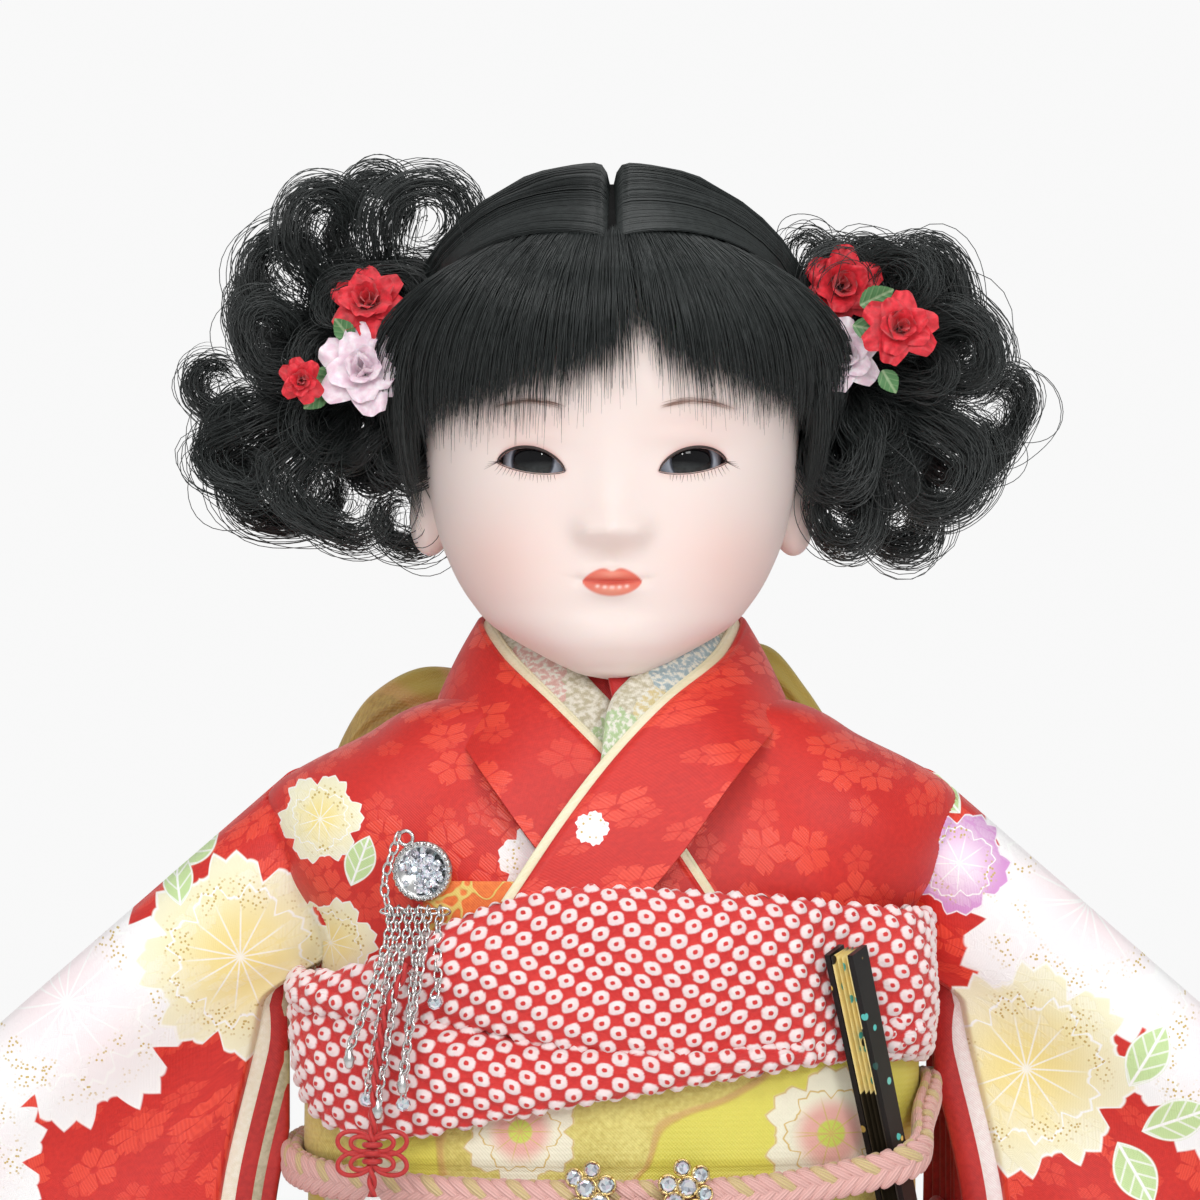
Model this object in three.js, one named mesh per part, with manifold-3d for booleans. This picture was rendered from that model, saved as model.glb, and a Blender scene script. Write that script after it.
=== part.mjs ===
// An ichimatsu doll in a long-sleeved festival kimono, standing on its padded hem and sandals.
// Millimetres, +Z up. The doll faces -Y and its own left side is +X.
import * as THREE from "three";
import { mergeVertices } from "three/addons/utils/BufferGeometryUtils.js";
import Module from "manifold-3d";

const wasm = await Module();
wasm.setup();

// Clearances
const GAP = 0.3; // between pieces that touch
const TURN_GAP = 0.9; // round a piece that turns

// Heights of the standing doll
const OBI_BOTTOM = 214; // floor to the lower edge of the sash
const OBI_HEIGHT = 54;
const CHEST_HEIGHT = 62; // sash to the base of the neck
const CHIN_RISE = 6;
const HEAD_HEIGHT = 99;

// Girth of the stuffed trunk and thickness of each layer of clothes
const TRUNK_HALF_WIDTH = 48.5;
const TRUNK_HALF_DEPTH = 28;
const UNDER_ROBE = 6;
const KIMONO_CLOTH = 2;
const OBI_CLOTH = 4.4;
const WAIST_FOLD = 2.6;
const WAIST_FOLD_HEIGHT = 12;
const OVERLAP_DROP = 14; // from the sash's lower edge to the top of the overlapping front
const SKIRT_FOLD = 3; // depth of the hanging folds at the hem

// Head, neck and eyes
const HEAD_HALF_WIDTH = 38;
const FACE_DEPTH = 43; // neck axis to the brow
const NAPE_DEPTH = 47; // neck axis to the back of the skull
const NECK_RADIUS = 12;
const NECK_SEAT = 13; // depth of the socket in the trunk
const PEG_RADIUS = 4;
const PEG_LENGTH = 44;
const EYE_SPACING = 32.2;
const EYE_RADIUS = 8.4;
const EYE_WIDTH = 13.4;
const EYE_HEIGHT = 5.4;
const HEAD_TURN = 24; // degrees to either side

// Hair
const HAIR_THICKNESS = 4.4;
const BANGS_THICKNESS = 5.6;
const PARTING = 1.2;
const CURL_RADIUS = 6.2;
const CURL_REACH = 36;
const BUN_WIDTH = 20;
const TIE_RADIUS = 8;
const TIE_CORD = 2.4;
const ROSE_RADIUS = 6.2;
const PIN_RADIUS = 0.8;
const PIN_LENGTH = 9;

// Arms and sleeves
const SHOULDER_X = 52;
const SHOULDER_DROP = 24; // base of the neck down to the shoulder joint
const ARM_LENGTH = 124;
const ARM_SLOPE = 41; // degrees below level
const ARM_RADIUS = 9;
const WRIST_RADIUS = 6;
const HAND_LENGTH = 22;
const ARM_LIFT = 24; // degrees
const SLEEVE_WIDTH = 75;
const SLEEVE_BOTTOM = 66;
const SLEEVE_CLOTH = 7;
const SLEEVE_PUFF = 9.5; // extra thickness round the arm
const SLEEVE_FOLD = 4;
const LINING_SHOW = 4;

// Legs, feet and hem
const LEG_SPACING = 36;
const LEG_RADIUS = 15;
const ANKLE_RADIUS = 8;
const ZORI_HEIGHT = 7;
const ZORI_LENGTH = 66;
const ZORI_HALF_WIDTH = 12;
const FOOT_LENGTH = 60;
const FOOT_HALF_WIDTH = 9.5;
const ANKLE_TOP = 32;
const HEM_RADIUS = 4.5;
const HEM_LIFT = 21.5; // the hem rises over the toes
const THONG_RADIUS = 1.3;
const TOE_SHOW = 14; // toes in front of the hem

// Sash dressings
const OBIAGE_PUFF = 4.2;
const BRAID_RADIUS = 2.5;
const BRAID_HEIGHT = 20; // above the lower edge of the sash, in front
const BRAID_RISE = 10; // towards the back
const BRAID_SLANT = 14; // more at the doll's left side
const BROOCH_STONE = 2.4;
const SHIGOKI_CLOTH = 1.5;
const SHIGOKI_DROP = 150;
const DRUM_WIDTH = 72;
const DRUM_HEIGHT = 70;
const DRUM_DEPTH = 20;
const DRUM_CLOTH = 2.5;
const TAIL_LENGTH = 36;
const WING_CLOTH = 5;
const WING_SPAN = 56;
const WING_ROOT = 16; // height of a wing where it is gathered
const WING_PUFF = 28;
const WING_LIFT = 12; // rise of a wing's lower edge at its end

// Chest case, its silver drops and the fan
const CASE_WIDTH = 26;
const CASE_HEIGHT = 28;
const CASE_THICKNESS = 5;
const CASE_X = -24;
const CASE_YAW = 12; // degrees, to lie flat on the chest
const CASE_SLIDE = 22;
const MEDALLION_RADIUS = 6;
const CHAIN_LENGTH = 42;
const CHAIN_RADIUS = 0.9;
const CORD_RADIUS = 1;
const TASSEL_LENGTH = 34;
const FAN_LENGTH = 72;
const FAN_WIDTH = 5.6;
const FAN_GUARD = 1.2;
const FAN_LEAF = 3.6;
const FAN_ROLL = 54; // degrees about its length, so that the folded edges of the leaf show
const FAN_TILT = 12; // degrees, the top leans inwards
const FAN_LEAN = 16; // degrees, the top leans forwards
const FAN_SLIDE = 50;

// Levels and layer offsets that follow from the sizes above
const OBI_TOP = OBI_BOTTOM + OBI_HEIGHT;
const NECK_BASE = OBI_TOP + CHEST_HEIGHT;
const CHIN = NECK_BASE + CHIN_RISE;
const HIP = OBI_BOTTOM * 0.7;
const WAIST = OBI_BOTTOM + OBI_HEIGHT * 0.4;
const ROBE_OUT = GAP + UNDER_ROBE;
const KIMONO_OUT = ROBE_OUT + 2 * GAP + KIMONO_CLOTH;
const OBI_OUT = KIMONO_OUT + GAP + OBI_CLOTH;
const SHOULDER_Z = NECK_BASE - SHOULDER_DROP;
const SKIRT_BOTTOM = 1.85 * HEM_RADIUS + GAP;

const SQUARENESS = 2.3; // exponent of the body sections
const GIRTH_POINTS = 20;
const UP = new THREE.Vector3(0, 0, 1);

// Shape helpers

// Values between the rows of a table whose first column is the place.
function stations(rows, Interpolant = THREE.CubicInterpolant) {
  const places = rows.map((row) => row[0]);
  const values = rows.flatMap((row) => row.slice(1));
  const curve = new Interpolant(places, values, rows[0].length - 1);
  return (place) => Array.from(curve.evaluate(place));
}

function signedVolume(points, faces) {
  let volume = 0;
  for (let i = 0; i < faces.length; i += 3) {
    const [a, b, c] = [points[faces[i]], points[faces[i + 1]], points[faces[i + 2]]];
    volume += a.dot(b.clone().cross(c)) / 6;
  }
  return volume;
}

// Triangles over a ring of points, wound in the order of the ring.
function capFaces(ring) {
  const normal = new THREE.Vector3();
  ring.forEach((point, index) => {
    normal.add(point.clone().cross(ring[(index + 1) % ring.length]));
  });
  const level = new THREE.Quaternion().setFromUnitVectors(normal.normalize(), UP);
  const flat = ring.map((point) => point.clone().applyQuaternion(level));
  return THREE.ShapeUtils.triangulateShape(flat, []).map(([a, b, c]) => {
    const [p, q, r] = [flat[a], flat[b], flat[c]];
    const area = (q.x - p.x) * (r.y - p.y) - (q.y - p.y) * (r.x - p.x);
    return area > 0 ? [a, b, c] : [a, c, b];
  });
}

// A closed solid through rings of points; with `closed` the last ring joins the first.
function loft(rings, closed = false) {
  const count = rings[0].length;
  const faces = [];
  const spans = closed ? rings.length : rings.length - 1;
  for (let row = 0; row < spans; row += 1) {
    const next = (row + 1) % rings.length;
    for (let column = 0; column < count; column += 1) {
      const side = (column + 1) % count;
      const a = row * count + column;
      const b = row * count + side;
      const c = next * count + side;
      const d = next * count + column;
      faces.push(a, b, c, a, c, d);
    }
  }
  if (!closed) {
    const start = (rings.length - 1) * count;
    capFaces(rings[0]).forEach(([a, b, c]) => faces.push(c, b, a));
    capFaces(rings[rings.length - 1]).forEach(([a, b, c]) => faces.push(start + a, start + b, start + c));
  }
  const geometry = new THREE.BufferGeometry().setFromPoints(rings.flat());
  geometry.setIndex(faces);
  return solid(geometry);
}

// A solid that can be joined and cut, facing outwards.
function solid(geometry) {
  const bare = new THREE.BufferGeometry();
  bare.setAttribute("position", geometry.getAttribute("position"));
  bare.setIndex(geometry.getIndex());
  const welded = mergeVertices(bare, 1e-4);
  const place = welded.getAttribute("position");
  const pointAt = (_, index) => new THREE.Vector3().fromBufferAttribute(place, index);
  const points = Array.from({ length: place.count }, pointAt);
  const faces = Array.from(welded.getIndex().array);
  const facesOut = signedVolume(points, faces) > 0 ? faces : faces.reverse();
  return new wasm.Manifold(
    new wasm.Mesh({
      numProp: 3,
      vertProperties: new Float32Array(place.array),
      triVerts: new Uint32Array(facesOut),
    }),
  );
}

function asGeometry(shape) {
  const mesh = shape.getMesh();
  const geometry = new THREE.BufferGeometry();
  geometry.setAttribute("position", new THREE.BufferAttribute(new Float32Array(mesh.vertProperties), 3));
  geometry.setIndex(Array.from(mesh.triVerts));
  return geometry;
}

function moved(shape, matrix) {
  return solid(asGeometry(shape).applyMatrix4(matrix));
}

function join(...shapes) {
  return shapes.reduce((whole, shape) => whole.add(shape));
}

// The largest body left after the tools are taken away.
function cut(shape, ...tools) {
  const left = tools.reduce((whole, tool) => whole.subtract(tool), shape).decompose();
  return left.sort((a, b) => b.volume() - a.volume())[0];
}

// A prism of an outline drawn in the plane of two axes, from `from` to `to` along the third.
function prism(outline, axes, from, to) {
  const shape = new THREE.Shape(outline.map(([u, v]) => new THREE.Vector2(u, v)));
  const geometry = new THREE.ExtrudeGeometry(shape, { depth: to - from, bevelEnabled: false });
  const [across, upward] = axes;
  const along = across.clone().cross(upward);
  const matrix = new THREE.Matrix4().makeBasis(across, upward, along);
  return solid(geometry.translate(0, 0, from).applyMatrix4(matrix));
}

const FRONT_PLANE = [new THREE.Vector3(1, 0, 0), new THREE.Vector3(0, 0, 1)]; // prism runs along -Y
const SIDE_PLANE = [new THREE.Vector3(0, 1, 0), new THREE.Vector3(0, 0, 1)]; // prism runs along +X

function box(width, depth, height) {
  return new THREE.BoxGeometry(width, depth, height);
}

function ball(x, y, z, width, depth, height, around = 8, rows = 6) {
  const geometry = new THREE.SphereGeometry(1, around, rows).rotateX(Math.PI / 2);
  return solid(geometry.scale(width, depth, height).translate(x, y, z));
}

function post(x, y, from, to, radius, sides = 12) {
  const geometry = new THREE.CylinderGeometry(radius, radius, to - from, sides).rotateX(Math.PI / 2);
  return solid(geometry.translate(x, y, (from + to) / 2));
}

// A round bar along a curve with closed ends; `radius` may change along it.
function bar(points, radius, steps, sides) {
  const curve = new THREE.CatmullRomCurve3(points.map((point) => new THREE.Vector3(...point)));
  const frames = curve.computeFrenetFrames(steps);
  const rings = [];
  for (let step = 0; step <= steps; step += 1) {
    const share = step / steps;
    const middle = curve.getPointAt(share);
    const size = typeof radius === "function" ? radius(share) : radius;
    const ring = [];
    for (let side = 0; side < sides; side += 1) {
      const angle = (2 * Math.PI * side) / sides;
      const spoke = frames.normals[step].clone().multiplyScalar(Math.cos(angle) * size);
      spoke.addScaledVector(frames.binormals[step], Math.sin(angle) * size);
      ring.push(spoke.add(middle));
    }
    rings.push(ring);
  }
  return loft(rings);
}

function degrees(angle) {
  return (angle * Math.PI) / 180;
}

function rounded(value) {
  return Math.sign(value) * Math.abs(value) ** (2 / SQUARENESS);
}

function steps(from, to, count) {
  return Array.from({ length: count + 1 }, (_, i) => from + ((to - from) * i) / count);
}

function ramp(value, from, to) {
  const share = Math.min(1, Math.max(0, (value - from) / (to - from)));
  return share * share * (3 - 2 * share);
}

// Rotation about a level axis through a point.
function aboutY(angle, x, z) {
  const there = new THREE.Matrix4().makeTranslation(x, 0, z);
  const back = new THREE.Matrix4().makeTranslation(-x, 0, -z);
  return there.multiply(new THREE.Matrix4().makeRotationY(angle)).multiply(back);
}

// Body sections

// Shares of the trunk's half width and half depth: height, sides, front, back
const BODY_ROWS = [
  [0, 0.86, 1.07, 1.2],
  [HIP * 0.5, 0.9, 1.05, 1.15],
  [HIP, 0.93, 1.04, 1.1],
  [OBI_BOTTOM, 1, 1.02, 1.03],
  [OBI_TOP, 1, 1, 1],
  [OBI_TOP + CHEST_HEIGHT * 0.48, 1.02, 0.96, 0.97],
  [OBI_TOP + CHEST_HEIGHT * 0.68, 1.03, 0.88, 0.9],
  [OBI_TOP + CHEST_HEIGHT * 0.78, 0.94, 0.79, 0.82],
  [OBI_TOP + CHEST_HEIGHT * 0.88, 0.74, 0.69, 0.72],
  [NECK_BASE, 0.45, 0.56, 0.6],
];
const bodyAt = stations(BODY_ROWS, THREE.LinearInterpolant);

// Heights from one to another with every row of the body between them, so that layers nest.
function levels(from, to) {
  const between = BODY_ROWS.map((row) => row[0]).filter((z) => z > from + 0.5 && z < to - 0.5);
  return [from, ...between, to];
}

// A point round the body at a height, standing off from the trunk by `grow`.
function bodyPoint(angle, z, grow) {
  const [sides, front, back] = bodyAt(z);
  const depth = Math.sin(angle) < 0 ? front : back;
  return new THREE.Vector3(
    rounded(Math.cos(angle)) * (sides * TRUNK_HALF_WIDTH + grow),
    rounded(Math.sin(angle)) * (depth * TRUNK_HALF_DEPTH + grow),
    z,
  );
}

// Depth of the body's front at a place across it.
function frontAt(x, z, grow) {
  const [sides, front] = bodyAt(z);
  const share = Math.min(0.98, Math.abs(x) / (sides * TRUNK_HALF_WIDTH + grow));
  return -(front * TRUNK_HALF_DEPTH + grow) * (1 - share ** SQUARENESS) ** (1 / SQUARENESS);
}

// Reach of the body's side at a place behind its middle.
function sideAt(y, z, grow) {
  const [sides, , back] = bodyAt(z);
  const share = Math.min(0.98, Math.abs(y) / (back * TRUNK_HALF_DEPTH + grow));
  return (sides * TRUNK_HALF_WIDTH + grow) * (1 - share ** SQUARENESS) ** (1 / SQUARENESS);
}

// Rise of the hem over the toes, fading away up the skirt.
function hemLift(angle, z) {
  const aside = Math.abs(Math.atan2(Math.cos(angle), -Math.sin(angle)));
  const front = 1 - ramp(aside, degrees(28), degrees(80));
  return HEM_LIFT * front * (1 - ramp(z, SKIRT_BOTTOM, HIP));
}

function girth(z, grow) {
  return steps(0, 2 * Math.PI, GIRTH_POINTS)
    .slice(0, -1)
    .map((angle) => bodyPoint(angle, z + hemLift(angle, z), grow));
}

function bodySolid(heights, grow) {
  return loft(heights.map((z) => girth(z, grow)));
}

// The section of a cloth layer at one angle: up its outside and down its inside.
function clothSection(angle, heights, inside, outside) {
  const wall = (grow) =>
    heights.map((z) => {
      const reach = typeof grow === "function" ? grow(angle, z) : grow;
      return bodyPoint(angle, z + hemLift(angle, z), reach);
    });
  return [...wall(outside), ...wall(inside).reverse()];
}

// A layer of cloth all round the body, or over some steps of the way.
function layer(heights, inside, outside, from = 0, to = GIRTH_POINTS) {
  const whole = to - from === GIRTH_POINTS;
  const turns = steps(from, to, to - from).map((step) => (2 * Math.PI * step) / GIRTH_POINTS);
  const used = whole ? turns.slice(0, -1) : turns;
  return loft(used.map((angle) => clothSection(angle, heights, inside, outside)), whole);
}

// A soft band round the body; `at` gives its height, half height, half thickness and offset.
function belt(count, at, sectionPoints = 8) {
  const rings = steps(0, 2 * Math.PI, count)
    .slice(0, -1)
    .map((angle) => {
      const { z, tall, thick, grow } = at(angle);
      return steps(0, 2 * Math.PI, sectionPoints)
        .slice(0, -1)
        .map((turn) => bodyPoint(angle, z + tall * Math.sin(turn), grow + thick * (1 + Math.cos(turn))));
    });
  return loft(rings, true);
}

// Materials

const FINISHES = {
  gofun_skin: { color: 0xf6e4dc, roughness: 0.42 },
  dark_glass: { color: 0x15100f, roughness: 0.05 },
  black_hair: { color: 0x17120f, roughness: 0.45 },
  red_silk: { color: 0xb3122a, roughness: 0.62 },
  brocade_silk: { color: 0xcfc6b4, roughness: 0.5 },
  cream_silk: { color: 0xf1ecc4, roughness: 0.6 },
  obi_brocade: { color: 0xe2c765, roughness: 0.5 },
  shibori_silk: { color: 0xc93a48, roughness: 0.65 },
  braid_silk: { color: 0xe58f8a, roughness: 0.6 },
  orange_brocade: { color: 0xdf6a22, roughness: 0.5 },
  silver: { color: 0xc9cbd0, roughness: 0.22, metalness: 1 },
  crystal_gold: { color: 0xe6d9b8, roughness: 0.15, metalness: 0.6 },
  white_silk: { color: 0xf4f1ee, roughness: 0.55 },
  black_lacquer: { color: 0x14110f, roughness: 0.18 },
  gold_paper: { color: 0xc9a24a, roughness: 0.4 },
  leaf_green: { color: 0x3f7d3a, roughness: 0.7 },
  rose_red: { color: 0xa80f24, roughness: 0.7 },
  rose_pink: { color: 0xeebcc4, roughness: 0.7 },
  sawdust_paste: { color: 0xd9c4a0, roughness: 0.8 },
  wood: { color: 0xb98a5a, roughness: 0.7 },
  white_cotton: { color: 0xf3f1ec, roughness: 0.8 },
};

const doll = new THREE.Group();
doll.name = "ichimatsu_doll";

function piece(name, shape, finish) {
  const geometry = asGeometry(shape);
  geometry.computeVertexNormals();
  const material = new THREE.MeshStandardMaterial({ metalness: 0, ...FINISHES[finish] });
  const mesh = new THREE.Mesh(geometry, material);
  mesh.name = name;
  doll.add(mesh);
}

// Head: one moulded shell with nose, lips, ears and neck

// Shares of height, half width, depth of face and depth of nape
const HEAD_OUTLINE = [
  [0, 0.1, 0.68, -0.42],
  [0.02, 0.36, 0.8, -0.25],
  [0.08, 0.64, 0.87, 0.05],
  [0.16, 0.82, 0.91, 0.38],
  [0.25, 0.93, 0.93, 0.64],
  [0.36, 0.985, 0.945, 0.85],
  [0.48, 1, 0.965, 0.96],
  [0.62, 0.99, 1, 1],
  [0.75, 0.93, 0.98, 0.97],
  [0.86, 0.78, 0.86, 0.85],
  [0.94, 0.53, 0.62, 0.62],
  [0.985, 0.25, 0.32, 0.32],
  [1, 0.06, 0.1, 0.1],
];
const headAt = stations(HEAD_OUTLINE);
const HEAD_POINTS = 20;

function headRing([share, wide, face, nape], grow) {
  const front = -face * FACE_DEPTH;
  const back = nape * NAPE_DEPTH;
  const middle = (front + back) / 2;
  const half = (back - front) / 2 + grow;
  const z = CHIN + share * HEAD_HEIGHT + grow * (2 * share - 1);
  return steps(0, 2 * Math.PI, HEAD_POINTS)
    .slice(0, -1)
    .map((angle) => {
      const x = rounded(Math.cos(angle)) * (wide * HEAD_HALF_WIDTH + grow);
      return new THREE.Vector3(x, middle + rounded(Math.sin(angle)) * half, z);
    });
}

function headSolid(grow, fromShare = 0) {
  return loft(HEAD_OUTLINE.filter((row) => row[0] >= fromShare).map((row) => headRing(row, grow)));
}

// Depth of the face at a place on it.
function faceAt(x, share) {
  const [wide, face, nape] = headAt(share);
  const front = -face * FACE_DEPTH;
  const back = nape * NAPE_DEPTH;
  const aside = Math.abs(x) / (wide * HEAD_HALF_WIDTH);
  return (front + back) / 2 - ((back - front) / 2) * (1 - aside ** SQUARENESS) ** (1 / SQUARENESS);
}

const EYE_SHARE = 0.447; // height of the eyes in the head
const NOSE_SHARE = 0.33;
const MOUTH_SHARE = 0.196;
const EAR_SHARE = 0.35;
const eyeX = EYE_SPACING / 2;
const eyeZ = CHIN + EYE_SHARE * HEAD_HEIGHT;
const eyeFront = faceAt(eyeX, EYE_SHARE) + 0.9;
const eyeY = eyeFront + EYE_RADIUS;

// The almond opening of an eye, a little larger than what shows.
function eyeOpening(side) {
  const lid = steps(-1, 1, 6);
  const spot = (share, way) => [
    side * eyeX + (share * EYE_WIDTH) / 2,
    eyeZ + way * (1 - share * share) * (EYE_HEIGHT / 2),
  ];
  const upper = lid.map((share) => spot(share, 1));
  const lower = lid
    .slice(1, -1)
    .reverse()
    .map((share) => spot(share, -1));
  return prism([...upper, ...lower], FRONT_PLANE, -eyeY, FACE_DEPTH + 20);
}

function ears(grow) {
  const z = CHIN + EAR_SHARE * HEAD_HEIGHT;
  const ear = (side) => ball(side * HEAD_HALF_WIDTH, 5, z, 4.5 + grow, 6 + grow, 10 + grow, 8, 6);
  return join(ear(1), ear(-1));
}

const neckBottom = NECK_BASE - NECK_SEAT + GAP;
const nose = ball(0, faceAt(0, NOSE_SHARE) + 1.5, CHIN + NOSE_SHARE * HEAD_HEIGHT, 6, 5.5, 8.5);
const lips = ball(0, faceAt(0, MOUTH_SHARE) + 0.6, CHIN + MOUTH_SHARE * HEAD_HEIGHT, 5.6, 2, 2.8, 8, 4);
const neck = post(0, 0, neckBottom, CHIN + HEAD_HEIGHT * 0.3, NECK_RADIUS, 16);
const skull = join(headSolid(0), nose, lips, ears(0), neck);
const eyeball = (side, radius) => ball(side * eyeX, eyeY, eyeZ, radius, radius, radius);
const socket = (side) => eyeball(side, EYE_RADIUS + GAP);
const pegHole = post(0, 0, neckBottom - 1, neckBottom + PEG_LENGTH / 2 + GAP, PEG_RADIUS + GAP);
piece(
  "head_shell",
  cut(skull, socket(1), socket(-1), eyeOpening(1), eyeOpening(-1), pegHole),
  "gofun_skin",
);
piece("left_eye", eyeball(1, EYE_RADIUS), "dark_glass");
piece("right_eye", eyeball(-1, EYE_RADIUS), "dark_glass");
const pegBottom = neckBottom - PEG_LENGTH / 2;
piece("neck_peg", post(0, 0, pegBottom, neckBottom + PEG_LENGTH / 2, PEG_RADIUS), "wood");

// Hair: two combed halves that meet at the parting, a fringe, and a curled bunch at each side

const hairline = (x) => CHIN + HEAD_HEIGHT * 0.875 - 14 * (x / HEAD_HALF_WIDTH) ** 2;
const hairEdge = steps(-1.35, 1.35, 12).map((share) => share * HEAD_HALF_WIDTH);
const fringeBack = -6; // the fringe ends at the temples
const earTop = CHIN + HEAD_HEIGHT * 0.43;
const napeHair = CHIN + HEAD_HEIGHT * 0.16;

const faceCut = prism(
  [...hairEdge.map((x) => [x, hairline(x)]), [60, CHIN - 20], [-60, CHIN - 20]],
  FRONT_PLANE,
  -fringeBack,
  90,
);
const underCut = prism(
  [
    [-70, earTop],
    [6, earTop],
    [24, napeHair],
    [70, napeHair],
    [70, CHIN - 30],
    [-70, CHIN - 30],
  ],
  SIDE_PLANE,
  -70,
  70,
);
const partingCut = prism(
  [
    [-PARTING / 2, CHIN],
    [PARTING / 2, CHIN],
    [PARTING / 2, CHIN + HEAD_HEIGHT],
    [PARTING * 1.6, CHIN + HEAD_HEIGHT + 20],
    [-PARTING * 1.6, CHIN + HEAD_HEIGHT + 20],
    [-PARTING / 2, CHIN + HEAD_HEIGHT],
  ],
  FRONT_PLANE,
  -90,
  90,
);
const tieX = HEAD_HALF_WIDTH + HAIR_THICKNESS + 1;
const tieY = 6;
const tieZ = CHIN + HEAD_HEIGHT * 0.66;

function hairTie(side, grow) {
  const geometry = new THREE.TorusGeometry(TIE_RADIUS, TIE_CORD + grow, 6, 12).rotateY(Math.PI / 2);
  return solid(geometry.translate(side * tieX, tieY, tieZ));
}

const hairShell = cut(headSolid(HAIR_THICKNESS, 0.16), headSolid(GAP), ears(GAP));
const SPACE = 1000; // larger than the doll
const otherHalf = (side) => solid(box(SPACE, SPACE, SPACE).translate((-side * SPACE) / 2, 0, CHIN));

function hairHalf(side) {
  const tie = hairTie(side, GAP);
  return cut(hairShell, faceCut, underCut, partingCut, otherHalf(side), tie);
}

piece("left_hair", hairHalf(1), "black_hair");
piece("right_hair", hairHalf(-1), "black_hair");

// The fringe hangs over the brow with a ragged edge and a pointed lock before each ear.
const fringeZ = CHIN + HEAD_HEIGHT * 0.535;
const lockZ = CHIN + HEAD_HEIGHT * 0.385;
const fringeTeeth = steps(-0.92, 0.92, 22).map((share, index) => {
  const dip = index % 2 === 0 ? -1.6 : 1.6;
  return [share * HEAD_HALF_WIDTH, fringeZ + dip + 4 * Math.exp(-((share / 0.25) ** 2))];
});
const fringeOutline = [
  ...hairEdge.map((x) => [x, hairline(x) - GAP]).reverse(),
  [-1.35 * HEAD_HALF_WIDTH, fringeZ],
  [-1.05 * HEAD_HALF_WIDTH, lockZ],
  ...fringeTeeth,
  [1.05 * HEAD_HALF_WIDTH, lockZ],
  [1.35 * HEAD_HALF_WIDTH, fringeZ],
];
const fringeZone = prism(fringeOutline, FRONT_PLANE, -fringeBack + GAP, 90);
const fringeShell = cut(headSolid(BANGS_THICKNESS, 0.25), headSolid(GAP), ears(GAP));
piece("fringe", fringeShell.intersect(fringeZone), "black_hair");

// Roses and leaves on wire pins, pushed into the bunches

// Shares of the radius: height, reach, depth of the petal lobes
const ROSE_ROWS = [
  [0, 0.3, 0],
  [0.2, 0.75, 0.02],
  [0.5, 1, 0.1],
  [0.62, 0.94, 0.12],
  [0.5, 0.62, 0.05],
  [0.86, 0.66, 0.1],
  [0.76, 0.34, 0.04],
  [1, 0.28, 0.06],
];
// The same without the hollows between the petals
const ROSE_ROOM = ROSE_ROWS.filter(([rise], row) => row === 0 || rise > ROSE_ROWS[row - 1][0]);

// A rose standing on the XY plane with its pin below, before it is turned and placed.
function rose(radius, grow) {
  const petals = grow > 0 ? ROSE_ROOM : ROSE_ROWS;
  const rows = [
    [-PIN_LENGTH - grow, PIN_RADIUS + grow, 0],
    [-0.2 - grow, PIN_RADIUS + grow, 0],
    ...petals.map(([rise, reach, lobe]) => [
      rise * radius * 1.1 + grow * Math.sign(rise - 0.3),
      (reach + lobe * Math.sign(grow)) * radius + grow,
      grow > 0 ? 0 : lobe * radius,
    ]),
  ];
  return loft(
    rows.map(([z, reach, lobe], row) =>
      steps(0, 2 * Math.PI, 10)
        .slice(0, -1)
        .map((angle) => {
          const size = reach + lobe * Math.cos(5 * angle + row);
          return new THREE.Vector3(size * Math.cos(angle), size * Math.sin(angle), z);
        }),
    ),
  );
}

// Three leaves on one pin.
function sprig(grow) {
  const leaf = (turn) => {
    const half = [0.5, 2.6, 3, 1.8, 0.3];
    const rings = half.map((width, step) => {
      const along = step * 3.2;
      const rise = 1.4 * Math.sin(step * 0.9);
      return [
        new THREE.Vector3(along, -width - grow, rise),
        new THREE.Vector3(along, 0, rise - 0.5 - grow),
        new THREE.Vector3(along, width + grow, rise),
        new THREE.Vector3(along, 0, rise + 0.7 + grow),
      ];
    });
    return moved(loft(rings), new THREE.Matrix4().makeRotationZ(turn));
  };
  const pin = post(0, 0, -PIN_LENGTH - grow, 0.8 + grow, PIN_RADIUS + grow, 8);
  return join(pin, leaf(0), leaf(degrees(70)), leaf(degrees(-80)));
}

function placed(shape, spot, facing) {
  const turn = new THREE.Quaternion().setFromUnitVectors(UP, new THREE.Vector3(...facing).normalize());
  const matrix = new THREE.Matrix4().makeRotationFromQuaternion(turn);
  matrix.setPosition(new THREE.Vector3(...spot));
  return moved(shape, matrix);
}

const bunX = tieX + TIE_CORD + BUN_WIDTH * 0.86;
const bunY = 6;
const bunZ = tieZ - 3;
const BUN_DEPTH = 20;
const BUN_HALF_HEIGHT = 29;

// A place on the front of the bunch, from shares of its width and height.
function bunFront(side, across, upward) {
  const out = Math.sqrt(Math.max(0.05, 1 - across * across - upward * upward));
  const spot = [
    side * (bunX + across * BUN_WIDTH),
    bunY - out * BUN_DEPTH - 1.5,
    bunZ + upward * BUN_HALF_HEIGHT,
  ];
  return { spot, facing: [side * (0.35 * across - 0.05), -1, 0.25 * upward] };
}

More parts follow.
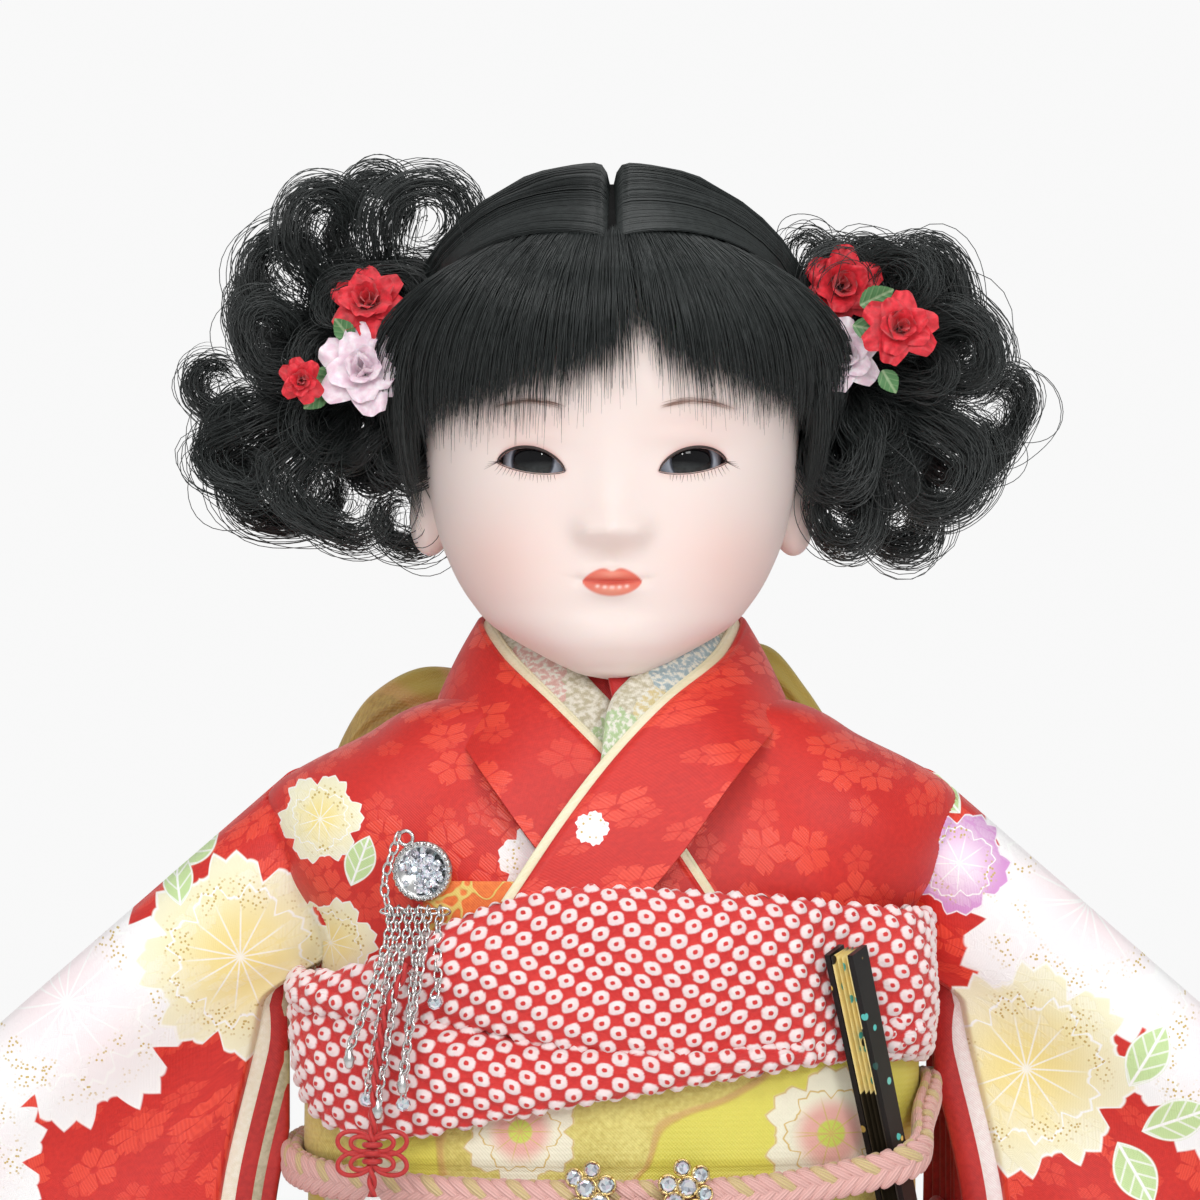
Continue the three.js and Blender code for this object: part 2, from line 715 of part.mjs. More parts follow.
// name, side, share across, share up, size, finish
const FLOWERS = [
  ["left_rose_upper", 1, -0.78, 0.5, 1, "rose_red"],
  ["left_rose_outer", 1, -0.22, 0.2, 0.95, "rose_red"],
  ["left_rose_pale", 1, -0.8, 0.02, 0.85, "rose_pink"],
  ["right_rose_upper", -1, -0.66, 0.36, 1, "rose_red"],
  ["right_rose_pale", -1, -0.62, -0.1, 1, "rose_pink"],
  ["right_rose_outer", -1, -0.04, -0.16, 0.9, "rose_red"],
];
const SPRIGS = [
  ["left_leaves", 1, -0.3, -0.3],
  ["right_leaves", -1, -0.28, 0.3],
];

function flowerShape(side, across, upward, size, grow) {
  const { spot, facing } = bunFront(side, across, upward);
  return placed(rose(ROSE_RADIUS * size, grow), spot, facing);
}

function sprigShape(side, across, upward, grow) {
  const { spot, facing } = bunFront(side, across, upward);
  return placed(sprig(grow), spot, facing);
}

function flowersOf(side, grow) {
  const roses = FLOWERS.filter((row) => row[1] === side);
  return roses.map(([, , across, upward, size]) => flowerShape(side, across, upward, size, grow));
}

function sprigsOf(side, grow) {
  return SPRIGS.filter((row) => row[1] === side).map(([, , across, upward]) =>
    sprigShape(side, across, upward, grow),
  );
}

const CURLS = 6;

// A bunch of fat curls that spring from the tie and roll back on themselves.
function bun(side) {
  const core = ball(side * bunX, bunY, bunZ, BUN_WIDTH, BUN_DEPTH, BUN_HALF_HEIGHT);
  const curls = steps(100, -105, CURLS - 1).map((heading, index) => {
    const outX = Math.cos(degrees(heading));
    const outZ = Math.sin(degrees(heading));
    const roll = index % 2 === 0 ? 1 : -1;
    const depth = bunY + 9 * Math.sin(2.4 * index + side);
    const at = (reach, sideways, back) => [
      side * (tieX + 5 + outX * reach - outZ * sideways * roll),
      depth + back,
      tieZ + outZ * reach + outX * sideways * roll,
    ];
    return bar(
      [
        at(4, 0, 0),
        at(CURL_REACH * 0.55, 7, -4),
        at(CURL_REACH * 0.95, 3, 0),
        at(CURL_REACH * 0.9, -8, 4),
        at(CURL_REACH * 0.55, -7, 2),
      ],
      (share) => CURL_RADIUS * (0.75 + 0.25 * Math.sin(Math.PI * share)),
      5,
      5,
    );
  });
  return join(core, ...curls);
}

const fringeGrown = cut(headSolid(BANGS_THICKNESS + GAP, 0.16), headSolid(-2));

for (const side of [1, -1]) {
  const name = side > 0 ? "left" : "right";
  const guests = [...flowersOf(side, GAP), ...sprigsOf(side, GAP), hairTie(side, GAP)];
  piece(`${name}_bunch`, cut(bun(side), fringeGrown, headSolid(BANGS_THICKNESS), ...guests), "black_hair");
  piece(`${name}_hair_tie`, hairTie(side, 0), "red_silk");
}

const rosesPlaced = [];
for (const [name, side, across, upward, size, finish] of FLOWERS) {
  const shape = flowerShape(side, across, upward, size, 0);
  const neighbours = rosesPlaced.filter((other) => other.side === side).map((other) => other.grown);
  piece(name, cut(shape, fringeGrown, ...neighbours), finish);
  rosesPlaced.push({ side, grown: flowerShape(side, across, upward, size, GAP) });
}
for (const [name, side, across, upward] of SPRIGS) {
  const shape = sprigShape(side, across, upward, 0);
  piece(name, cut(shape, fringeGrown, ...flowersOf(side, GAP)), "leaf_green");
}

// Arms: stuffed upper arm and moulded forearm in one, with a separate hand

const armDown = degrees(ARM_SLOPE);
const wristX = SHOULDER_X + ARM_LENGTH * Math.cos(armDown);
const wristZ = SHOULDER_Z - ARM_LENGTH * Math.sin(armDown);

function armPoint(side, share) {
  const x = SHOULDER_X + (wristX - SHOULDER_X) * share;
  const z = SHOULDER_Z + (wristZ - SHOULDER_Z) * share;
  return [side * x, 0, z];
}

function arm(side, grow) {
  const path = [0, 0.5, 1].map((share) => armPoint(side, share));
  const inner = ball(...path[0], ARM_RADIUS + grow, ARM_RADIUS + grow, ARM_RADIUS + grow);
  const radius = (share) => ARM_RADIUS + (WRIST_RADIUS - ARM_RADIUS) * share + grow;
  return join(bar(path, radius, 2, 10), inner);
}

function lifted(shape, side, angle) {
  return moved(shape, aboutY(-side * degrees(angle), side * SHOULDER_X, SHOULDER_Z));
}

// Room for every place the arm takes as it lifts: a flat fan round the shoulder joint.
function armRoom(side) {
  const reach = ARM_RADIUS + TURN_GAP;
  const past = 60; // beyond the clothes
  // A point `along` the arm when it is turned up, and `aside` from its middle line.
  const spot = (turn, along, aside) => {
    const angle = degrees(turn - ARM_SLOPE);
    return [
      side * (SHOULDER_X + along * Math.cos(angle) - aside * Math.sin(angle)),
      SHOULDER_Z + along * Math.sin(angle) + aside * Math.cos(angle),
    ];
  };
  const shoulder = steps(ARM_LIFT, ARM_LIFT + 180, 6).map((turn) => spot(turn, 0, reach));
  const outline = [spot(ARM_LIFT, past, reach), ...shoulder, spot(0, 0, -reach), spot(0, past, -reach)];
  return prism(outline, FRONT_PLANE, -reach, reach);
}

function hand(side) {
  const start = armPoint(side, 1 + GAP / ARM_LENGTH);
  const out = new THREE.Vector3(side * Math.cos(armDown), 0, -Math.sin(armDown));
  const across = new THREE.Vector3(0, 1, 0);
  const thick = out.clone().cross(across);
  const at = (along, sideways, lift) => {
    const spot = new THREE.Vector3(...start).addScaledVector(out, along);
    return spot.addScaledVector(across, sideways).addScaledVector(thick, lift);
  };
  const rows = [
    [0, 4.6, 4],
    [0.3, 5.6, 3.4],
    [0.6, 5.8, 2.8],
    [0.88, 4.6, 2],
    [1, 2, 1],
  ];
  const palm = loft(
    rows.map(([share, wide, deep]) =>
      steps(0, 2 * Math.PI, 12)
        .slice(0, -1)
        .map((angle) => at(share * HAND_LENGTH, wide * Math.cos(angle), deep * Math.sin(angle))),
    ),
  );
  const thumb = bar(
    [at(3, -3, 0).toArray(), at(8, -7, 0).toArray(), at(14, -8, 0).toArray()],
    (share) => 2.2 - share,
    5,
    6,
  );
  return join(palm, thumb);
}

// Sleeves: long lined bags that hang from the arm with soft folds

const sleeveTop = SHOULDER_Z + ARM_RADIUS + 3;
const sleeveIn = SHOULDER_X + 25;
const sleeveOut = sleeveIn + SLEEVE_WIDTH;
const underarm = SHOULDER_Z - 20;
const tamoto = 24; // rounding of the outer lower corner

function sleeveInside(z) {
  const side = bodyPoint(0, Math.max(z, underarm), KIMONO_OUT + 2 * GAP).x;
  return side + (sleeveIn - side) * ramp(z, underarm + 4, underarm - 22);
}

function sleeveOutside(z) {
  const slope = SHOULDER_X + 12 + (sleeveTop - z) / Math.tan(armDown);
  const corner = Math.max(0, SLEEVE_BOTTOM + tamoto - z);
  const rounding = tamoto - Math.sqrt(Math.max(0, tamoto * tamoto - corner * corner));
  return Math.min(slope, sleeveOut) - rounding;
}

// Distance from the arm's middle line in the plane of the sleeve.
function fromArm(x, z) {
  return Math.abs((x - SHOULDER_X) * Math.sin(armDown) + (z - SHOULDER_Z) * Math.cos(armDown));
}

function sleeveSection(side, z) {
  const from = sleeveInside(z);
  const to = Math.max(sleeveOutside(z), from + 4);
  const shares = steps(0, 1, 8);
  const edge = (share) => {
    const x = from + (to - from) * share;
    const hang = ramp(z, SHOULDER_Z, SLEEVE_BOTTOM);
    const fold = SLEEVE_FOLD * hang * Math.sin(((x - sleeveIn) / SLEEVE_WIDTH) * 9 + 1);
    const puff = SLEEVE_PUFF * Math.exp(-((fromArm(x, z) / 11) ** 2));
    const round = Math.sqrt(Math.max(0.06, 1 - Math.abs(2 * share - 1) ** 5));
    return { x: side * x, fold, half: (SLEEVE_CLOTH / 2 + puff) * round };
  };
  const front = shares.map((share) => {
    const { x, fold, half } = edge(share);
    return new THREE.Vector3(x, fold - half, z);
  });
  const back = shares.reverse().map((share) => {
    const { x, fold, half } = edge(share);
    return new THREE.Vector3(x, fold + half, z);
  });
  return [...front, ...back];
}

const sleeveHeights = [
  ...steps(SLEEVE_BOTTOM, SLEEVE_BOTTOM + tamoto, 3),
  ...steps(SLEEVE_BOTTOM + tamoto, wristZ - 12, 2).slice(1),
  ...steps(wristZ - 12, sleeveTop - 1, 6).slice(1),
];

// The under-robe's sleeve, which shows as a band along the open inner edge.
function sleeveLining(side, grow) {
  const heights = steps(SLEEVE_BOTTOM + 6, underarm - 26, 5);
  return loft(
    heights.map((z) => {
      const wave = 1.2 * Math.sin(z / 22);
      const fold = SLEEVE_FOLD * ramp(z, SHOULDER_Z, SLEEVE_BOTTOM) * Math.sin(1);
      const half = SLEEVE_CLOTH * 0.2 + grow;
      const near = side * (sleeveIn - LINING_SHOW + wave - grow);
      const far = side * (sleeveIn + 14 + grow);
      const lift = z === heights[0] ? -grow : grow;
      return [
        new THREE.Vector3(near, fold - half, z + lift),
        new THREE.Vector3(far, fold - half, z + lift),
        new THREE.Vector3(far, fold + half, z + lift),
        new THREE.Vector3(near, fold + half, z + lift),
      ];
    }),
  );
}

const chestHeights = levels(WAIST + GAP, NECK_BASE);

// Trunk and legs: moulded sawdust paste and turned wood

const armRooms = [armRoom(1), armRoom(-1)];
const trunkHeights = levels(HIP, NECK_BASE);
const neckSocket = post(0, 0, NECK_BASE - NECK_SEAT, NECK_BASE + 5, NECK_RADIUS + GAP, 16);
const trunkPegHole = post(0, 0, pegBottom - GAP, NECK_BASE, PEG_RADIUS + GAP);

const toeY = frontAt(LEG_SPACING / 2, 0, KIMONO_OUT) - TOE_SHOW;

function leg(side, grow) {
  const x = (side * LEG_SPACING) / 2;
  const path = [
    [x, 0, HIP + 4],
    [x, -1, HIP * 0.55],
    [x, 0, ANKLE_TOP + GAP - grow],
  ];
  return bar(path, (share) => LEG_RADIUS + (ANKLE_RADIUS - LEG_RADIUS) * share + grow, 3, 10);
}

const moulded = join(bodySolid(trunkHeights, 0), leg(1, 0), leg(-1, 0));
piece("trunk", cut(moulded, neckSocket, trunkPegHole, ...armRooms), "sawdust_paste");

// A sock over foot and ankle, standing on the sandal.
function tabi(side, grow) {
  const x = (side * LEG_SPACING) / 2;
  const floor = ZORI_HEIGHT + GAP;
  const rows = [
    [0.02, 0.45, 5],
    [0.14, 0.85, 9],
    [0.4, 1, 14],
    [0.62, 0.85, 18],
    [0.86, 0.82, 19],
    [1, 0.5, 14],
  ];
  const foot = loft(
    rows.map(([share, wide, high]) =>
      steps(0, 2 * Math.PI, 10)
        .slice(0, -1)
        .map((angle) => {
          const up = Math.max(-0.8, Math.sin(angle));
          return new THREE.Vector3(
            x + Math.cos(angle) * (wide * FOOT_HALF_WIDTH + grow),
            toeY + share * FOOT_LENGTH + grow * (2 * share - 1),
            floor + (high / 1.8) * (up + 0.8) + grow * up,
          );
        }),
    ),
  );
  return join(foot, post(x, 0, floor + 4, ANKLE_TOP + grow, ANKLE_RADIUS + 1 + grow, 10));
}

function zori(side, grow) {
  const x = (side * LEG_SPACING) / 2;
  const middle = toeY - 3 + ZORI_LENGTH / 2;
  const outline = steps(0, 2 * Math.PI, 16)
    .slice(0, -1)
    .map((angle) => [
      x + rounded(Math.cos(angle)) * (ZORI_HALF_WIDTH + grow),
      middle + rounded(Math.sin(angle)) * (ZORI_LENGTH / 2 + grow),
    ]);
  const floorPlane = [new THREE.Vector3(1, 0, 0), new THREE.Vector3(0, 1, 0)];
  return prism(outline, floorPlane, 0, ZORI_HEIGHT + grow);
}

// The V of cord from the toe cleft over the instep to both edges of the sole.
function thong(side, grow) {
  const x = (side * LEG_SPACING) / 2;
  const toe = [x, toeY + 7, ZORI_HEIGHT + 10.5];
  const strap = (out) =>
    bar(
      [
        toe,
        [x + out * FOOT_HALF_WIDTH * 0.75, toeY + 14, ZORI_HEIGHT + 12],
        [x + out * (FOOT_HALF_WIDTH + 1.4), toeY + 21, ZORI_HEIGHT - 1],
      ],
      THONG_RADIUS + grow,
      4,
      5,
    );
  const toePost = post(x, toe[1], ZORI_HEIGHT - 1, toe[2], THONG_RADIUS + grow, 5);
  return join(strap(1), strap(-1), toePost);
}

for (const side of [1, -1]) {
  const name = side > 0 ? "left" : "right";
  piece(`${name}_tabi`, cut(tabi(side, 0), thong(side, GAP)), "white_cotton");
  piece(`${name}_zori`, join(zori(side, 0), thong(side, 0)), "red_silk");
}

// Clothes, from the padded under-robe outwards

const skirtHeights = levels(SKIRT_BOTTOM, WAIST);
// Room for the feet, up to the ankles
const footRoom = [1, -1].map((side) => {
  const room = box(2 * (ZORI_HALF_WIDTH + GAP), ZORI_LENGTH + 2 * GAP, 2 * (ANKLE_TOP + GAP));
  return solid(room.translate((side * LEG_SPACING) / 2, toeY - 3 + ZORI_LENGTH / 2, 0));
});
const legRoom = [1, -1].map((side) => leg(side, GAP));
const robeHeights = levels(SKIRT_BOTTOM, NECK_BASE);
const trunkRoom = bodySolid([...trunkHeights, NECK_BASE + 5], GAP);
piece(
  "under_robe",
  cut(bodySolid(robeHeights, ROBE_OUT), trunkRoom, ...footRoom, ...legRoom, ...armRooms),
  "white_cotton",
);

// Hanging folds at the back and sides, none under the overlapping front.
function skirtFold(angle, z) {
  const behind = ramp(Math.sin(angle), -0.25, 0.2);
  const low = 1 - ramp(z, SKIRT_BOTTOM, OBI_BOTTOM);
  return KIMONO_OUT + SKIRT_FOLD * behind * low * (0.5 + 0.5 * Math.cos(8 * angle));
}

piece("kimono_skirt", layer(skirtHeights, ROBE_OUT + 2 * GAP, skirtFold), "red_silk");

const overlapTop = OBI_BOTTOM - OVERLAP_DROP;
const OVERLAP_FROM = -7; // girth steps from the doll's left side, towards its front
const OVERLAP_TO = -1;
const overlapFold = (angle, z) => {
  const low = 1 - ramp(z, SKIRT_BOTTOM, OBI_BOTTOM);
  return KIMONO_OUT + 2 * GAP + KIMONO_CLOTH * (1 + 0.5 * low * (1 + Math.sin(7 * angle)));
};
const overlapHeights = levels(SKIRT_BOTTOM, overlapTop);
piece(
  "kimono_overlap",
  layer(overlapHeights, KIMONO_OUT + 2 * GAP, overlapFold, OVERLAP_FROM, OVERLAP_TO),
  "red_silk",
);

// The hem is a roll of red cloth, wadded with cotton, flat where it stands on the floor.
function hemRing(angle) {
  const lift = hemLift(angle, SKIRT_BOTTOM);
  return steps(0, 2 * Math.PI, 6)
    .slice(0, -1)
    .map((turn) => {
      const up = Math.max(-0.85, Math.sin(turn)) + 0.85;
      const reach = ROBE_OUT + HEM_RADIUS * (0.6 + Math.cos(turn));
      return bodyPoint(angle, HEM_RADIUS * up + lift, reach);
    });
}
const hemRoll = loft(steps(0, 2 * Math.PI, GIRTH_POINTS).slice(0, -1).map(hemRing), true);
piece("hem_roll", hemRoll, "red_silk");

piece(
  "waist_fold",
  layer([OBI_BOTTOM - WAIST_FOLD_HEIGHT, OBI_BOTTOM - GAP], KIMONO_OUT + GAP, KIMONO_OUT + GAP + WAIST_FOLD),
  "red_silk",
);
piece(
  "kimono_chest",
  cut(layer(chestHeights, ROBE_OUT + 2 * GAP, KIMONO_OUT), ...armRooms),
  "red_silk",
);

// Collars: straight bands round the neck that cross on the chest, the doll's left over its right

const COLLAR_IN = [
  [0, 22, CHIN + 8],
  [17, 15, CHIN + 9.5],
  [24.5, 1, CHIN + 10],
  [20, -13, CHIN + 2],
  [10, null, NECK_BASE - 3],
  [0, null, NECK_BASE - 13],
  [-9, null, NECK_BASE - 24],
  [-19, null, NECK_BASE - 39],
];
const COLLAR_OUT = [
  [0, 31, NECK_BASE + 1],
  [24, 24, NECK_BASE + 1],
  [33, 3, NECK_BASE + 0.5],
  [31, -12, NECK_BASE - 5],
  [24, null, NECK_BASE - 16],
  [16, null, NECK_BASE - 27],
  [8, null, NECK_BASE - 36],
  [-2, null, NECK_BASE - 45],
];

// The band's edge from its right end, round the back of the neck, to its left end.
function collarEdge(half) {
  const spot = (side, [x, y, z]) => {
    const depth = y === null ? frontAt(x, z, KIMONO_OUT) : y;
    return new THREE.Vector3(side * x, depth, z);
  };
  const left = half.map((row) => spot(1, row));
  const right = half.slice(1).map((row) => spot(-1, row));
  return new THREE.CatmullRomCurve3([...right.reverse(), ...left]);
}

const COLLAR_STEPS = 18;
const innerEdge = collarEdge(COLLAR_IN);
const outerEdge = collarEdge(COLLAR_OUT);

// One collar: how far it shows past the next one out, its width under that one, and its depth.
function collar(show, hidden, from, thickness, lift, grow = 0) {
  const rings = steps(0, 1, COLLAR_STEPS).map((share) => {
    const inner = innerEdge.getPoint(share);
    const outer = outerEdge.getPoint(share);
    const along = innerEdge.getTangent(share);
    const width = outer.clone().sub(inner);
    const across = width.clone().normalize();
    const out = along.clone().cross(across).normalize();
    const reach = hidden === null ? width.length() : Math.min(hidden, width.length());
    const near = inner.clone().addScaledVector(across, -show(Math.abs(2 * share - 1)) - grow);
    const far = inner.clone().addScaledVector(across, reach + grow);
    const low = from + lift * ramp(share, 0.3, 0.8) - grow;
    const high = low + thickness + 2 * grow;
    return [
      near.clone().addScaledVector(out, low),
      far.clone().addScaledVector(out, low),
      far.clone().addScaledVector(out, high),
      near.clone().addScaledVector(out, high),
    ];
  });
  return loft(rings);
}

const COLLAR_CLOTH = 0.8;
const OVER_COLLAR = 1.2;
const collarStep = COLLAR_CLOTH + GAP;
const collarLift = 3 * collarStep + OVER_COLLAR;
const bump = (rise, full, fade, end) => (place) => ramp(place, rise, full) * (1 - ramp(place, fade, end));
const innerShow = (place) => 1.5 + 15 * bump(0.25, 0.5, 0.56, 0.68)(place);
const brocadeShow = (place) => 1.2 + 10 * bump(0.2, 0.45, 0.6, 0.76)(place);
const paleShow = () => 2.4;
const noShow = () => 0;

// name, show, width under the next collar, number in the stack, thickness, finish
const COLLARS = [
  ["inner_collar", innerShow, 4, 0, COLLAR_CLOTH, "red_silk"],
  ["brocade_collar", brocadeShow, 5, 1, COLLAR_CLOTH, "brocade_silk"],
  ["pale_collar", paleShow, 6, 2, COLLAR_CLOTH, "cream_silk"],
  ["kimono_collar", noShow, null, 3, OVER_COLLAR, "red_silk"],
];

// Obiage: a puffed tie-dyed scarf round the top of the sash, with a fold laid across its front

function around(rows) {
  const looped = [[rows[rows.length - 1][0] - 360, ...rows[rows.length - 1].slice(1)], ...rows];
  looped.push([rows[0][0] + 360, ...rows[0].slice(1)]);
  const at = stations(looped);
  return (angle) => at((((angle * 180) / Math.PI) % 360) - 180);
}

// degrees from the doll's left side over its front: height over the top of the sash, half height
const upperFold = around([
  [-170, 5, 4],
  [0, 7, 13.5],
  [45, 7, 15],
  [78, 8.5, 16.5],
  [100, 12, 14],
  [128, 9, 6],
  [165, 5, 4],
]);
const lowerFold = around([
  [-170, 2, 7],
  [0, 0, 8],
  [60, -4, 3],
  [84, -8, 3.5],
  [104, -9.5, 6.5],
  [134, -9, 12],
  [165, -4, 12],
]);

// Turn the body angle so that the tables run from the doll's left side over its front.
function foldAt(table, angle) {
  return table(Math.PI - angle + 2 * Math.PI);
}

function obiageBelt(table, puff, grow) {
  return belt(
    GIRTH_POINTS,
    (angle) => {
      const [rise, tall] = foldAt(table, angle);
      return {
        z: OBI_TOP + rise,
        tall: tall + grow,
        thick: puff * (0.35 + 0.65 * ramp(-Math.sin(angle), -0.3, 0.5)) + grow,
        grow: OBI_OUT + GAP - grow,
      };
    },
    6,
  );
}

function obiageFull(grow) {
  return join(obiageBelt(upperFold, OBIAGE_PUFF, grow), obiageBelt(lowerFold, OBIAGE_PUFF * 0.9, grow));
}

// Each sleeve is cut to fit its arm and lining, the scarf and the shoulder it swings past

for (const side of [1, -1]) {
  const name = side > 0 ? "left" : "right";
  const bag = loft(sleeveHeights.map((z) => sleeveSection(side, z)));
  const chest = bodySolid(chestHeights, KIMONO_OUT + GAP);
  const shoulders = steps(0, ARM_LIFT, 2).map((angle) => lifted(chest, side, -angle));
  piece(
    `${name}_sleeve`,
    cut(bag, arm(side, GAP), hand(side), sleeveLining(side, GAP), obiageFull(2 * GAP), ...shoulders),
    "red_silk",
  );
  piece(`${name}_sleeve_lining`, sleeveLining(side, 0), "cream_silk");
  piece(`${name}_arm`, arm(side, 0), "white_cotton");
  piece(`${name}_hand`, hand(side), "gofun_skin");
}

// Chest case: a flat brocade purse tucked between chest and scarf; it slides straight up

const caseTurn = degrees(-CASE_YAW);
const caseZ = OBI_TOP + GAP + CASE_HEIGHT / 2;
const caseY = frontAt(CASE_X, caseZ, KIMONO_OUT) - CASE_THICKNESS / 2 - 1.1;

function casePlaced(shape, rise = 0) {
  const matrix = new THREE.Matrix4().makeRotationZ(caseTurn);
  matrix.setPosition(CASE_X, caseY, caseZ + rise);
  return moved(shape, matrix);
}

const caseBody = casePlaced(solid(box(CASE_WIDTH, CASE_THICKNESS, CASE_HEIGHT)));
const casePassage = casePlaced(
  solid(box(CASE_WIDTH + 2 * GAP, CASE_THICKNESS + 2 * GAP, CASE_HEIGHT + CASE_SLIDE + 2 * GAP)),
  CASE_SLIDE / 2,
);
piece("chest_case", caseBody, "orange_brocade");

// Silver ornament on the upper corner of the case
const medallionAt = [-CASE_WIDTH / 2, -CASE_THICKNESS / 2 - GAP, CASE_HEIGHT / 2 + 2];
const medallionRows = [
  [0, 0],
  [MEDALLION_RADIUS * 0.9, 0],
  [MEDALLION_RADIUS, 0.8],
  [MEDALLION_RADIUS * 0.9, 1.8],
  [MEDALLION_RADIUS * 0.72, 1.6],
  [MEDALLION_RADIUS * 0.55, 3],
  [0, 3.6],
];
const medallionDisc = new THREE.LatheGeometry(
  medallionRows.map(([reach, rise]) => new THREE.Vector2(reach, rise)),
  20,
);
const medallionDiscPlaced = solid(
  medallionDisc.rotateX(Math.PI).translate(...medallionAt),
);
piece("silver_medallion", casePlaced(medallionDiscPlaced), "silver");

// Chain drops under the medallion, held by one bar; they swing clear of the scarf
const hangerZ = caseZ + medallionAt[2] - MEDALLION_RADIUS - GAP - 1.2;
const hanger = new THREE.Vector3(medallionAt[0], medallionAt[1] - 2, 0).applyAxisAngle(UP, caseTurn);
const hangerX = CASE_X + hanger.x;
const hangerY = caseY + hanger.y;
const scarfFront = (x, z) => frontAt(x, z, OBI_OUT + 2 * OBIAGE_PUFF) - 1.5;
const chainBar = bar(
  [
    [hangerX - 7, hangerY, hangerZ],
    [hangerX, hangerY - 0.4, hangerZ],
    [hangerX + 4, hangerY - 1, hangerZ],
  ],
  CHAIN_RADIUS,
  4,
  6,
);
// Offset along the bar, and share of the longest drop
const DROPS = [
  [-6, 0.8],
  [-2.6, 1],
  [0.8, 0.93],
  [3.6, 0.72],
];
const chainDrops = DROPS.map(([offset, share]) => {
  const x = hangerX + offset;
  const low = hangerZ - CHAIN_LENGTH * share;
  const over = Math.min(hangerY - 1, scarfFront(x - 2, OBI_TOP + 2) - CHAIN_RADIUS * 1.4);
  return bar(
    [
      [x, hangerY - 0.4, hangerZ],
      [x - 1, (hangerY + over) / 2 - 1, hangerZ - 5],
      [x - 2, over, hangerZ - 14],
      [x - 4, over - 0.5, low],
    ],
    (place) => {
      const links = 1.15 + 0.25 * Math.cos(place * 12 * Math.PI);
      const bead = 1.3 * ramp(place, 0.93, 0.97);
      return CHAIN_RADIUS * links + bead;
    },
    12,
    4,
  );
});
const chains = join(chainBar, ...chainDrops);
piece("silver_chains", chains, "silver");

// Red cord from the case with two knots and a white tassel
const cordX = CASE_X - CASE_WIDTH * 0.62;
const cordTop = OBI_TOP + 13;
const cordY = scarfFront(cordX - 6, OBI_TOP - 4) - CORD_RADIUS - 6;
const knotZ = cordTop - 34;
const cordLine = bar(
  [
    [cordX, cordY, cordTop],
    [cordX - 5, cordY, cordTop - 12],
    [cordX - 7, cordY, knotZ],
    [cordX - 7, cordY, knotZ - 12],
  ],
  CORD_RADIUS,
  8,
  5,
);
const knot = (z) => ball(cordX - 7, cordY, z, 4.6, 2.8, 2.6, 8, 4);
piece("red_cord", join(cordLine, knot(knotZ), knot(knotZ - 6)), "red_silk");
const tasselTop = knotZ - 12 - GAP;
const tasselRows = [
  [0, 1.4],
  [0.06, 2.8],
  [0.16, 2.9],
  [0.2, 2.2],
  [0.3, 2.9],
  [0.7, 3.6],
  [1, 3.9],
];
const tassel = loft(
  tasselRows.map(([share, reach], row) =>
    steps(0, 2 * Math.PI, 12)
      .slice(0, -1)
      .map((angle, index) => {
        const size = row > 3 && index % 2 ? 0.82 * reach : reach;
        const x = cordX - 7 + size * Math.cos(angle);
        const y = cordY + size * Math.sin(angle);
        return new THREE.Vector3(x, y, tasselTop - share * TASSEL_LENGTH);
      }),
  ),
);
piece("white_tassel", tassel, "white_silk");

// Folding fan, closed, tucked behind the braid; it slides out along its own length

const fanThick = FAN_LEAF + 2 * FAN_GUARD + 2 * GAP;
const fanTurn = new THREE.Matrix4()
  .makeRotationZ(degrees(FAN_ROLL))
  .premultiply(new THREE.Matrix4().makeRotationX(degrees(FAN_LEAN)))
  .premultiply(new THREE.Matrix4().makeRotationY(degrees(-FAN_TILT)));
const fanTopX = 46;
const fanTopZ = OBI_TOP + 15;
const fanTopY = frontAt(fanTopX, OBI_TOP + 6, OBI_OUT + 2 * OBIAGE_PUFF) - 3.4;
const fanPlace = fanTurn.clone().setPosition(fanTopX, fanTopY, fanTopZ);

// A bar of the fan in its own frame: the top end is at zero and the pivot end is below.
function fanBar(thickness, offset, top, bottom, narrow) {
  const outline = [
    [-FAN_WIDTH / 2, -top],
    [FAN_WIDTH / 2, -top],
    [(FAN_WIDTH / 2) * narrow, -bottom],
    [(-FAN_WIDTH / 2) * narrow, -bottom],
  ];
  const shape = prism(outline, FRONT_PLANE, offset, offset + thickness);
  return moved(shape, fanPlace);
}

const fanStart = -fanThick / 2;
const leafStart = fanStart + FAN_GUARD + GAP;
const rivetZ = -FAN_LENGTH + 5;
const rivetShape = (grow) => {
  const geometry = new THREE.CylinderGeometry(1.1 + grow, 1.1 + grow, fanThick + 1.2, 12);
  return moved(solid(geometry.translate(0, 0, rivetZ)), fanPlace);
};
const rivetHole = rivetShape(GAP);
piece("fan_front_guard", cut(fanBar(FAN_GUARD, fanStart, 0, FAN_LENGTH, 0.75), rivetHole), "black_lacquer");
piece("fan_leaf", cut(fanBar(FAN_LEAF, leafStart, 1, FAN_LENGTH - 1, 0.72), rivetHole), "gold_paper");
piece(
  "fan_back_guard",
  cut(fanBar(FAN_GUARD, leafStart + FAN_LEAF + GAP, 0, FAN_LENGTH, 0.75), rivetHole),
  "black_lacquer",
);
piece("fan_rivet", rivetShape(0), "silver");
const fanRoom = moved(
  solid(box(FAN_WIDTH + 2 * GAP, fanThick + 1.2 + 2 * GAP, FAN_LENGTH + FAN_SLIDE + 2 * GAP)),
  fanPlace.clone().multiply(new THREE.Matrix4().makeTranslation(0, 0, (FAN_SLIDE - FAN_LENGTH) / 2)),
);

// Sash, scarf and braid take the shapes that are left round the case, the fan and the collars

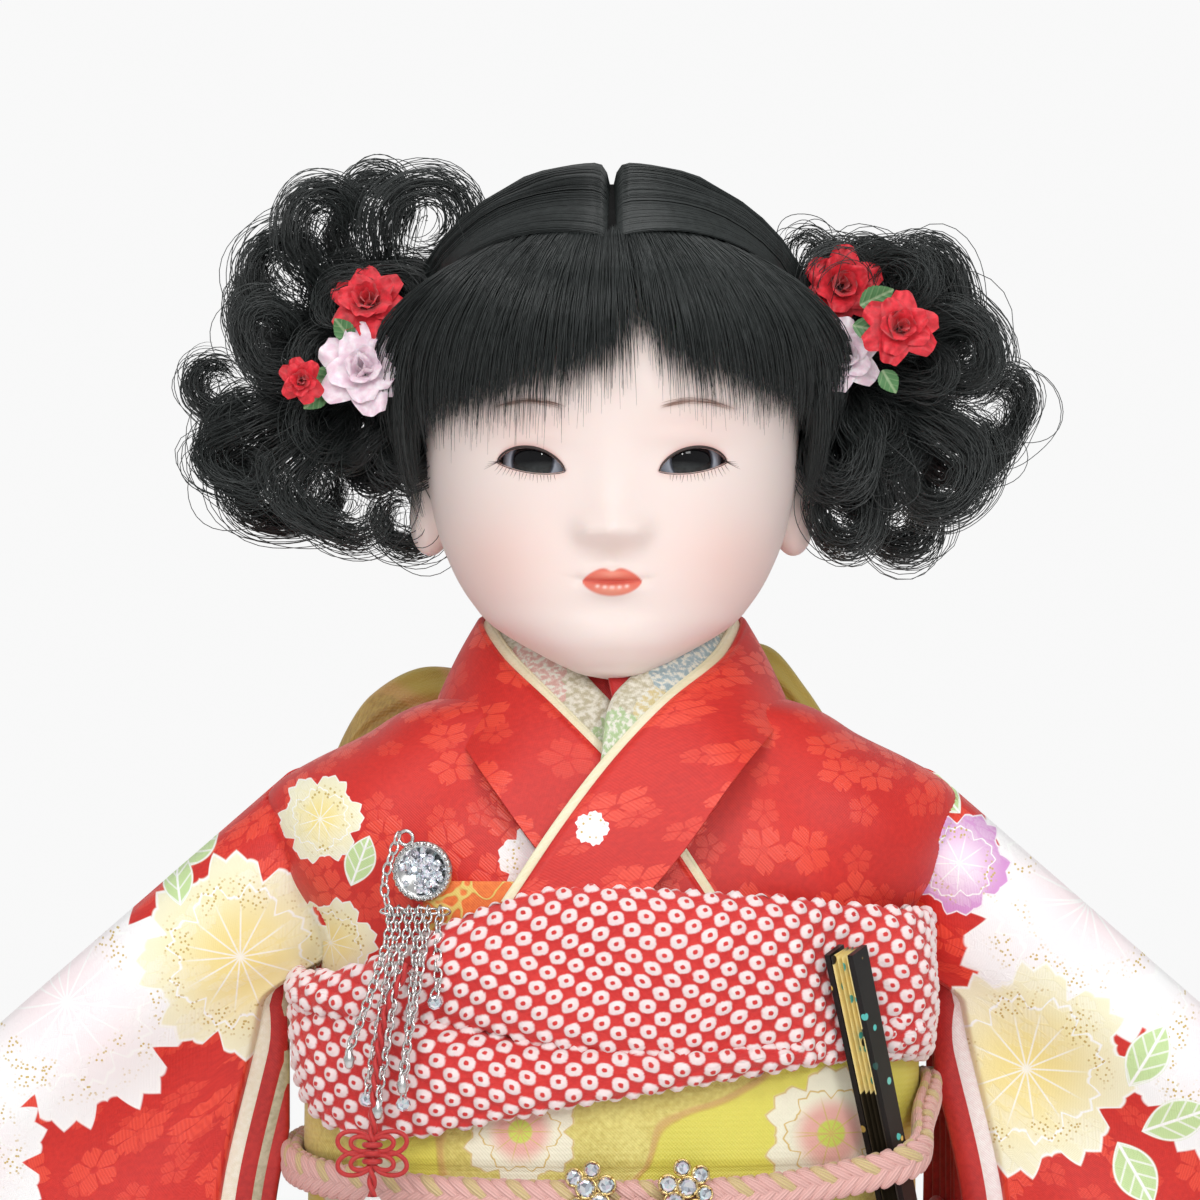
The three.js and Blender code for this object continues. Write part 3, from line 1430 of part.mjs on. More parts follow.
const obiShape = layer([OBI_BOTTOM, OBI_TOP], KIMONO_OUT + GAP, OBI_OUT);
piece("obi_wrap", cut(obiShape, fanRoom), "obi_brocade");
const headRoom = steps(-HEAD_TURN, HEAD_TURN, 4).map((angle) =>
  moved(headSolid(TURN_GAP), new THREE.Matrix4().makeRotationZ(degrees(angle))),
);
const neckRoom = post(0, 0, NECK_BASE - NECK_SEAT, CHIN + HEAD_HEIGHT * 0.2, NECK_RADIUS + TURN_GAP, 16);
const chestTop = bodySolid(chestHeights, KIMONO_OUT + GAP);
const obiageGrown = obiageFull(GAP);

COLLARS.forEach(([name, show, hidden, place, thickness, finish], index) => {
  const band = collar(show, hidden, GAP + place * collarStep, thickness, collarLift);
  const over = COLLARS.slice(index + 1).map(([, otherShow, otherHidden, otherPlace, otherThickness]) =>
    collar(otherShow, otherHidden, GAP + otherPlace * collarStep, otherThickness, collarLift, GAP / 2),
  );
  piece(name, cut(band, chestTop, ...headRoom, neckRoom, casePassage, obiageGrown, ...over), finish);
});

piece("obiage", cut(obiageFull(0), casePassage, fanRoom, ...armRooms), "shibori_silk");

const fanAngle = Math.atan2(-0.42, 0.9);

function braidAt(angle, grow) {
  const behind = 0.5 + 0.5 * Math.sin(angle);
  const fromLeft = angle > Math.PI ? angle - 2 * Math.PI : angle;
  const overFan = 8 * Math.exp(-(((fromLeft - fanAngle) / 0.2) ** 2));
  const slant = BRAID_SLANT * Math.exp(-((fromLeft / 0.65) ** 2));
  return {
    z: OBI_BOTTOM + BRAID_HEIGHT + BRAID_RISE * behind + slant,
    tall: BRAID_RADIUS + grow,
    thick: BRAID_RADIUS + grow,
    grow: OBI_OUT + GAP + overFan - grow,
  };
}

const BRAID_STEPS = 2 * GIRTH_POINTS;
const braid = belt(BRAID_STEPS, (angle) => braidAt(angle, 0), 6);
const braidGrown = belt(BRAID_STEPS, (angle) => braidAt(angle, GAP), 6);

// Brooch threaded on the braid: a plate of set stones in a spray
const broochX = 5;
const broochZ = OBI_BOTTOM + BRAID_HEIGHT;
const broochY = frontAt(broochX, broochZ, OBI_OUT + GAP + 2 * BRAID_RADIUS) - 2;
function stone(across, up, size) {
  return ball(broochX + across, broochY, broochZ + up, size, size * 0.7, size, 6, 3);
}
const spray = steps(-2, 2, 4).flatMap((index) => [
  stone(index * 5.6, 3.2 * Math.cos(index) + 1, BROOCH_STONE),
  stone(index * 5.6, -3 + 0.9 * Math.abs(index), BROOCH_STONE * 0.85),
]);
const broochBack = solid(box(27, 1.6, 5).translate(broochX, broochY + 0.6, broochZ));
const brooch = cut(join(broochBack, ...spray), braidGrown);
piece("obi_brooch", brooch, "crystal_gold");
piece("obi_braid", cut(braid, fanRoom), "braid_silk");

// Shigoki: a soft red under-sash round the lower edge of the obi, hanging in pleats at the left hip

const shigokiBand = { z: OBI_BOTTOM + 7, tall: 7, thick: SHIGOKI_CLOTH, grow: OBI_OUT + GAP };
const shigokiWrap = belt(GIRTH_POINTS, () => shigokiBand, 4);
const shigokiY = 16;
const shigokiTop = OBI_BOTTOM + BRAID_HEIGHT + BRAID_RISE + 18;
const shigokiHeights = steps(shigokiTop, shigokiTop - SHIGOKI_DROP, 4);
const shigokiTail = loft(
  shigokiHeights.map((z, row) => {
    const spread = 9 + row * 1.2;
    const inner = OBI_OUT + GAP + 2 * BRAID_RADIUS + 2;
    const turns = steps(-1, 1, 8);
    const spot = (share, depth) => {
      const y = shigokiY + share * spread;
      const x = sideAt(y, Math.max(z, OBI_BOTTOM), inner) + depth + 1.6 * Math.sin(share * 9);
      return new THREE.Vector3(x, y, z);
    };
    const near = turns.map((share) => spot(share, 0));
    const far = turns.map((share) => spot(share, SHIGOKI_CLOTH * 1.8));
    return [...near, ...far.reverse()];
  }),
);
const knotX = sideAt(shigokiY, OBI_BOTTOM, OBI_OUT + 6);
const shigokiKnot = ball(knotX, shigokiY, OBI_BOTTOM + 7, 4.6, 8, 7.5);
piece("shigoki_sash", cut(join(shigokiWrap, shigokiKnot, shigokiTail), fanRoom), "red_silk");

// Obi knot at the back: drum with its tail, hand band and two pleated wings

const backAt = (z) => bodyPoint(Math.PI / 2, z, OBI_OUT).y;
const drumFront = backAt(OBI_BOTTOM + 30) + 2 * BRAID_RADIUS + 2 * GAP;
const drumBottom = OBI_BOTTOM + 8;
const drumTop = drumBottom + DRUM_HEIGHT;
const drumOutline = (inset) => {
  const corner = 8 - inset;
  const [front, back] = [drumFront + inset, drumFront + DRUM_DEPTH - inset];
  const [low, high] = [drumBottom + inset, drumTop - inset];
  const arc = (y, z, from) =>
    steps(degrees(from), degrees(from + 90), 4).map((turn) => [
      y + corner * Math.cos(turn),
      z + corner * Math.sin(turn),
    ]);
  return [
    ...arc(back - corner, high - corner, 0),
    ...arc(front + corner, high - corner, 90),
    ...arc(front + corner, low + corner, 180),
    ...arc(back - corner, low + corner, 270),
  ];
};
const drum = cut(
  prism(drumOutline(0), SIDE_PLANE, -DRUM_WIDTH / 2, DRUM_WIDTH / 2),
  prism(drumOutline(DRUM_CLOTH), SIDE_PLANE, -DRUM_WIDTH, DRUM_WIDTH),
);
const drumMiddle = drumFront + DRUM_DEPTH / 2;
const tailBoard = box(DRUM_WIDTH * 0.92, DRUM_CLOTH, TAIL_LENGTH);
const tail = tailBoard.translate(0, drumMiddle, drumBottom + DRUM_CLOTH / 2 - TAIL_LENGTH / 2);
piece("obi_drum", join(drum, solid(tail)), "obi_brocade");
const handBand = box(DRUM_WIDTH + 26, DRUM_DEPTH - 2 * DRUM_CLOTH - 2 * GAP, 26);
const handZ = drumBottom + DRUM_CLOTH + GAP + 8 + 13;
piece("obi_hand_band", solid(handBand.translate(0, drumMiddle, handZ)), "obi_brocade");
// A wing spreads from above the drum, out and up, in pleats.
function wing(side) {
  const rows = steps(0, 1, 4);
  return loft(
    rows.map((share) => {
      const x = side * (GAP + 4 + share * WING_SPAN);
      const low = drumTop + GAP + WING_LIFT * share;
      const full = Math.sin(Math.PI * (0.1 + 0.74 * share));
      const tall = WING_ROOT + WING_PUFF * full - WING_LIFT * share;
      const turns = steps(0, 1, 8);
      const pleat = (place) => 2.6 * Math.sin(place * 11) * (0.3 + share);
      const middle = drumFront + 4 - 3 * share;
      const spot = (place, depth) => new THREE.Vector3(x, depth + pleat(place), low + place * tall);
      const near = turns.map((place) => spot(place, middle));
      const far = turns.map((place) => spot(place, middle + WING_CLOTH));
      return [...near, ...far.reverse()];
    }),
  );
}
piece("obi_left_wing", wing(1), "obi_brocade");
piece("obi_right_wing", wing(-1), "obi_brocade");

// The origin goes to the floor under the middle of the doll.
const extent = new THREE.Box3().setFromObject(doll);
const middle = extent.getCenter(new THREE.Vector3());
doll.position.set(-middle.x, -middle.y, -extent.min.z);

export default doll;
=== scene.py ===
"""The looks of an ichimatsu doll in a long-sleeved kimono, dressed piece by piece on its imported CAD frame."""

from functools import partialmethod

import bpy
import numpy as np
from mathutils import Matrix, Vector
from mathutils.bvhtree import BVHTree
from numpy import array, clip, concatenate, cos, exp, linspace, pi, radians, sin, sqrt


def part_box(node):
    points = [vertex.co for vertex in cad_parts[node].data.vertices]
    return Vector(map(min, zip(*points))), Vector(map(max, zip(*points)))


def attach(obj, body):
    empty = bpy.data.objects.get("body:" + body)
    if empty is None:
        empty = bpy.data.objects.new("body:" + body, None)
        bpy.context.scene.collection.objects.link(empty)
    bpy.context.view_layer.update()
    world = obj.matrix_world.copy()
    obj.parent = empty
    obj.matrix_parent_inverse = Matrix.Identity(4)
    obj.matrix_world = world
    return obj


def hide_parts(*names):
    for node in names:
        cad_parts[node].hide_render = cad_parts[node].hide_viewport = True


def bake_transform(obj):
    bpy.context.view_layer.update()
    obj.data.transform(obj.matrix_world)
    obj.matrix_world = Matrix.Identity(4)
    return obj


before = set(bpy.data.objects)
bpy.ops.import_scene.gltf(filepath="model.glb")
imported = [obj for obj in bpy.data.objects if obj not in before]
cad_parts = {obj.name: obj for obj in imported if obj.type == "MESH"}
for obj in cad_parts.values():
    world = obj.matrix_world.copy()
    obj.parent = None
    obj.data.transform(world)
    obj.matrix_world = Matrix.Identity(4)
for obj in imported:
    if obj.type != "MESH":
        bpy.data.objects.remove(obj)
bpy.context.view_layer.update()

# Trunk and neck peg.
# The trunk is moulded from wood paste, tan and unpainted, because the clothes cover all of it.
# The head turns on a plain wooden peg that stands in the trunk's neck socket.

MM = 0.001
peg_low, peg_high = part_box("neck_peg")
MIDDLE_LINE = array([0.0, (peg_low.y + peg_high.y) / 2, 0.0])  # the body's upright middle


def to_frame(points):
    """Points in millimetres about the body's middle line, as metres in the frame."""
    return np.asarray(points, float) * MM + MIDDLE_LINE


def solid_box(node):
    """Lowest corner, highest corner and middle of a solid, in millimetres about the middle line."""
    low, high = ((array(corner, float) - MIDDLE_LINE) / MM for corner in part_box(node))
    return low, high, (low + high) / 2


class Signal:
    """A value in a shader tree; arithmetic with it adds Math nodes to the tree."""

    def __init__(self, wires, socket):
        self.wires = wires
        self.socket = socket

    def math(self, operation, *others):
        return self.wires.outputs("Math", self, *others, operation=operation)[0]

    __add__ = partialmethod(math, "ADD")
    __sub__ = partialmethod(math, "SUBTRACT")
    __mul__ = partialmethod(math, "MULTIPLY")
    __truediv__ = partialmethod(math, "DIVIDE")
    __pow__ = partialmethod(math, "POWER")
    __abs__ = partialmethod(math, "ABSOLUTE")

    def pingpong(self):
        """Runs from 0 up to 1 and back, over and over."""
        return self.math("PINGPONG", 1.0)

    def split(self):
        return self.wires.outputs("SeparateXYZ", self)

    def smooth(self, low, high):
        """0 at low, 1 at high and a soft step between; high may be the smaller."""
        return self.wires.outputs("MapRange", self, low, high, interpolation_type="SMOOTHSTEP")[0]

    def mix(self, first, second):
        """The first colour where the value is 0, the second where it is 1."""
        other_kinds = [None] * 5  # the node's number and vector sockets
        return self.wires.outputs("Mix", self, *other_kinds, first, second, data_type="RGBA")[2]


class Wires:
    """Adds and joins the nodes of one shader tree; an input is a signal or a plain value."""

    def __init__(self, tree):
        self.tree = tree

    def feed(self, value, socket):
        if isinstance(value, Signal):
            self.tree.links.new(value.socket, socket)
        elif value is not None:
            socket.default_value = (*value, 1.0) if socket.type == "RGBA" else value

    def outputs(self, kind, *inputs, **settings):
        """The outputs of a new shader node whose first inputs are fed."""
        made = self.tree.nodes.new("ShaderNode" + kind)
        for key, value in settings.items():
            setattr(made, key, value)
        for socket, value in zip(made.inputs, inputs):
            self.feed(value, socket)
        return [Signal(self, socket) for socket in made.outputs]

    def noise(self, place, scale, detail=2.0):
        return self.outputs("TexNoise", place, None, scale, detail)[0]

    def uv(self, name):
        return self.outputs("UVMap", uv_map=name)[0]

    def own_place(self):
        generated, normal, uv, own, *others = self.outputs("TexCoord")
        return own

    def painted(self):
        """The colour and the brightness laid on the points of the mesh."""
        colour, vector, brightness, alpha = self.outputs("Attribute", attribute_name="paint")
        return colour, brightness

    def bump(self, height, strength, depth):
        """Normals of a raised surface; the depth is in metres."""
        made = self.tree.nodes.new("ShaderNodeBump")
        for label, value in (("Strength", strength), ("Distance", depth), ("Height", height)):
            self.feed(value, made.inputs[label])
        return Signal(self, made.outputs[0])

    def group(self, tree, **inputs):
        """A placed node group's outputs by name."""
        made = self.tree.nodes.new("ShaderNodeGroup")
        made.node_tree = tree
        for label, value in inputs.items():
            self.feed(value, made.inputs[label.capitalize()])
        return {socket.name: Signal(self, socket) for socket in made.outputs}


class Finish(Wires):
    """A material with one Principled shader; plain values go straight to its sockets."""

    def __init__(self, name, **plain):
        self.material = bpy.data.materials.new(name)
        self.material.use_nodes = True
        super().__init__(self.material.node_tree)
        self.show(**plain)

    def show(self, **values):
        """Sets or feeds the shader's sockets and gives back the material."""
        shader = self.tree.nodes["Principled BSDF"]
        for key, value in values.items():
            self.feed(value, shader.inputs[key.replace("_", " ").title().replace("Ior", "IOR")])
        return self.material


def mottled(name, dark, light, scale, detail=2.0, crisp=None, raised=None, rough=None, **plain):
    """A finish that drifts between two shades; its grain may also raise and roughen it."""
    wires = Finish(name, **plain)
    grain = wires.noise(wires.own_place(), scale, detail)
    if raised:
        wires.show(normal=wires.bump(grain, *raised))
    if rough:
        swing, least = rough
        wires.show(roughness=grain * swing + least)
    shade = grain.smooth(*crisp) if crisp else grain
    return wires.show(base_color=shade.mix(dark, light))


def finish_node(node, material, bevel=0.0, segments=2):
    """Gives a solid that stays in view its material, and rounds its edges."""
    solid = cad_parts[node]
    solid.data.materials.clear()
    solid.data.materials.append(material)
    if bevel:
        edge = solid.modifiers.new("rounded edges", "BEVEL")
        edge.width = bevel * MM
        edge.segments = segments


PASTE_SHADES = {
    "trunk": ("moulded paste", (0.62, 0.47, 0.29), (0.5, 0.36, 0.2)),
    "neck_peg": ("turned wood", (0.5, 0.3, 0.14), (0.33, 0.18, 0.07)),
}
for node, shades in PASTE_SHADES.items():
    finish_node(node, mottled(*shades, 260.0, 5.0, raised=(0.3, 0.0004), roughness=0.85))

# Head: one hollow wood-paste moulding with ears and neck.
# It is brushed with many coats of shell white, polished to a satin skin, then painted:
# blush on the cheeks, rose on the lids, orange-red on the small lips.

HEAD_HEIGHT = 99.0
HALF_WIDTH = 38.0
FACE_DEPTH = 43.0
NAPE_DEPTH = 47.0
SQUARENESS = 2.3
CHIN = solid_box("trunk")[1][2] + 6.0
# shares of the height, the half width and the depth of the face and of the nape
HEAD_ROWS = [
    (0, 0, 0.6, -0.55), (0.008, 0.125, 0.7, -0.43), (0.025, 0.245, 0.765, -0.25), (0.055, 0.4, 0.83, -0.06),
    (0.11, 0.635, 0.885, 0.18), (0.16, 0.75, 0.91, 0.38), (0.25, 0.88, 0.93, 0.64),
    (0.36, 0.965, 0.945, 0.85), (0.48, 1, 0.965, 0.96), (0.62, 0.99, 1, 1), (0.75, 0.93, 0.98, 0.97),
    (0.86, 0.78, 0.86, 0.85), (0.94, 0.53, 0.62, 0.62), (0.985, 0.25, 0.32, 0.32), (1, 0, 0, 0),
]


def xyz(x, y, z):
    """Points from across, depth and height, which may be rows, columns or single numbers."""
    return np.stack(np.broadcast_arrays(x, y, z), axis=-1)


def between(rows, place):
    """Smooth values between given rows that start with the place, one array for each other column."""
    rows, place = np.asarray(rows, float), np.asarray(place, float)[..., None]
    slopes = np.gradient(rows[:, 1:], rows[:, 0], axis=0)
    low = clip(np.searchsorted(rows[:, 0], place[..., 0]) - 1, 0, len(rows) - 2)
    start, end = rows[low], rows[low + 1]
    span = end[..., :1] - start[..., :1]
    t = clip((place - start[..., :1]) / span, 0, 1)
    values = (
        start[..., 1:] * (1 + 2 * t) * (1 - t) ** 2
        + end[..., 1:] * t * t * (3 - 2 * t)
        + span * (slopes[low] * t * (1 - t) ** 2 - slopes[low + 1] * t * t * (1 - t))
    )
    return np.moveaxis(values, -1, 0)


def rounded(value, power=2 / SQUARENESS):
    """A sine or cosine bent so that a circle becomes a squared oval."""
    return np.sign(value) * np.abs(value) ** power


def soft_step(value, low, high):
    t = clip((value - low) / (high - low), 0, 1)
    return t * t * (3 - 2 * t)


def bell(value, middle, wide):
    return exp(-(((value - middle) / wide) ** 2))


def hump(x, z, middle_x, middle_z, wide, tall):
    return exp(-(((x - middle_x) / wide) ** 2) - ((z - middle_z) / tall) ** 2)


def skull(share, turn, grow=0.0):
    """Points of the plain head; turn is the angle round it, with the face at -90 degrees."""
    wide, face, nape = between(HEAD_ROWS, share)
    front, back = -face * FACE_DEPTH, nape * NAPE_DEPTH
    x = rounded(cos(turn)) * (wide * HALF_WIDTH + grow)
    y = (front + back) / 2 + rounded(sin(turn)) * ((back - front) / 2 + grow)
    return xyz(x, y, CHIN + share * HEAD_HEIGHT + grow * (2 * share - 1))


# height, place aside and above the chin, half width and half height of each swelling or hollow
SWELLINGS = [
    (1.5, 5.3, 29.6, 2.5, 2.8),  # nostrils
    (-0.4, 0, 24.0, 1.2, 1.7),  # groove under the nose
    (1.7, 0, 21.2, 4.8, 1.5),  # lips
    (2.0, 0, 18.2, 4.2, 1.6),
    (-0.4, 6.8, 19.9, 1.3, 1.3),  # corners of the mouth
    (1.7, 0, 8.5, 9.0, 5.0),  # chin and the hollow over it
    (-0.8, 0, 13.8, 7.0, 2.2),
    (1.6, 20.0, 22.0, 10.0, 11.0),  # cheeks
    (-1.3, 16.0, 45.5, 9.0, 6.0),  # eye sockets
    (0.9, 16.0, 48.4, 7.5, 2.0),  # lids
]


def features(x, z):
    """How far the face stands out of the plain head, in millimetres."""
    up, aside = z - CHIN, np.abs(x)
    bridge = clip((57.0 - up) / 28.0, 0, 1)
    nose = 4.2 * bridge**2 * exp(-((x / (4.2 + 1.8 * bridge**2)) ** 2))
    tip = 1.7 * hump(x, up, 0, 30.6, 4.2, 3.6)
    nose = (nose + tip) * soft_step(up - 0.05 * x * x, 22.0, 30.5)
    lip_line = -1.0 * hump(x, up - 0.012 * x * x, 0, 19.6, 5.2, 0.5)
    return nose + lip_line + sum(height * hump(aside, up, *form) for height, *form in SWELLINGS)


EYE_INNER = array([9.3, 41.4])  # corners of the eye: across, above the chin
EYE_OUTER = array([22.8, 43.3])
LID_RISE = 3.8
LID_FALL = 1.2


def lid_curve(share, upper):
    """Across and height of a lid's edge, from the inner corner to the outer one."""
    bow = clip(4 * share * (1 - share), 0, 1)
    line = EYE_INNER + share[..., None] * (EYE_OUTER - EYE_INNER)
    rise = LID_RISE * bow**0.62 if upper else -LID_FALL * bow**0.8
    return line[..., 0], CHIN + line[..., 1] + rise


def inside_eye(x, z):
    """Distance inside the eye opening, upwards and downwards, negative outside."""
    share = (np.abs(x) - EYE_INNER[0]) / (EYE_OUTER[0] - EYE_INNER[0])
    held = clip(share, 0, 1)
    depth = np.minimum(lid_curve(held, True)[1] - z, z - lid_curve(held, False)[1])
    return np.where((share > 0) & (share < 1), depth, np.minimum(depth, -0.2))


def grid_faces(rows, columns, closed=True):
    """Quads over a grid of points; a closed grid joins its last column to its first."""
    last = columns if closed else columns - 1
    row, column = np.meshgrid(np.arange(rows - 1) * columns, np.arange(last), indexing="ij")
    after = (column + 1) % columns
    corners = [row + column, row + after, row + columns + after, row + columns + column]
    return np.stack(corners, axis=-1).reshape(-1, 4)


def quads(grid, closed=True):
    """A grid of points together with its faces."""
    return grid, grid_faces(*grid.shape[:2], closed)


def together(*parts):
    """Several meshes as one list of points and one of quads."""
    points, faces, start = [], [], 0
    for part_points, part_faces in parts:
        points.append(np.reshape(part_points, (-1, 3)))
        faces.append(np.asarray(part_faces) + start)
        start += len(points[-1])
    return concatenate(points), concatenate(faces)


def lay_paint(mesh, colours):
    """Keeps a colour for each point of a mesh."""
    layer = mesh.attributes.new("paint", "FLOAT_COLOR", "POINT")
    layer.data.foreach_set("color", np.column_stack([colours, np.ones(len(colours))]).ravel())


def dress(piece, body, slot, *nodes):
    """Hangs a piece on its body and hides the solids that it stands for; the finish (slot) is not used."""
    if body:
        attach(piece, body)
    if nodes:
        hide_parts(*nodes)
    return piece


def add_mesh(name, shape, material, smooth=True):
    """A mesh object in the frame from points in millimetres and faces."""
    points, faces = shape
    mesh = bpy.data.meshes.new(name)
    mesh.from_pydata(to_frame(np.reshape(points, (-1, 3))), [], faces)
    mesh.polygons.foreach_set("use_smooth", np.full(len(mesh.polygons), smooth))
    mesh.materials.append(material)
    mesh.update()
    made = bpy.data.objects.new(name, mesh)
    bpy.context.scene.collection.objects.link(made)
    return made


def add_piece(name, shape, material, body, slot, *nodes, uv=None, paint=None, smooth=True):
    """A dressed mesh; maps and paint are per point."""
    piece = add_mesh(name, shape, material, smooth)
    corner = np.zeros(len(piece.data.loops), int)
    piece.data.loops.foreach_get("vertex_index", corner)
    for label, values in (uv or {}).items():
        layer = piece.data.uv_layers.new(name=label)
        layer.data.foreach_set("uv", np.reshape(values, (-1, 2))[corner].ravel())
    if paint is not None:
        lay_paint(piece.data, paint)
    return dress(piece, body, slot, *nodes)


def turned(profile, middle, sides=48):
    """A turned shape about an upright line: rows of reach and height."""
    reach, height = np.asarray(profile, float).T[..., None]
    turn = linspace(0, 2 * pi, sides, endpoint=False)
    return quads(xyz(middle[0] + reach * cos(turn), middle[1] + reach * sin(turn), height))


SKIN = array([0.83, 0.71, 0.668])
BLUSH = array([0.82, 0.5, 0.44])
LID_ROSE = array([0.72, 0.36, 0.32])
LIP_RED = array([0.72, 0.1, 0.05])
LIP_HIGHLIGHT = array([0.86, 0.36, 0.25])
LIP_DARK = array([0.5, 0.03, 0.02])
LIP_GLINT = array([0.95, 0.84, 0.78])
UNDER_NOSE_SHADOW = array([0.74, 0.6, 0.53])
BROW = array([0.3, 0.15, 0.11])
EYE_HOLE_SHADOW = array([0.03, 0.02, 0.025])
BROW_HEIGHT = 53.9
BROW_ARCH = 1.5
LIP_HEIGHT = 19.7


def face_paint(points):
    """The painted colours of the face, point by point, with painted shadow and painted highlights among them.
    """
    x, y, z = points.T
    up, aside = z - CHIN, np.abs(x)
    front = soft_step(-y, 5.0, 20.0)
    colour = np.tile(SKIN, (len(points), 1))

    def tint(shade, share):
        weight = clip(share * front, 0, 1)[:, None]
        colour[:] = colour * (1 - weight) + shade * weight

    tint(BLUSH, 0.5 * hump(aside, up, 23.0, 23.0, 12.0, 11.0))
    tint(BLUSH, 0.25 * hump(aside, up, 16.5, 50.0, 10.0, 4.5))
    lid_gap = -inside_eye(x, z)
    above = soft_step(up, 42.0, 44.5)
    near = bell(np.maximum(lid_gap, 0), 0, 0.9) * (lid_gap < 6)
    inner_span = soft_step(aside, 8.0, 10.0) * (1 - soft_step(aside, 22.0, 24.0))
    tint(LID_ROSE, near * inner_span * (0.3 + 0.45 * above))
    brow_line = BROW_HEIGHT + BROW_ARCH * sin(pi * clip((aside - 8.7) / 16.0, 0, 1))
    brow_ends = soft_step(aside, 8.5, 12.5) * (1 - soft_step(aside, 20.0, 26.0))
    tint(BROW, 0.65 * bell(up, brow_line, 0.65) * brow_ends)
    # painted shadow under the nose and its wings
    tint(UNDER_NOSE_SHADOW, 0.35 * hump(x, up - 0.05 * x * x, 0, 26.0, 7.0, 2.2))
    # painted shadow: the walls of the cut eye openings are darkened almost to black
    tint(EYE_HOLE_SHADOW, soft_step(-lid_gap, 0.1, 0.45))
    bow = clip(1 - (x / 5.9) ** 2, 0, 1)
    lip_top = LIP_HEIGHT + 2.9 * bow**0.75 - 0.9 * bell(x, 0, 1.1)
    lip_bottom = LIP_HEIGHT - 2.9 * bow**0.6
    lips = soft_step(lip_top - up, -0.25, 0.35) * soft_step(up - lip_bottom, -0.25, 0.35) * (bow > 0)
    tint(LIP_RED, 0.92 * lips)
    # painted highlights: lighter over the swell of the lower lip and of the upper lip
    tint(LIP_HIGHLIGHT, 0.75 * lips * hump(x, up, 0, 17.7, 3.8, 1.0))
    tint(LIP_HIGHLIGHT, 0.5 * lips * hump(x, up, 0, 21.2, 2.6, 0.8))
    tint(LIP_DARK, 0.6 * lips * bell(up - 0.012 * x * x, 19.6, 0.3))
    # five small painted highlights along the lower lip
    for glint in range(-2, 3):
        tint(LIP_GLINT, 0.75 * hump(x, up, 1.45 * glint, 18.5 + 0.06 * glint**2, 0.38, 0.34))
    return colour


SKIN_DEPTH = {"subsurface_weight": 0.12, "subsurface_scale": 0.002}


def gofun_material():
    wires = Finish("polished shell white", specular_ior_level=0.3, **SKIN_DEPTH)
    place = wires.own_place()
    cloud = wires.noise(place, 90.0, 3.0).smooth(0.35, 0.75)
    polish = wires.noise(place, 420.0, 4.0)
    return wires.show(
        base_color=(cloud * 0.06).mix(wires.painted()[0], (0.83, 0.62, 0.56)),
        roughness=polish * 0.12 + 0.44,
        normal=wires.bump(polish, 0.05, 0.0003),
    )


gofun = gofun_material()
FACE_COLUMNS = 330
EYE_HOLE = 5.0
# rows lie closest between the mouth and the brows, columns in front
face_share = concatenate([linspace(0, 0.12, 26), linspace(0.12, 0.56, 196)[1:], linspace(0.56, 1, 66)[1:]])
even_turn = linspace(0, 2 * pi, FACE_COLUMNS, endpoint=False)
face_turn = even_turn - 0.58 * cos(even_turn)
head_grid = skull(face_share[:, None], face_turn)
facing = soft_step(-sin(face_turn), 0.15, 0.5)
head_grid[..., 1] -= features(head_grid[..., 0], head_grid[..., 2]) * facing


def ray_tree(shape):
    points, faces = shape
    return BVHTree.FromPolygons(points.reshape(-1, 3).tolist(), faces.tolist())


face_tree = ray_tree(quads(head_grid))
opening = soft_step(inside_eye(head_grid[..., 0], head_grid[..., 2]), 0.0, 0.5) * (facing > 0.5)
head_grid[..., 1] += EYE_HOLE * opening * (head_grid[..., 1] < 0)


def ear(side):
    """A rounded ear with a hollow, lying back against the head."""
    around = linspace(0, 2 * pi, 40, endpoint=False)
    down = linspace(0, pi, 24)[:, None]
    x = HALF_WIDTH - 1.0 + 5.0 * sin(down) * cos(around)
    y = 5.0 + 6.2 * sin(down) * sin(around)
    z = CHIN + 34.6 + (9.6 - 0.12 * (y - 5.0)) * cos(down)
    dish = 2.4 * hump(y, z, 3.4, CHIN + 35.5, 3.0, 5.0)
    return quads(xyz(side * (x - dish * (cos(around) > 0)), y, z))


neck_low = solid_box("head_shell")[0][2]
neck_rows = [(0, neck_low), (11, neck_low), (12, neck_low + 1)]
neck_rows += [(12, CHIN), (12.5, CHIN + 14), (13, CHIN + 26)]
head_shape = together(quads(head_grid), ear(1), ear(-1), turned(neck_rows, (0, 0)))
paint = face_paint(head_shape[0])
add_piece("painted_head", head_shape, gofun, "head", "gofun_skin", "head_shell", paint=paint)

# Eyes: glass half-balls set into the head before the white is brushed on.
# The lids are cut open afterwards, and their edges, lashes and brows are fine painted hairs.

IRIS_X = 15.75
IRIS_UP = 43.6


def eye_material():
    """A black iris whose lower half is lighter, a painted reflection, in a dark ring on a blue-grey white;
    places are in metres.
    """
    wires = Finish("eye glass", roughness=0.05, specular_ior_level=0.25)
    place = wires.own_place()
    x, _, z = place.split()
    upward = z - (CHIN + IRIS_UP) * MM
    far = ((abs(x) - IRIS_X * MM) ** 2 + upward**2).math("SQRT")
    white = wires.noise(place, 300.0).mix((0.4, 0.48, 0.58), (0.54, 0.61, 0.69))
    # painted reflection: below its middle the iris turns lighter, streaked by noise
    rays = upward.smooth(0.0, -0.003) * wires.noise(place, 900.0, 4.0)
    iris = rays.mix((0.004, 0.004, 0.005), (0.11, 0.13, 0.13))
    rimmed = far.smooth(0.0046, 0.0041).mix(white, (0.05, 0.06, 0.08))
    return wires.show(base_color=far.smooth(0.0041, 0.0038).mix(rimmed, iris))


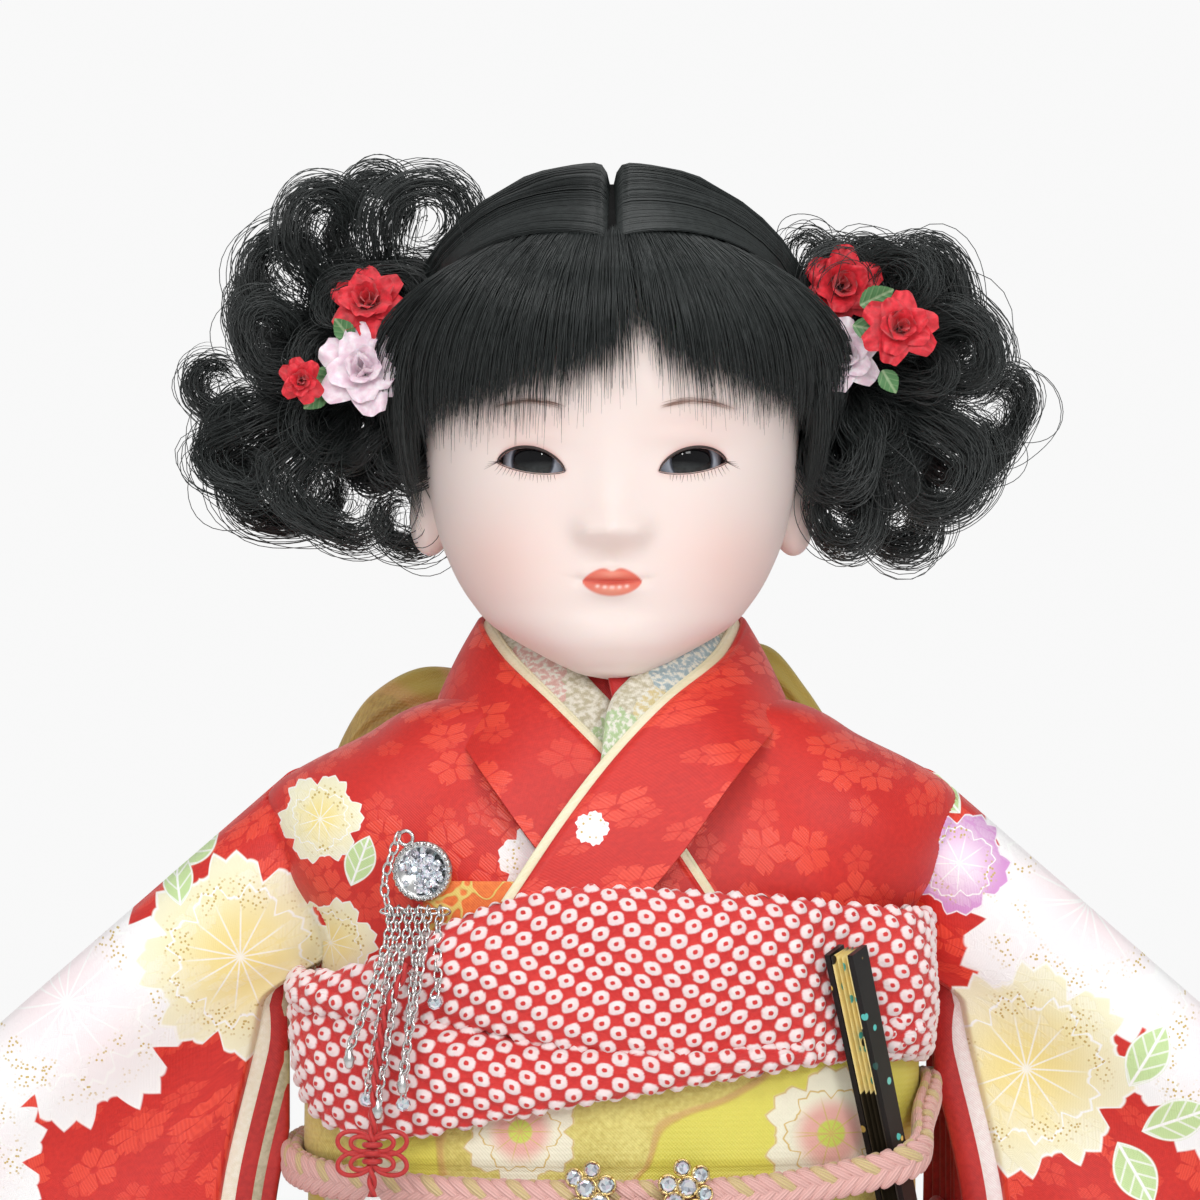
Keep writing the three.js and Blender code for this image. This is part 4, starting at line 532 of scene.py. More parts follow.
def eyeball(node):
    low, high, middle = solid_box(node)
    middle = middle + array([-2.6 * np.sign(middle[0]), 0.9, 0.0])  # square to the curve of the face
    around = linspace(0, 2 * pi, 72, endpoint=False)
    down = linspace(0, pi, 48)[:, None]
    radius = (high[2] - low[2]) / 2 * (1 + 0.035 * bell(down, 0, 0.5))  # the clear bulge over the iris
    reach = radius * sin(down)
    return quads(middle + xyz(reach * cos(around), -radius * cos(down), reach * sin(around)))


eye_glass = eye_material()
for node in ("left_eye", "right_eye"):
    add_piece(f"{node}_glass", eyeball(node), eye_glass, "head", "dark_glass", node)


def unit(vectors, spare=0.0):
    """Vectors of length one; a little spare keeps those of no length from failing."""
    return vectors / (np.linalg.norm(vectors, axis=-1, keepdims=True) + spare)


TINY = 1e-9
LEAN = array([0.31, 0.87, 0.38])  # along no path


def tubes(paths, radius, sides=3):
    """Thin tubes along one path or many of as many points each; the radius may run along the path."""
    paths = np.reshape(paths, (-1, *np.shape(paths)[-2:]))
    count, steps, _ = paths.shape
    along = unit(np.gradient(paths, axis=1), TINY)
    aside = unit(np.cross(along, LEAN), TINY)
    other = np.cross(along, aside)
    turn = 2 * pi * np.arange(sides)[:, None] / sides
    thick = np.broadcast_to(radius, (count, steps))[:, :, None, None]
    spoke = aside[:, :, None] * cos(turn) + other[:, :, None] * sin(turn)
    faces = grid_faces(steps, sides) + (np.arange(count) * steps * sides)[:, None, None]
    return (paths[:, :, None] + spoke * thick).reshape(-1, 3), faces.reshape(-1, 4)


def on_face(x, z, lift):
    """Points on the painted face seen from the front, raised by lift."""
    spots = []
    for across, height in zip(x, z):
        hit = face_tree.ray_cast(Vector((across, -200.0, height)), Vector((0, 1, 0)))[0]
        spots.append((across, hit.y - lift, height))
    return array(spots)


LASHES = 17
BROW_HAIRS = 46
rng = np.random.default_rng(11)
lid_share = linspace(0.0, 1.0, 40)
lash_parts, brow_parts = [], []
for side in (1, -1):
    across, height = lid_curve(lid_share, True)
    weight = 0.12 + 0.2 * sin(pi * lid_share) ** 0.7
    lash_parts.append(tubes(on_face(side * across, height + 0.1, 0.05), weight, 6))
    across, height = lid_curve(lid_share, False)
    lash_parts.append(tubes(on_face(side * across, height - 0.05, 0.0), 0.07, 5))
    t = linspace(0, 1, 5)
    for place in linspace(0.16, 0.97, LASHES):
        across, height = lid_curve(array([place]), False)
        reach = (1.0 + 0.9 * place) * (0.8 + 0.4 * rng.random())
        lean = (place - 0.35) * 0.9 + 0.15 * rng.normal()
        z = height - 0.25 - t * reach + 0.35 * t * t * reach * max(lean, 0)
        lash_parts.append(tubes(on_face(side * (across + t * reach * lean), z, 0.03), 0.06 * (1 - 0.8 * t)))
    t = linspace(0, 1, 6)
    for number in range(4):
        x = side * (EYE_OUTER[0] - 0.4 + t * (2.2 + 0.3 * number))
        z = CHIN + EYE_OUTER[1] + 0.25 - t * (0.3 + 0.5 * number) + 0.25 * t * t
        lash_parts.append(tubes(on_face(x, z, 0.03), 0.07 * (1 - 0.8 * t)))
for side in (1, -1):
    for _ in range(BROW_HAIRS):
        start = rng.random() * 0.8
        t = linspace(start, start + 0.2, 6)
        z = CHIN + BROW_HEIGHT + BROW_ARCH * sin(pi * t) + 0.4 * rng.normal() * (1 - 0.5 * t)
        fade = sin(pi * linspace(0.1, 0.9, 6))
        brow_parts.append(tubes(on_face(side * (9.0 + 15.5 * t), z, 0.02), 0.035 * fade))
lash_line = mottled("painted lash", (0.02, 0.012, 0.01), (0.05, 0.03, 0.025), 500.0, roughness=0.5)
brow_line = mottled("painted brow", (0.2, 0.1, 0.07), (0.36, 0.2, 0.15), 400.0, roughness=0.55)
add_piece("painted_lashes", together(*lash_parts), lash_line, "head", "black_hair")
add_piece("painted_brows", together(*brow_parts), brow_line, "head", "black_hair")

# Hair: black silk hair glued to the head in combed layers.
# Each half runs from the middle parting over the head to its tie; a cut fringe hangs in front.

SIDES = ((1, "left"), (-1, "right"))
SCALP_MIDDLE = array([0.0, 2.0, CHIN + 52.0])
TIE = array([43.4, 6.0, CHIN + 65.3])
scalp_share = linspace(0, 1, 90)[:, None]
scalp_turn = linspace(0, 2 * pi, 120, endpoint=False)
scalp_tree = ray_tree(quads(skull(scalp_share, scalp_turn)))
HAIR_SHADES = ((0.01, 0.012, 0.0118), (0.042, 0.049, 0.048))
HAIR_GLOSS = {"specular_ior_level": 0.42, "coat_weight": 0.12, "coat_roughness": 0.3}
silk_hair = mottled("black silk hair", *HAIR_SHADES, 700.0, 3.0, rough=(0.2, 0.26), **HAIR_GLOSS)


def mirrored(points, side):
    """Points of the left side, or with side -1 the same points on the right."""
    return points * array([side, 1, 1])


def on_scalp(origins, directions, lift):
    """Where lines from inside the skull leave it, raised by lift along each line."""
    spots = np.empty(directions.shape)
    flat = spots.reshape(-1, 3)
    starts = np.broadcast_to(origins, directions.shape).reshape(-1, 3)
    for index, (start, way) in enumerate(zip(starts, directions.reshape(-1, 3))):
        flat[index] = scalp_tree.ray_cast(Vector(start), Vector(way))[0]
    return spots + directions * lift[..., None]


HAIR_RADIUS = 0.1
COMBED = 2350
FOREMOST = 350  # of these, the hairs along the front of the parting


def combed_half(side):
    """Hair from the parting to the tie on one side."""
    place = concatenate([rng.random(COMBED - FOREMOST), 0.05 * rng.random(FOREMOST)])
    lean = radians(42 + place * 173)
    start = unit(xyz(0.006 * side, -cos(lean), sin(lean)))
    end = unit(mirrored(TIE - SCALP_MIDDLE, side))
    t = linspace(0, 1, 18) ** 2.1
    angle = np.arccos(clip(start @ end, -1, 1))[:, None]
    first = (sin((1 - t) * angle) / sin(angle))[..., None] * start[:, None]
    ways = unit(first + (sin(t * angle) / sin(angle))[..., None] * end)
    depth = rng.random((COMBED, 1)) ** 0.6
    lock = 0.25 * sin(place * 90)[:, None]
    front = 0.45 + 0.55 * soft_step(place, 0.0, 0.14)[:, None]  # the foremost hair lies close over the fringe
    lift = (0.4 + 5.9 * front * (1 - exp(-t / 0.012))) * (0.72 + 0.28 * depth) + lock * sin(pi * t)
    paths = on_scalp(SCALP_MIDDLE, ways, lift)
    gather = soft_step(t, 0.72, 1.0)[None, :, None]
    swing = lean - radians(80)
    ring = 6.2 * sqrt(rng.random(COMBED))
    knot = xyz(TIE[0] + 1.5, TIE[1] - ring * cos(swing), TIE[2] + ring * sin(swing))
    return paths * (1 - gather) + mirrored(knot, side)[:, None] * gather


for side, name in SIDES:
    strands = tubes(combed_half(side), HAIR_RADIUS)
    add_piece(f"{name}_combed_hair", strands, silk_hair, "head", "black_hair", f"{name}_hair")


def hair_cap():
    """The dark ground under the combed hair, from the fringe's root to the nape."""
    points, faces = quads(skull(scalp_share, scalp_turn, 1.4))
    x, y, z = points.reshape(-1, 3)[faces].mean(axis=1).T
    up = z - CHIN
    front = (y < -6) & (up > 78.0 - 12.0 * (x / HALF_WIDTH) ** 2)
    sides = (y >= -6) & (y < 14) & (up > 44)
    behind = (y >= 14) & (up > 26)
    return points, faces[front | sides | behind]


# near black and darker than the hair: the ground under the hair, and painted shadow where it shows between the
# hairs
GROUND_AND_SHADOW_COLOURS = ((0.004, 0.004, 0.004), (0.012, 0.012, 0.012))
hair_ground = mottled("glued hair ground", *GROUND_AND_SHADOW_COLOURS, 500.0, 3.0, roughness=0.9, specular_ior_level=0.1)
add_piece("hair_ground", hair_cap(), hair_ground, "head", "black_hair")

FRINGE = 5200
THIN_PLACE = 4.8  # where the brow shows through, to the left of the middle
# distance from the thin place, height of the cut edge above the chin
FRINGE_EDGE = [(0, 70.0), (3, 66.5), (7, 63.0), (14, 60.5), (20, 58.5), (28, 55.5), (34, 53.5), (44, 52.0)]


def fringe_paths():
    """The cut fringe: it fans out from under the combed halves, thin over the middle of the brow."""
    spread = np.degrees(rng.uniform(-1.52, 1.52, FRINGE))
    across = HALF_WIDTH * sin(radians(spread))
    kept = rng.random(FRINGE) > 0.5 * bell(across, THIN_PLACE, 4.0)
    spread, across = spread[kept], across[kept]
    count = len(spread)
    aside = np.abs(spread)
    root_turn = radians(0.6 * spread)
    root = CHIN + 89.5 - 9.5 * sin(root_turn) ** 2 + rng.uniform(-1.5, 1.5, count)
    edge = CHIN + between(FRINGE_EDGE, np.abs(across - THIN_PLACE))[0] + 1.8 * rng.normal(size=count)
    wisp = (rng.random(count) < 0.22) * (2.0 + 8.0 * rng.random(count)) * (1 - 0.5 * soft_step(aside, 20, 60))
    sideburn = bell(aside, 75, 4.5)
    edge = edge - wisp - sideburn * (19.0 - 9.0 * rng.random(count) ** 2)
    clump = 2.8 * np.round(spread / 2.8 + 0.3 * rng.normal(size=count))
    stray = 2.2 * rng.normal(size=count)
    tip_turn = radians(spread + 0.4 * (clump - spread) + stray + sideburn * (75 - aside))
    t = linspace(0, 1, 12)
    swing = root_turn[:, None] + (tip_turn - root_turn)[:, None] * t**0.9
    height = root[:, None] + (edge - root)[:, None] * t**1.08
    body = rng.random((count, 1))
    puff = (2.0 + 3.4 * sin(pi * clip(t * 0.9 + 0.08, 0, 1)) ** 0.8) * (0.45 + 0.55 * body)
    temple = soft_step(aside, 42, 84)[:, None] * (1 - 0.55 * sideburn[:, None])
    puff = puff + 7.5 * temple * sin(pi * t * 0.82) * (0.55 + 0.45 * body)
    return on_scalp(xyz(0.0, SCALP_MIDDLE[1], height), xyz(sin(swing), -cos(swing), 0.0), puff)


fringe_taper = HAIR_RADIUS * concatenate([np.full(7, 0.9), linspace(0.85, 0.2, 5)])
add_piece("cut_fringe", tubes(fringe_paths(), fringe_taper), silk_hair, "head", "black_hair", "fringe")

# Side bunches: curled hair that springs from a red tie at each side of the head.
# Each lock was steamed round a stick, so it runs out from the tie and winds into a loose loop;
# light shows through the loops, and single hairs stand off.

CURL_POINTS = 34
STRAIGHT = 0.36  # share of a lock before it winds
SHORT_LOCKS = 18
STRAYS = 40
# across and above the tie, radius and number of hairs of each loop
LOOPS = {
    "left": [
        (-4.5, 22, 5.5, 45), (9, 16, 8, 150), (18, 13, 10, 200), (23, 7, 10, 190), (25, 1, 8, 150),
        (33, -10, 8, 170), (27, -16, 8, 170), (20, -23, 9.5, 180), (11, -28, 9, 180), (1, -30, 7, 150),
        (6, -22, 9, 170),
    ],
    "right": [
        (-8, 28, 9, 120), (3, 29, 9, 150), (12, 27, 8.5, 150), (20, 18.5, 9, 160), (26, 12, 7, 120),
        (23, 5, 8, 150), (34, -5, 7.5, 140), (29, -13, 8, 150), (30, -21, 7, 120), (20, -25, 10, 190),
        (9, -28, 10, 190), (-3, -32, 6.5, 120),
    ],
}


def curl(side, across, up, radius, hairs, depth):
    """One lock that runs from the tie to a loop and winds round it."""

    def scatter():
        return rng.normal(size=(hairs, 1))

    size = radius * (1 + 0.25 * scatter())
    middle_x = across + 1.2 * scatter()
    middle_z = up + 1.2 * scatter()
    far = np.hypot(middle_x, middle_z)
    way = rng.choice([-1, 1])
    lean = np.arctan2(middle_z, middle_x) - way * np.arcsin(clip(size / far, 0.05, 0.95))
    run = sqrt(np.maximum(far**2 - size**2, 1.0))
    t = linspace(0, 1, CURL_POINTS)
    out = clip(t / STRAIGHT, 0, 1)
    wound = clip((t - STRAIGHT) / (1 - STRAIGHT), 0, 1)
    angle = lean - way * pi / 2 + way * wound * (rng.uniform(2.8, 5.0) + 0.5 * scatter())
    bow = 1.6 * scatter() * sin(pi * out)
    oval = 1 + rng.uniform(-0.05, 0.3) * cos(2 * (angle - rng.uniform(0, pi))) * soft_step(wound, 0, 0.2)
    close = size * (1 - 0.35 * wound) * oval
    x = np.where(wound > 0, middle_x + close * cos(angle), run * out * cos(lean) - bow * sin(lean))
    z = np.where(wound > 0, middle_z + close * sin(angle), run * out * sin(lean) + bow * cos(lean))
    wave = sin(t * rng.uniform(14, 22, (hairs, 1)) + 6.3 * rng.random((hairs, 1)))
    wave = 0.3 * wave * soft_step(t, 0.05, 0.3)
    slant = rng.uniform(-0.6, 0.6) * (x - across) * soft_step(t, 0.1, 0.45)
    loose = scatter() * (0.5 + 1.8 * sin(pi * t) ** 0.7)
    y = TIE[1] + depth * soft_step(t, 0, 0.4) + slant + loose + 3.0 * way * wound
    return xyz(side * (TIE[0] + 2.0 + x + wave), y, TIE[2] - 1.0 + z - wave)


def bunch(side, loops):
    """The outer loops, shorter locks that fill the middle, and stray hairs."""
    locks = [curl(side, *loop, 11 * sin(2.4 * number + side)) for number, loop in enumerate(loops)]
    for number in range(SHORT_LOCKS):
        heading = radians(112 - 14 * number + 6 * rng.normal())
        far = rng.uniform(12, 21)
        spot = far * cos(heading), far * sin(heading)
        locks.append(curl(side, *spot, rng.uniform(5.0, 7.5), 110, 12 * cos(1.9 * number)))
    for _ in range(STRAYS):
        across, up, radius, _ = loops[rng.integers(len(loops))]
        spread, size = rng.uniform(0.9, 1.1), radius * rng.uniform(0.7, 1.3)
        locks.append(curl(side, across * spread, up * spread, size, 1, 9 * rng.normal()))
    return concatenate(locks)


curl_taper = HAIR_RADIUS * concatenate([np.ones(CURL_POINTS - 6), linspace(0.95, 0.35, 6)])
for side, name in SIDES:
    for number, strands in enumerate(np.array_split(bunch(side, LOOPS[name]), 3)):
        shape = tubes(strands, curl_taper)
        add_piece(f"{name}_curls_{number + 1}", shape, silk_hair, "head", "black_hair", f"{name}_bunch")

# Hair ornaments: ribbon roses and leaves on wire pins, and a red crepe cord round each bunch.
# Petals are cut from stiffened ribbon, curled over a hot iron and gathered on the pin.


class Effect(Wires):
    """A shader node group that takes a place and numbers and gives numbers."""

    def __init__(self, name, **numbers):
        super().__init__(bpy.data.node_groups.new(name, "ShaderNodeTree"))
        self.add_socket("place", "INPUT", "NodeSocketVector")
        for label, value in numbers.items():
            self.add_socket(label, "INPUT").default_value = value
        *given, spare = self.tree.nodes.new("NodeGroupInput").outputs
        self.place, *self.numbers = (Signal(self, socket) for socket in given)

    def add_socket(self, label, way, kind="NodeSocketFloat"):
        return self.tree.interface.new_socket(label.capitalize(), in_out=way, socket_type=kind)

    def result(self, **values):
        """Makes the outputs and gives back the group."""
        for label in values:
            self.add_socket(label, "OUTPUT")
        end = self.tree.nodes.new("NodeGroupOutput")
        for label, value in values.items():
            self.feed(value, end.inputs[label.capitalize()])
        return self.tree


def weave_group():
    """Crossing threads and slubs of a woven cloth; place is in metres along the cloth."""
    wires = Effect("woven threads", thread=0.0006)
    across, along, _ = wires.place.split()
    warp, weft = ((axis * (2 * pi) / wires.numbers[0]).math("SINE") for axis in (across, along))
    slub = wires.noise(wires.place, 900.0, 4.0)
    cloud = wires.noise(wires.place, 45.0, 3.0)
    return wires.result(height=warp * weft * 0.4 + slub, shade=(slub * 0.5 + cloud * 0.5).smooth(0.32, 0.68))


weave_tree = weave_group()


def cloth_material(name, dark, light, rough=0.55, sheen=0.15):
    """Plain woven silk between two shades; its threads run along the cloth map."""
    wires = Finish(name, roughness=rough, sheen_weight=sheen, sheen_roughness=0.4)
    weave = wires.group(weave_tree, place=wires.uv("cloth"))
    normal = wires.bump(weave["Height"], 0.3, 0.0003)
    return wires.show(base_color=weave["Shade"].mix(dark, light), normal=normal)


def run_along(points, axis=0):
    """Distance run along rows or columns of points, from the first one."""
    steps = np.diff(points, axis=axis, prepend=np.take(points, [0], axis))
    return np.cumsum(np.linalg.norm(steps, axis=-1), axis=axis)


def thicken(piece, thick, offset=0.0):
    """Gives a sheet its thickness, on both sides or with offset -1 on one."""
    layer = piece.modifiers.new("sheet thickness", "SOLIDIFY")
    layer.thickness = thick * MM
    layer.offset = offset


def cloth_piece(name, points, material, body, slot, *nodes, thick=0.0, uv=None):
    """A dressed piece of cloth from a grid of points, with maps along the cloth and for the print."""
    across = run_along(points, 1)
    across = across - across[:, [points.shape[1] // 2]]
    maps = {"cloth": np.stack([across, run_along(points)], axis=-1) * MM, "print": points[..., [0, 2]] * MM}
    piece = add_piece(name, quads(points, False), material, body, slot, *nodes, uv=maps | (uv or {}))
    if thick:
        thicken(piece, thick)
    return piece


def swung(x, y, turn):
    """A pair of directions turned from the first towards the second."""
    return x * cos(turn) - y * sin(turn), x * sin(turn) + y * cos(turn)


def petal_grid(root, reach, wide, lean, cup, ruffle, turn):
    """One ribbon petal about the upright axis of its flower."""
    u, v = np.meshgrid(linspace(-1, 1, 11), linspace(0, 1, 10))
    half = wide * sin(pi * (0.16 + 0.7 * v)) ** 0.7
    out = root + reach * (sin(lean) * v + 0.3 * v**3 * sin(lean)) - cup * u * u * half
    up = reach * (cos(lean) * v - 0.25 * v**3 * sin(lean)) + ruffle * sin(4 * u + turn * 3) * v**2
    return xyz(*swung(u * half, out, turn), up)


# number of petals, root, reach, width, lean in degrees, cup
ROSE_RINGS = [
    (6, 0.22, 0.82, 0.5, 72, 0.2), (5, 0.18, 0.74, 0.46, 48, 0.3),
    (4, 0.12, 0.66, 0.4, 24, 0.5), (3, 0.06, 0.6, 0.28, 6, 0.7),
]


def rose_parts(size):
    """Rings of petals, the inner ones steeper, on a wire pin."""
    parts = []
    for ring, (count, root, reach, wide, lean, cup) in enumerate(ROSE_RINGS):
        for number in range(count):
            turn = 2 * pi * (number + 0.37 * ring) / count + 0.12 * rng.normal()
            tilt = radians(lean + 6 * rng.normal())
            grid = petal_grid(root * size, reach * size, wide * size, tilt, cup, 0.09 * size, turn)
            parts.append(quads(grid, False))
    pin = array([(0, 0, 0), (0.2, 0.1, -3), (0, 0, -6)], float)
    return together(*parts, tubes(pin, 0.35, 8))


def aimed(points, facing):
    """Turns a shape that stands up so that its top looks along a way."""
    turn = Vector((0, 0, 1)).rotation_difference(Vector(facing)).to_matrix()
    return np.reshape(points, (-1, 3)) @ array(turn).T


RIBBON_FEEL = {"crisp": (0.3, 0.7), "raised": (0.35, 0.0004), "roughness": 0.5, "sheen_weight": 0.3}
RIBBON_FEEL |= {"subsurface_weight": 0.08, "subsurface_scale": 0.001}
red_ribbon = mottled("red ribbon", (0.5, 0.006, 0.016), (0.82, 0.02, 0.04), 620.0, 4.0, **RIBBON_FEEL)
pink_ribbon = mottled("pale pink ribbon", (0.82, 0.6, 0.7), (0.93, 0.85, 0.89), 620.0, 4.0, **RIBBON_FEEL)
FLOWERS = [
    ("left_rose_upper", 7.0, red_ribbon, "rose_red"),
    ("left_rose_outer", 6.4, red_ribbon, "rose_red"),
    ("left_rose_pale", 6.6, pink_ribbon, "rose_pink"),
    ("right_rose_upper", 6.6, red_ribbon, "rose_red"),
    ("right_rose_pale", 8.2, pink_ribbon, "rose_pink"),
    ("right_rose_outer", 4.0, red_ribbon, "rose_red"),
]
for node, size, ribbon, slot in FLOWERS:
    low, _, middle = solid_box(node)
    spot = array([middle[0], low[1] + 3.4, middle[2] + 2.5])
    points, faces = rose_parts(size)
    facing = unit(array([0.12 * np.sign(spot[0]), -1.0, 0.1 + 0.2 * rng.normal()]))
    add_piece(f"{node}_ribbon", (aimed(points, facing) + spot, faces), ribbon, "head", slot, node)


def leaf_material():
    wires = Finish("green ribbon leaf", roughness=0.48)
    across, along, _ = wires.uv("cloth").split()
    rib = abs(across).smooth(0.0004, 0.0001)
    side_ribs = ((along - abs(across)) * 4200.0).math("SINE")
    tone = wires.noise(wires.own_place(), 300.0).mix((0.05, 0.16, 0.05), (0.13, 0.3, 0.12))
    veined = (side_ribs.smooth(0.6, 1.0) * 0.35).mix(tone, (0.3, 0.45, 0.22))
    normal = wires.bump(side_ribs, 0.2, 0.0003)
    return wires.show(base_color=(rib * 0.6).mix(veined, (0.4, 0.52, 0.3)), normal=normal)


def leaf_grid(length, wide, bend):
    """A saw-edged leaf that lies along +Y, folded a little along its rib."""
    u, v = np.meshgrid(linspace(-1, 1, 13), linspace(0, 1, 34))
    saw = 1 + 0.1 * ((v * 9) % 1.0)
    half = wide * sin(pi * v**0.8) ** 0.85 * saw
    return xyz(u * half, v * length, bend * v * v + 0.3 * np.abs(u) * half)


# way round from straight up in degrees, length, half width, root across and above the tie
LEAVES = {
    "left": [(-65, 7.5, 2.4, 6.5, 10), (-102, 9.5, 2.5, 5, 6), (-150, 5.5, 2.0, 11, -3)],
    "right": [(118, 9.5, 2.7, 12, -3.5), (38, 5.5, 2.0, 9, 3), (130, 6.0, 2.0, 14, -7)],
}
LEAF_BEND = 2.0
green_leaf = leaf_material()
for side, name in SIDES:
    deep = solid_box(f"{name}_leaves")[0][1] + 2.5
    parts, maps = [], []
    for way, length, wide, across, up in LEAVES[name]:
        grid = leaf_grid(length, wide, LEAF_BEND)
        x, z = swung(grid[..., 0], grid[..., 1], radians(way))
        root = array([side * (TIE[0] + across), deep, TIE[2] + up])
        parts.append(quads(xyz(x, -grid[..., 2], z) + root, False))
        maps.append(grid[..., :2] * MM)
    shape, node = together(*parts), f"{name}_leaves"
    add_piece(f"{name}_ribbon_leaves", shape, green_leaf, "head", "leaf_green", node, uv={"cloth": maps})

tie_crepe = cloth_material("red crepe cord", (0.42, 0.012, 0.014), (0.62, 0.03, 0.03))
TIE_REACH = 8.0
TIE_RADIUS = 1.7
around = linspace(0, 2 * pi, 90)[:, None]
across = linspace(0, 2 * pi, 19)
twist = TIE_RADIUS * (1 + 0.08 * sin(22 * around + across))
reach = TIE_REACH + twist * cos(across)
for side, name in SIDES:
    turns = []
    for offset in (-1.2, 1.2):
        x = side * (TIE[0] + offset + twist * sin(across))
        turns.append(xyz(x, TIE[1] + reach * cos(around), TIE[2] + reach * sin(around)))
    cloth_piece(f"{name}_tie_cord", concatenate(turns), tie_crepe, "head", "red_silk", f"{name}_hair_tie")

# Under-robe: white cotton cloth wadded to give the doll its figure, wrapped straight on the trunk.
# Only its edges are ever seen.

BODY_WIDE = 48.5
BODY_DEEP = 28.0
OBI_LOW, OBI_HIGH = (corner[2] for corner in solid_box("obi_wrap")[:2])
NECK_BASE = CHIN - 6.0
# height, then shares of half width and of the depth in front and behind
BODY_ROWS = [
    (0, 0.86, 1.07, 1.2), (0.35 * OBI_LOW, 0.9, 1.05, 1.15), (0.7 * OBI_LOW, 0.93, 1.04, 1.1),
    (OBI_LOW, 1, 1.02, 1.03), (OBI_HIGH, 1, 1, 1), (NECK_BASE - 32, 1.02, 0.96, 0.97),
    (NECK_BASE - 20, 1.03, 0.88, 0.9), (NECK_BASE - 13.6, 0.94, 0.79, 0.82),
    (NECK_BASE - 7.4, 0.74, 0.69, 0.72), (NECK_BASE, 0.45, 0.56, 0.6),
]
ROBE_OUT = 6.3  # how far each layer stands off the trunk
KIMONO_OUT = 8.9
OBI_OUT = 13.6
SKIRT_LOW = 8.6


def body_point(turn, z, grow):
    """A point round the body at a height; turn is zero at the doll's left and -90 degrees in front."""
    sides, front, back = between(BODY_ROWS, z)
    depth = np.where(sin(turn) < 0, front, back)
    x = rounded(cos(turn)) * (sides * BODY_WIDE + grow)
    return xyz(x, rounded(sin(turn)) * (depth * BODY_DEEP + grow), z)


def round_off(share):
    """Height of a squared oval at a share of its half width."""
    return (1 - share**SQUARENESS) ** (1 / SQUARENESS)


def front_at(x, z, grow):
    """Depth of the body's front at a place across it."""
    sides, front, _ = between(BODY_ROWS, z)
    share = np.minimum(0.98, np.abs(x) / (sides * BODY_WIDE + grow))
    return -(front * BODY_DEEP + grow) * round_off(share)


def hem_lift(turn, z):
    """Rise of the hem over the toes, fading away up the skirt."""
    aside = np.abs(np.angle(exp(1j * (turn + pi / 2))))
    return 21.5 * (1 - soft_step(aside, radians(28), radians(80))) * (1 - soft_step(z, SKIRT_LOW, 150.0))


whole_turn = linspace(0, 2 * pi, 241) + pi / 2  # starts and ends at the middle of the back
white_cotton = cloth_material("wadded white cotton", (0.78, 0.76, 0.7), (0.88, 0.86, 0.82), 0.8)
robe_heights = linspace(SKIRT_LOW + 1, NECK_BASE, 80)[:, None]
robe = body_point(whole_turn, robe_heights, ROBE_OUT - 0.4)
robe[..., 2] += hem_lift(whole_turn, robe_heights)
ROBE_DRESS = (white_cotton, "dressed_body", "white_cotton", "under_robe")
cloth_piece("wadded_under_robe", robe, *ROBE_DRESS, thick=4.0)

# Kimono: red figured silk with a woven cherry-blossom ground and large printed flowers.
# Skirt, overlapping front, wadded hem, waist fold and chest are sewn from straight widths.


def cells(wires, place, scale, scatter=1.0, dimensions="2D"):
    """Distance from the middle of the nearest scattered cell, its colour and its middle."""
    fractal = [None] * 5  # sockets that stay as they are
    found = wires.outputs("TexVoronoi", place, None, scale, *fractal, scatter, voronoi_dimensions=dimensions)
    return found[:3]


def damask_group():
    """Cherry flowers woven into the ground: filled petals with a twill shine."""
    wires = Effect("woven cherry flowers")
    figures = []
    for pitch, radius, shift in ((0.0125, 0.0056, 0.0), (0.0105, 0.0036, 0.0371)):
        moved = wires.outputs("VectorMath", wires.place, (shift, shift * 0.7, 0), operation="ADD")[0]
        _, colour, middle = cells(wires, moved, 1 / pitch, 0.75)
        local = wires.outputs("VectorMath", moved, middle, operation="SUBTRACT")[0]
        x, y, _ = local.split()
        reach = wires.outputs("VectorMath", local, operation="LENGTH")[1] / radius
        swing, chance, _ = wires.outputs("SeparateColor", colour)
        petal = ((swing * (2 * pi) + y.math("ARCTAN2", x)) * (5 / pi)).pingpong()
        edge = petal * 0.35 + 0.68 - petal.smooth(0.84, 1.0) * 0.24
        drawn = (edge - reach).smooth(0.0, 0.06) * petal.smooth(0.06, 0.2) * reach.smooth(0.1, 0.2)
        figures.append(drawn * chance.smooth(0.2, 0.25))
    large, small = figures
    across, along, _ = wires.place.split()
    twill = ((across + along) * (2 * pi / 0.0008)).math("SINE") * 0.2 + 0.8
    return wires.result(figure=large.math("MAXIMUM", small * 0.6) * twill)


def about(wires, across, up, size):
    """The place across and above a print's middle, in shares of its size."""
    x, y, _ = wires.place.split()
    return (x - across) / size, (y - up) / size


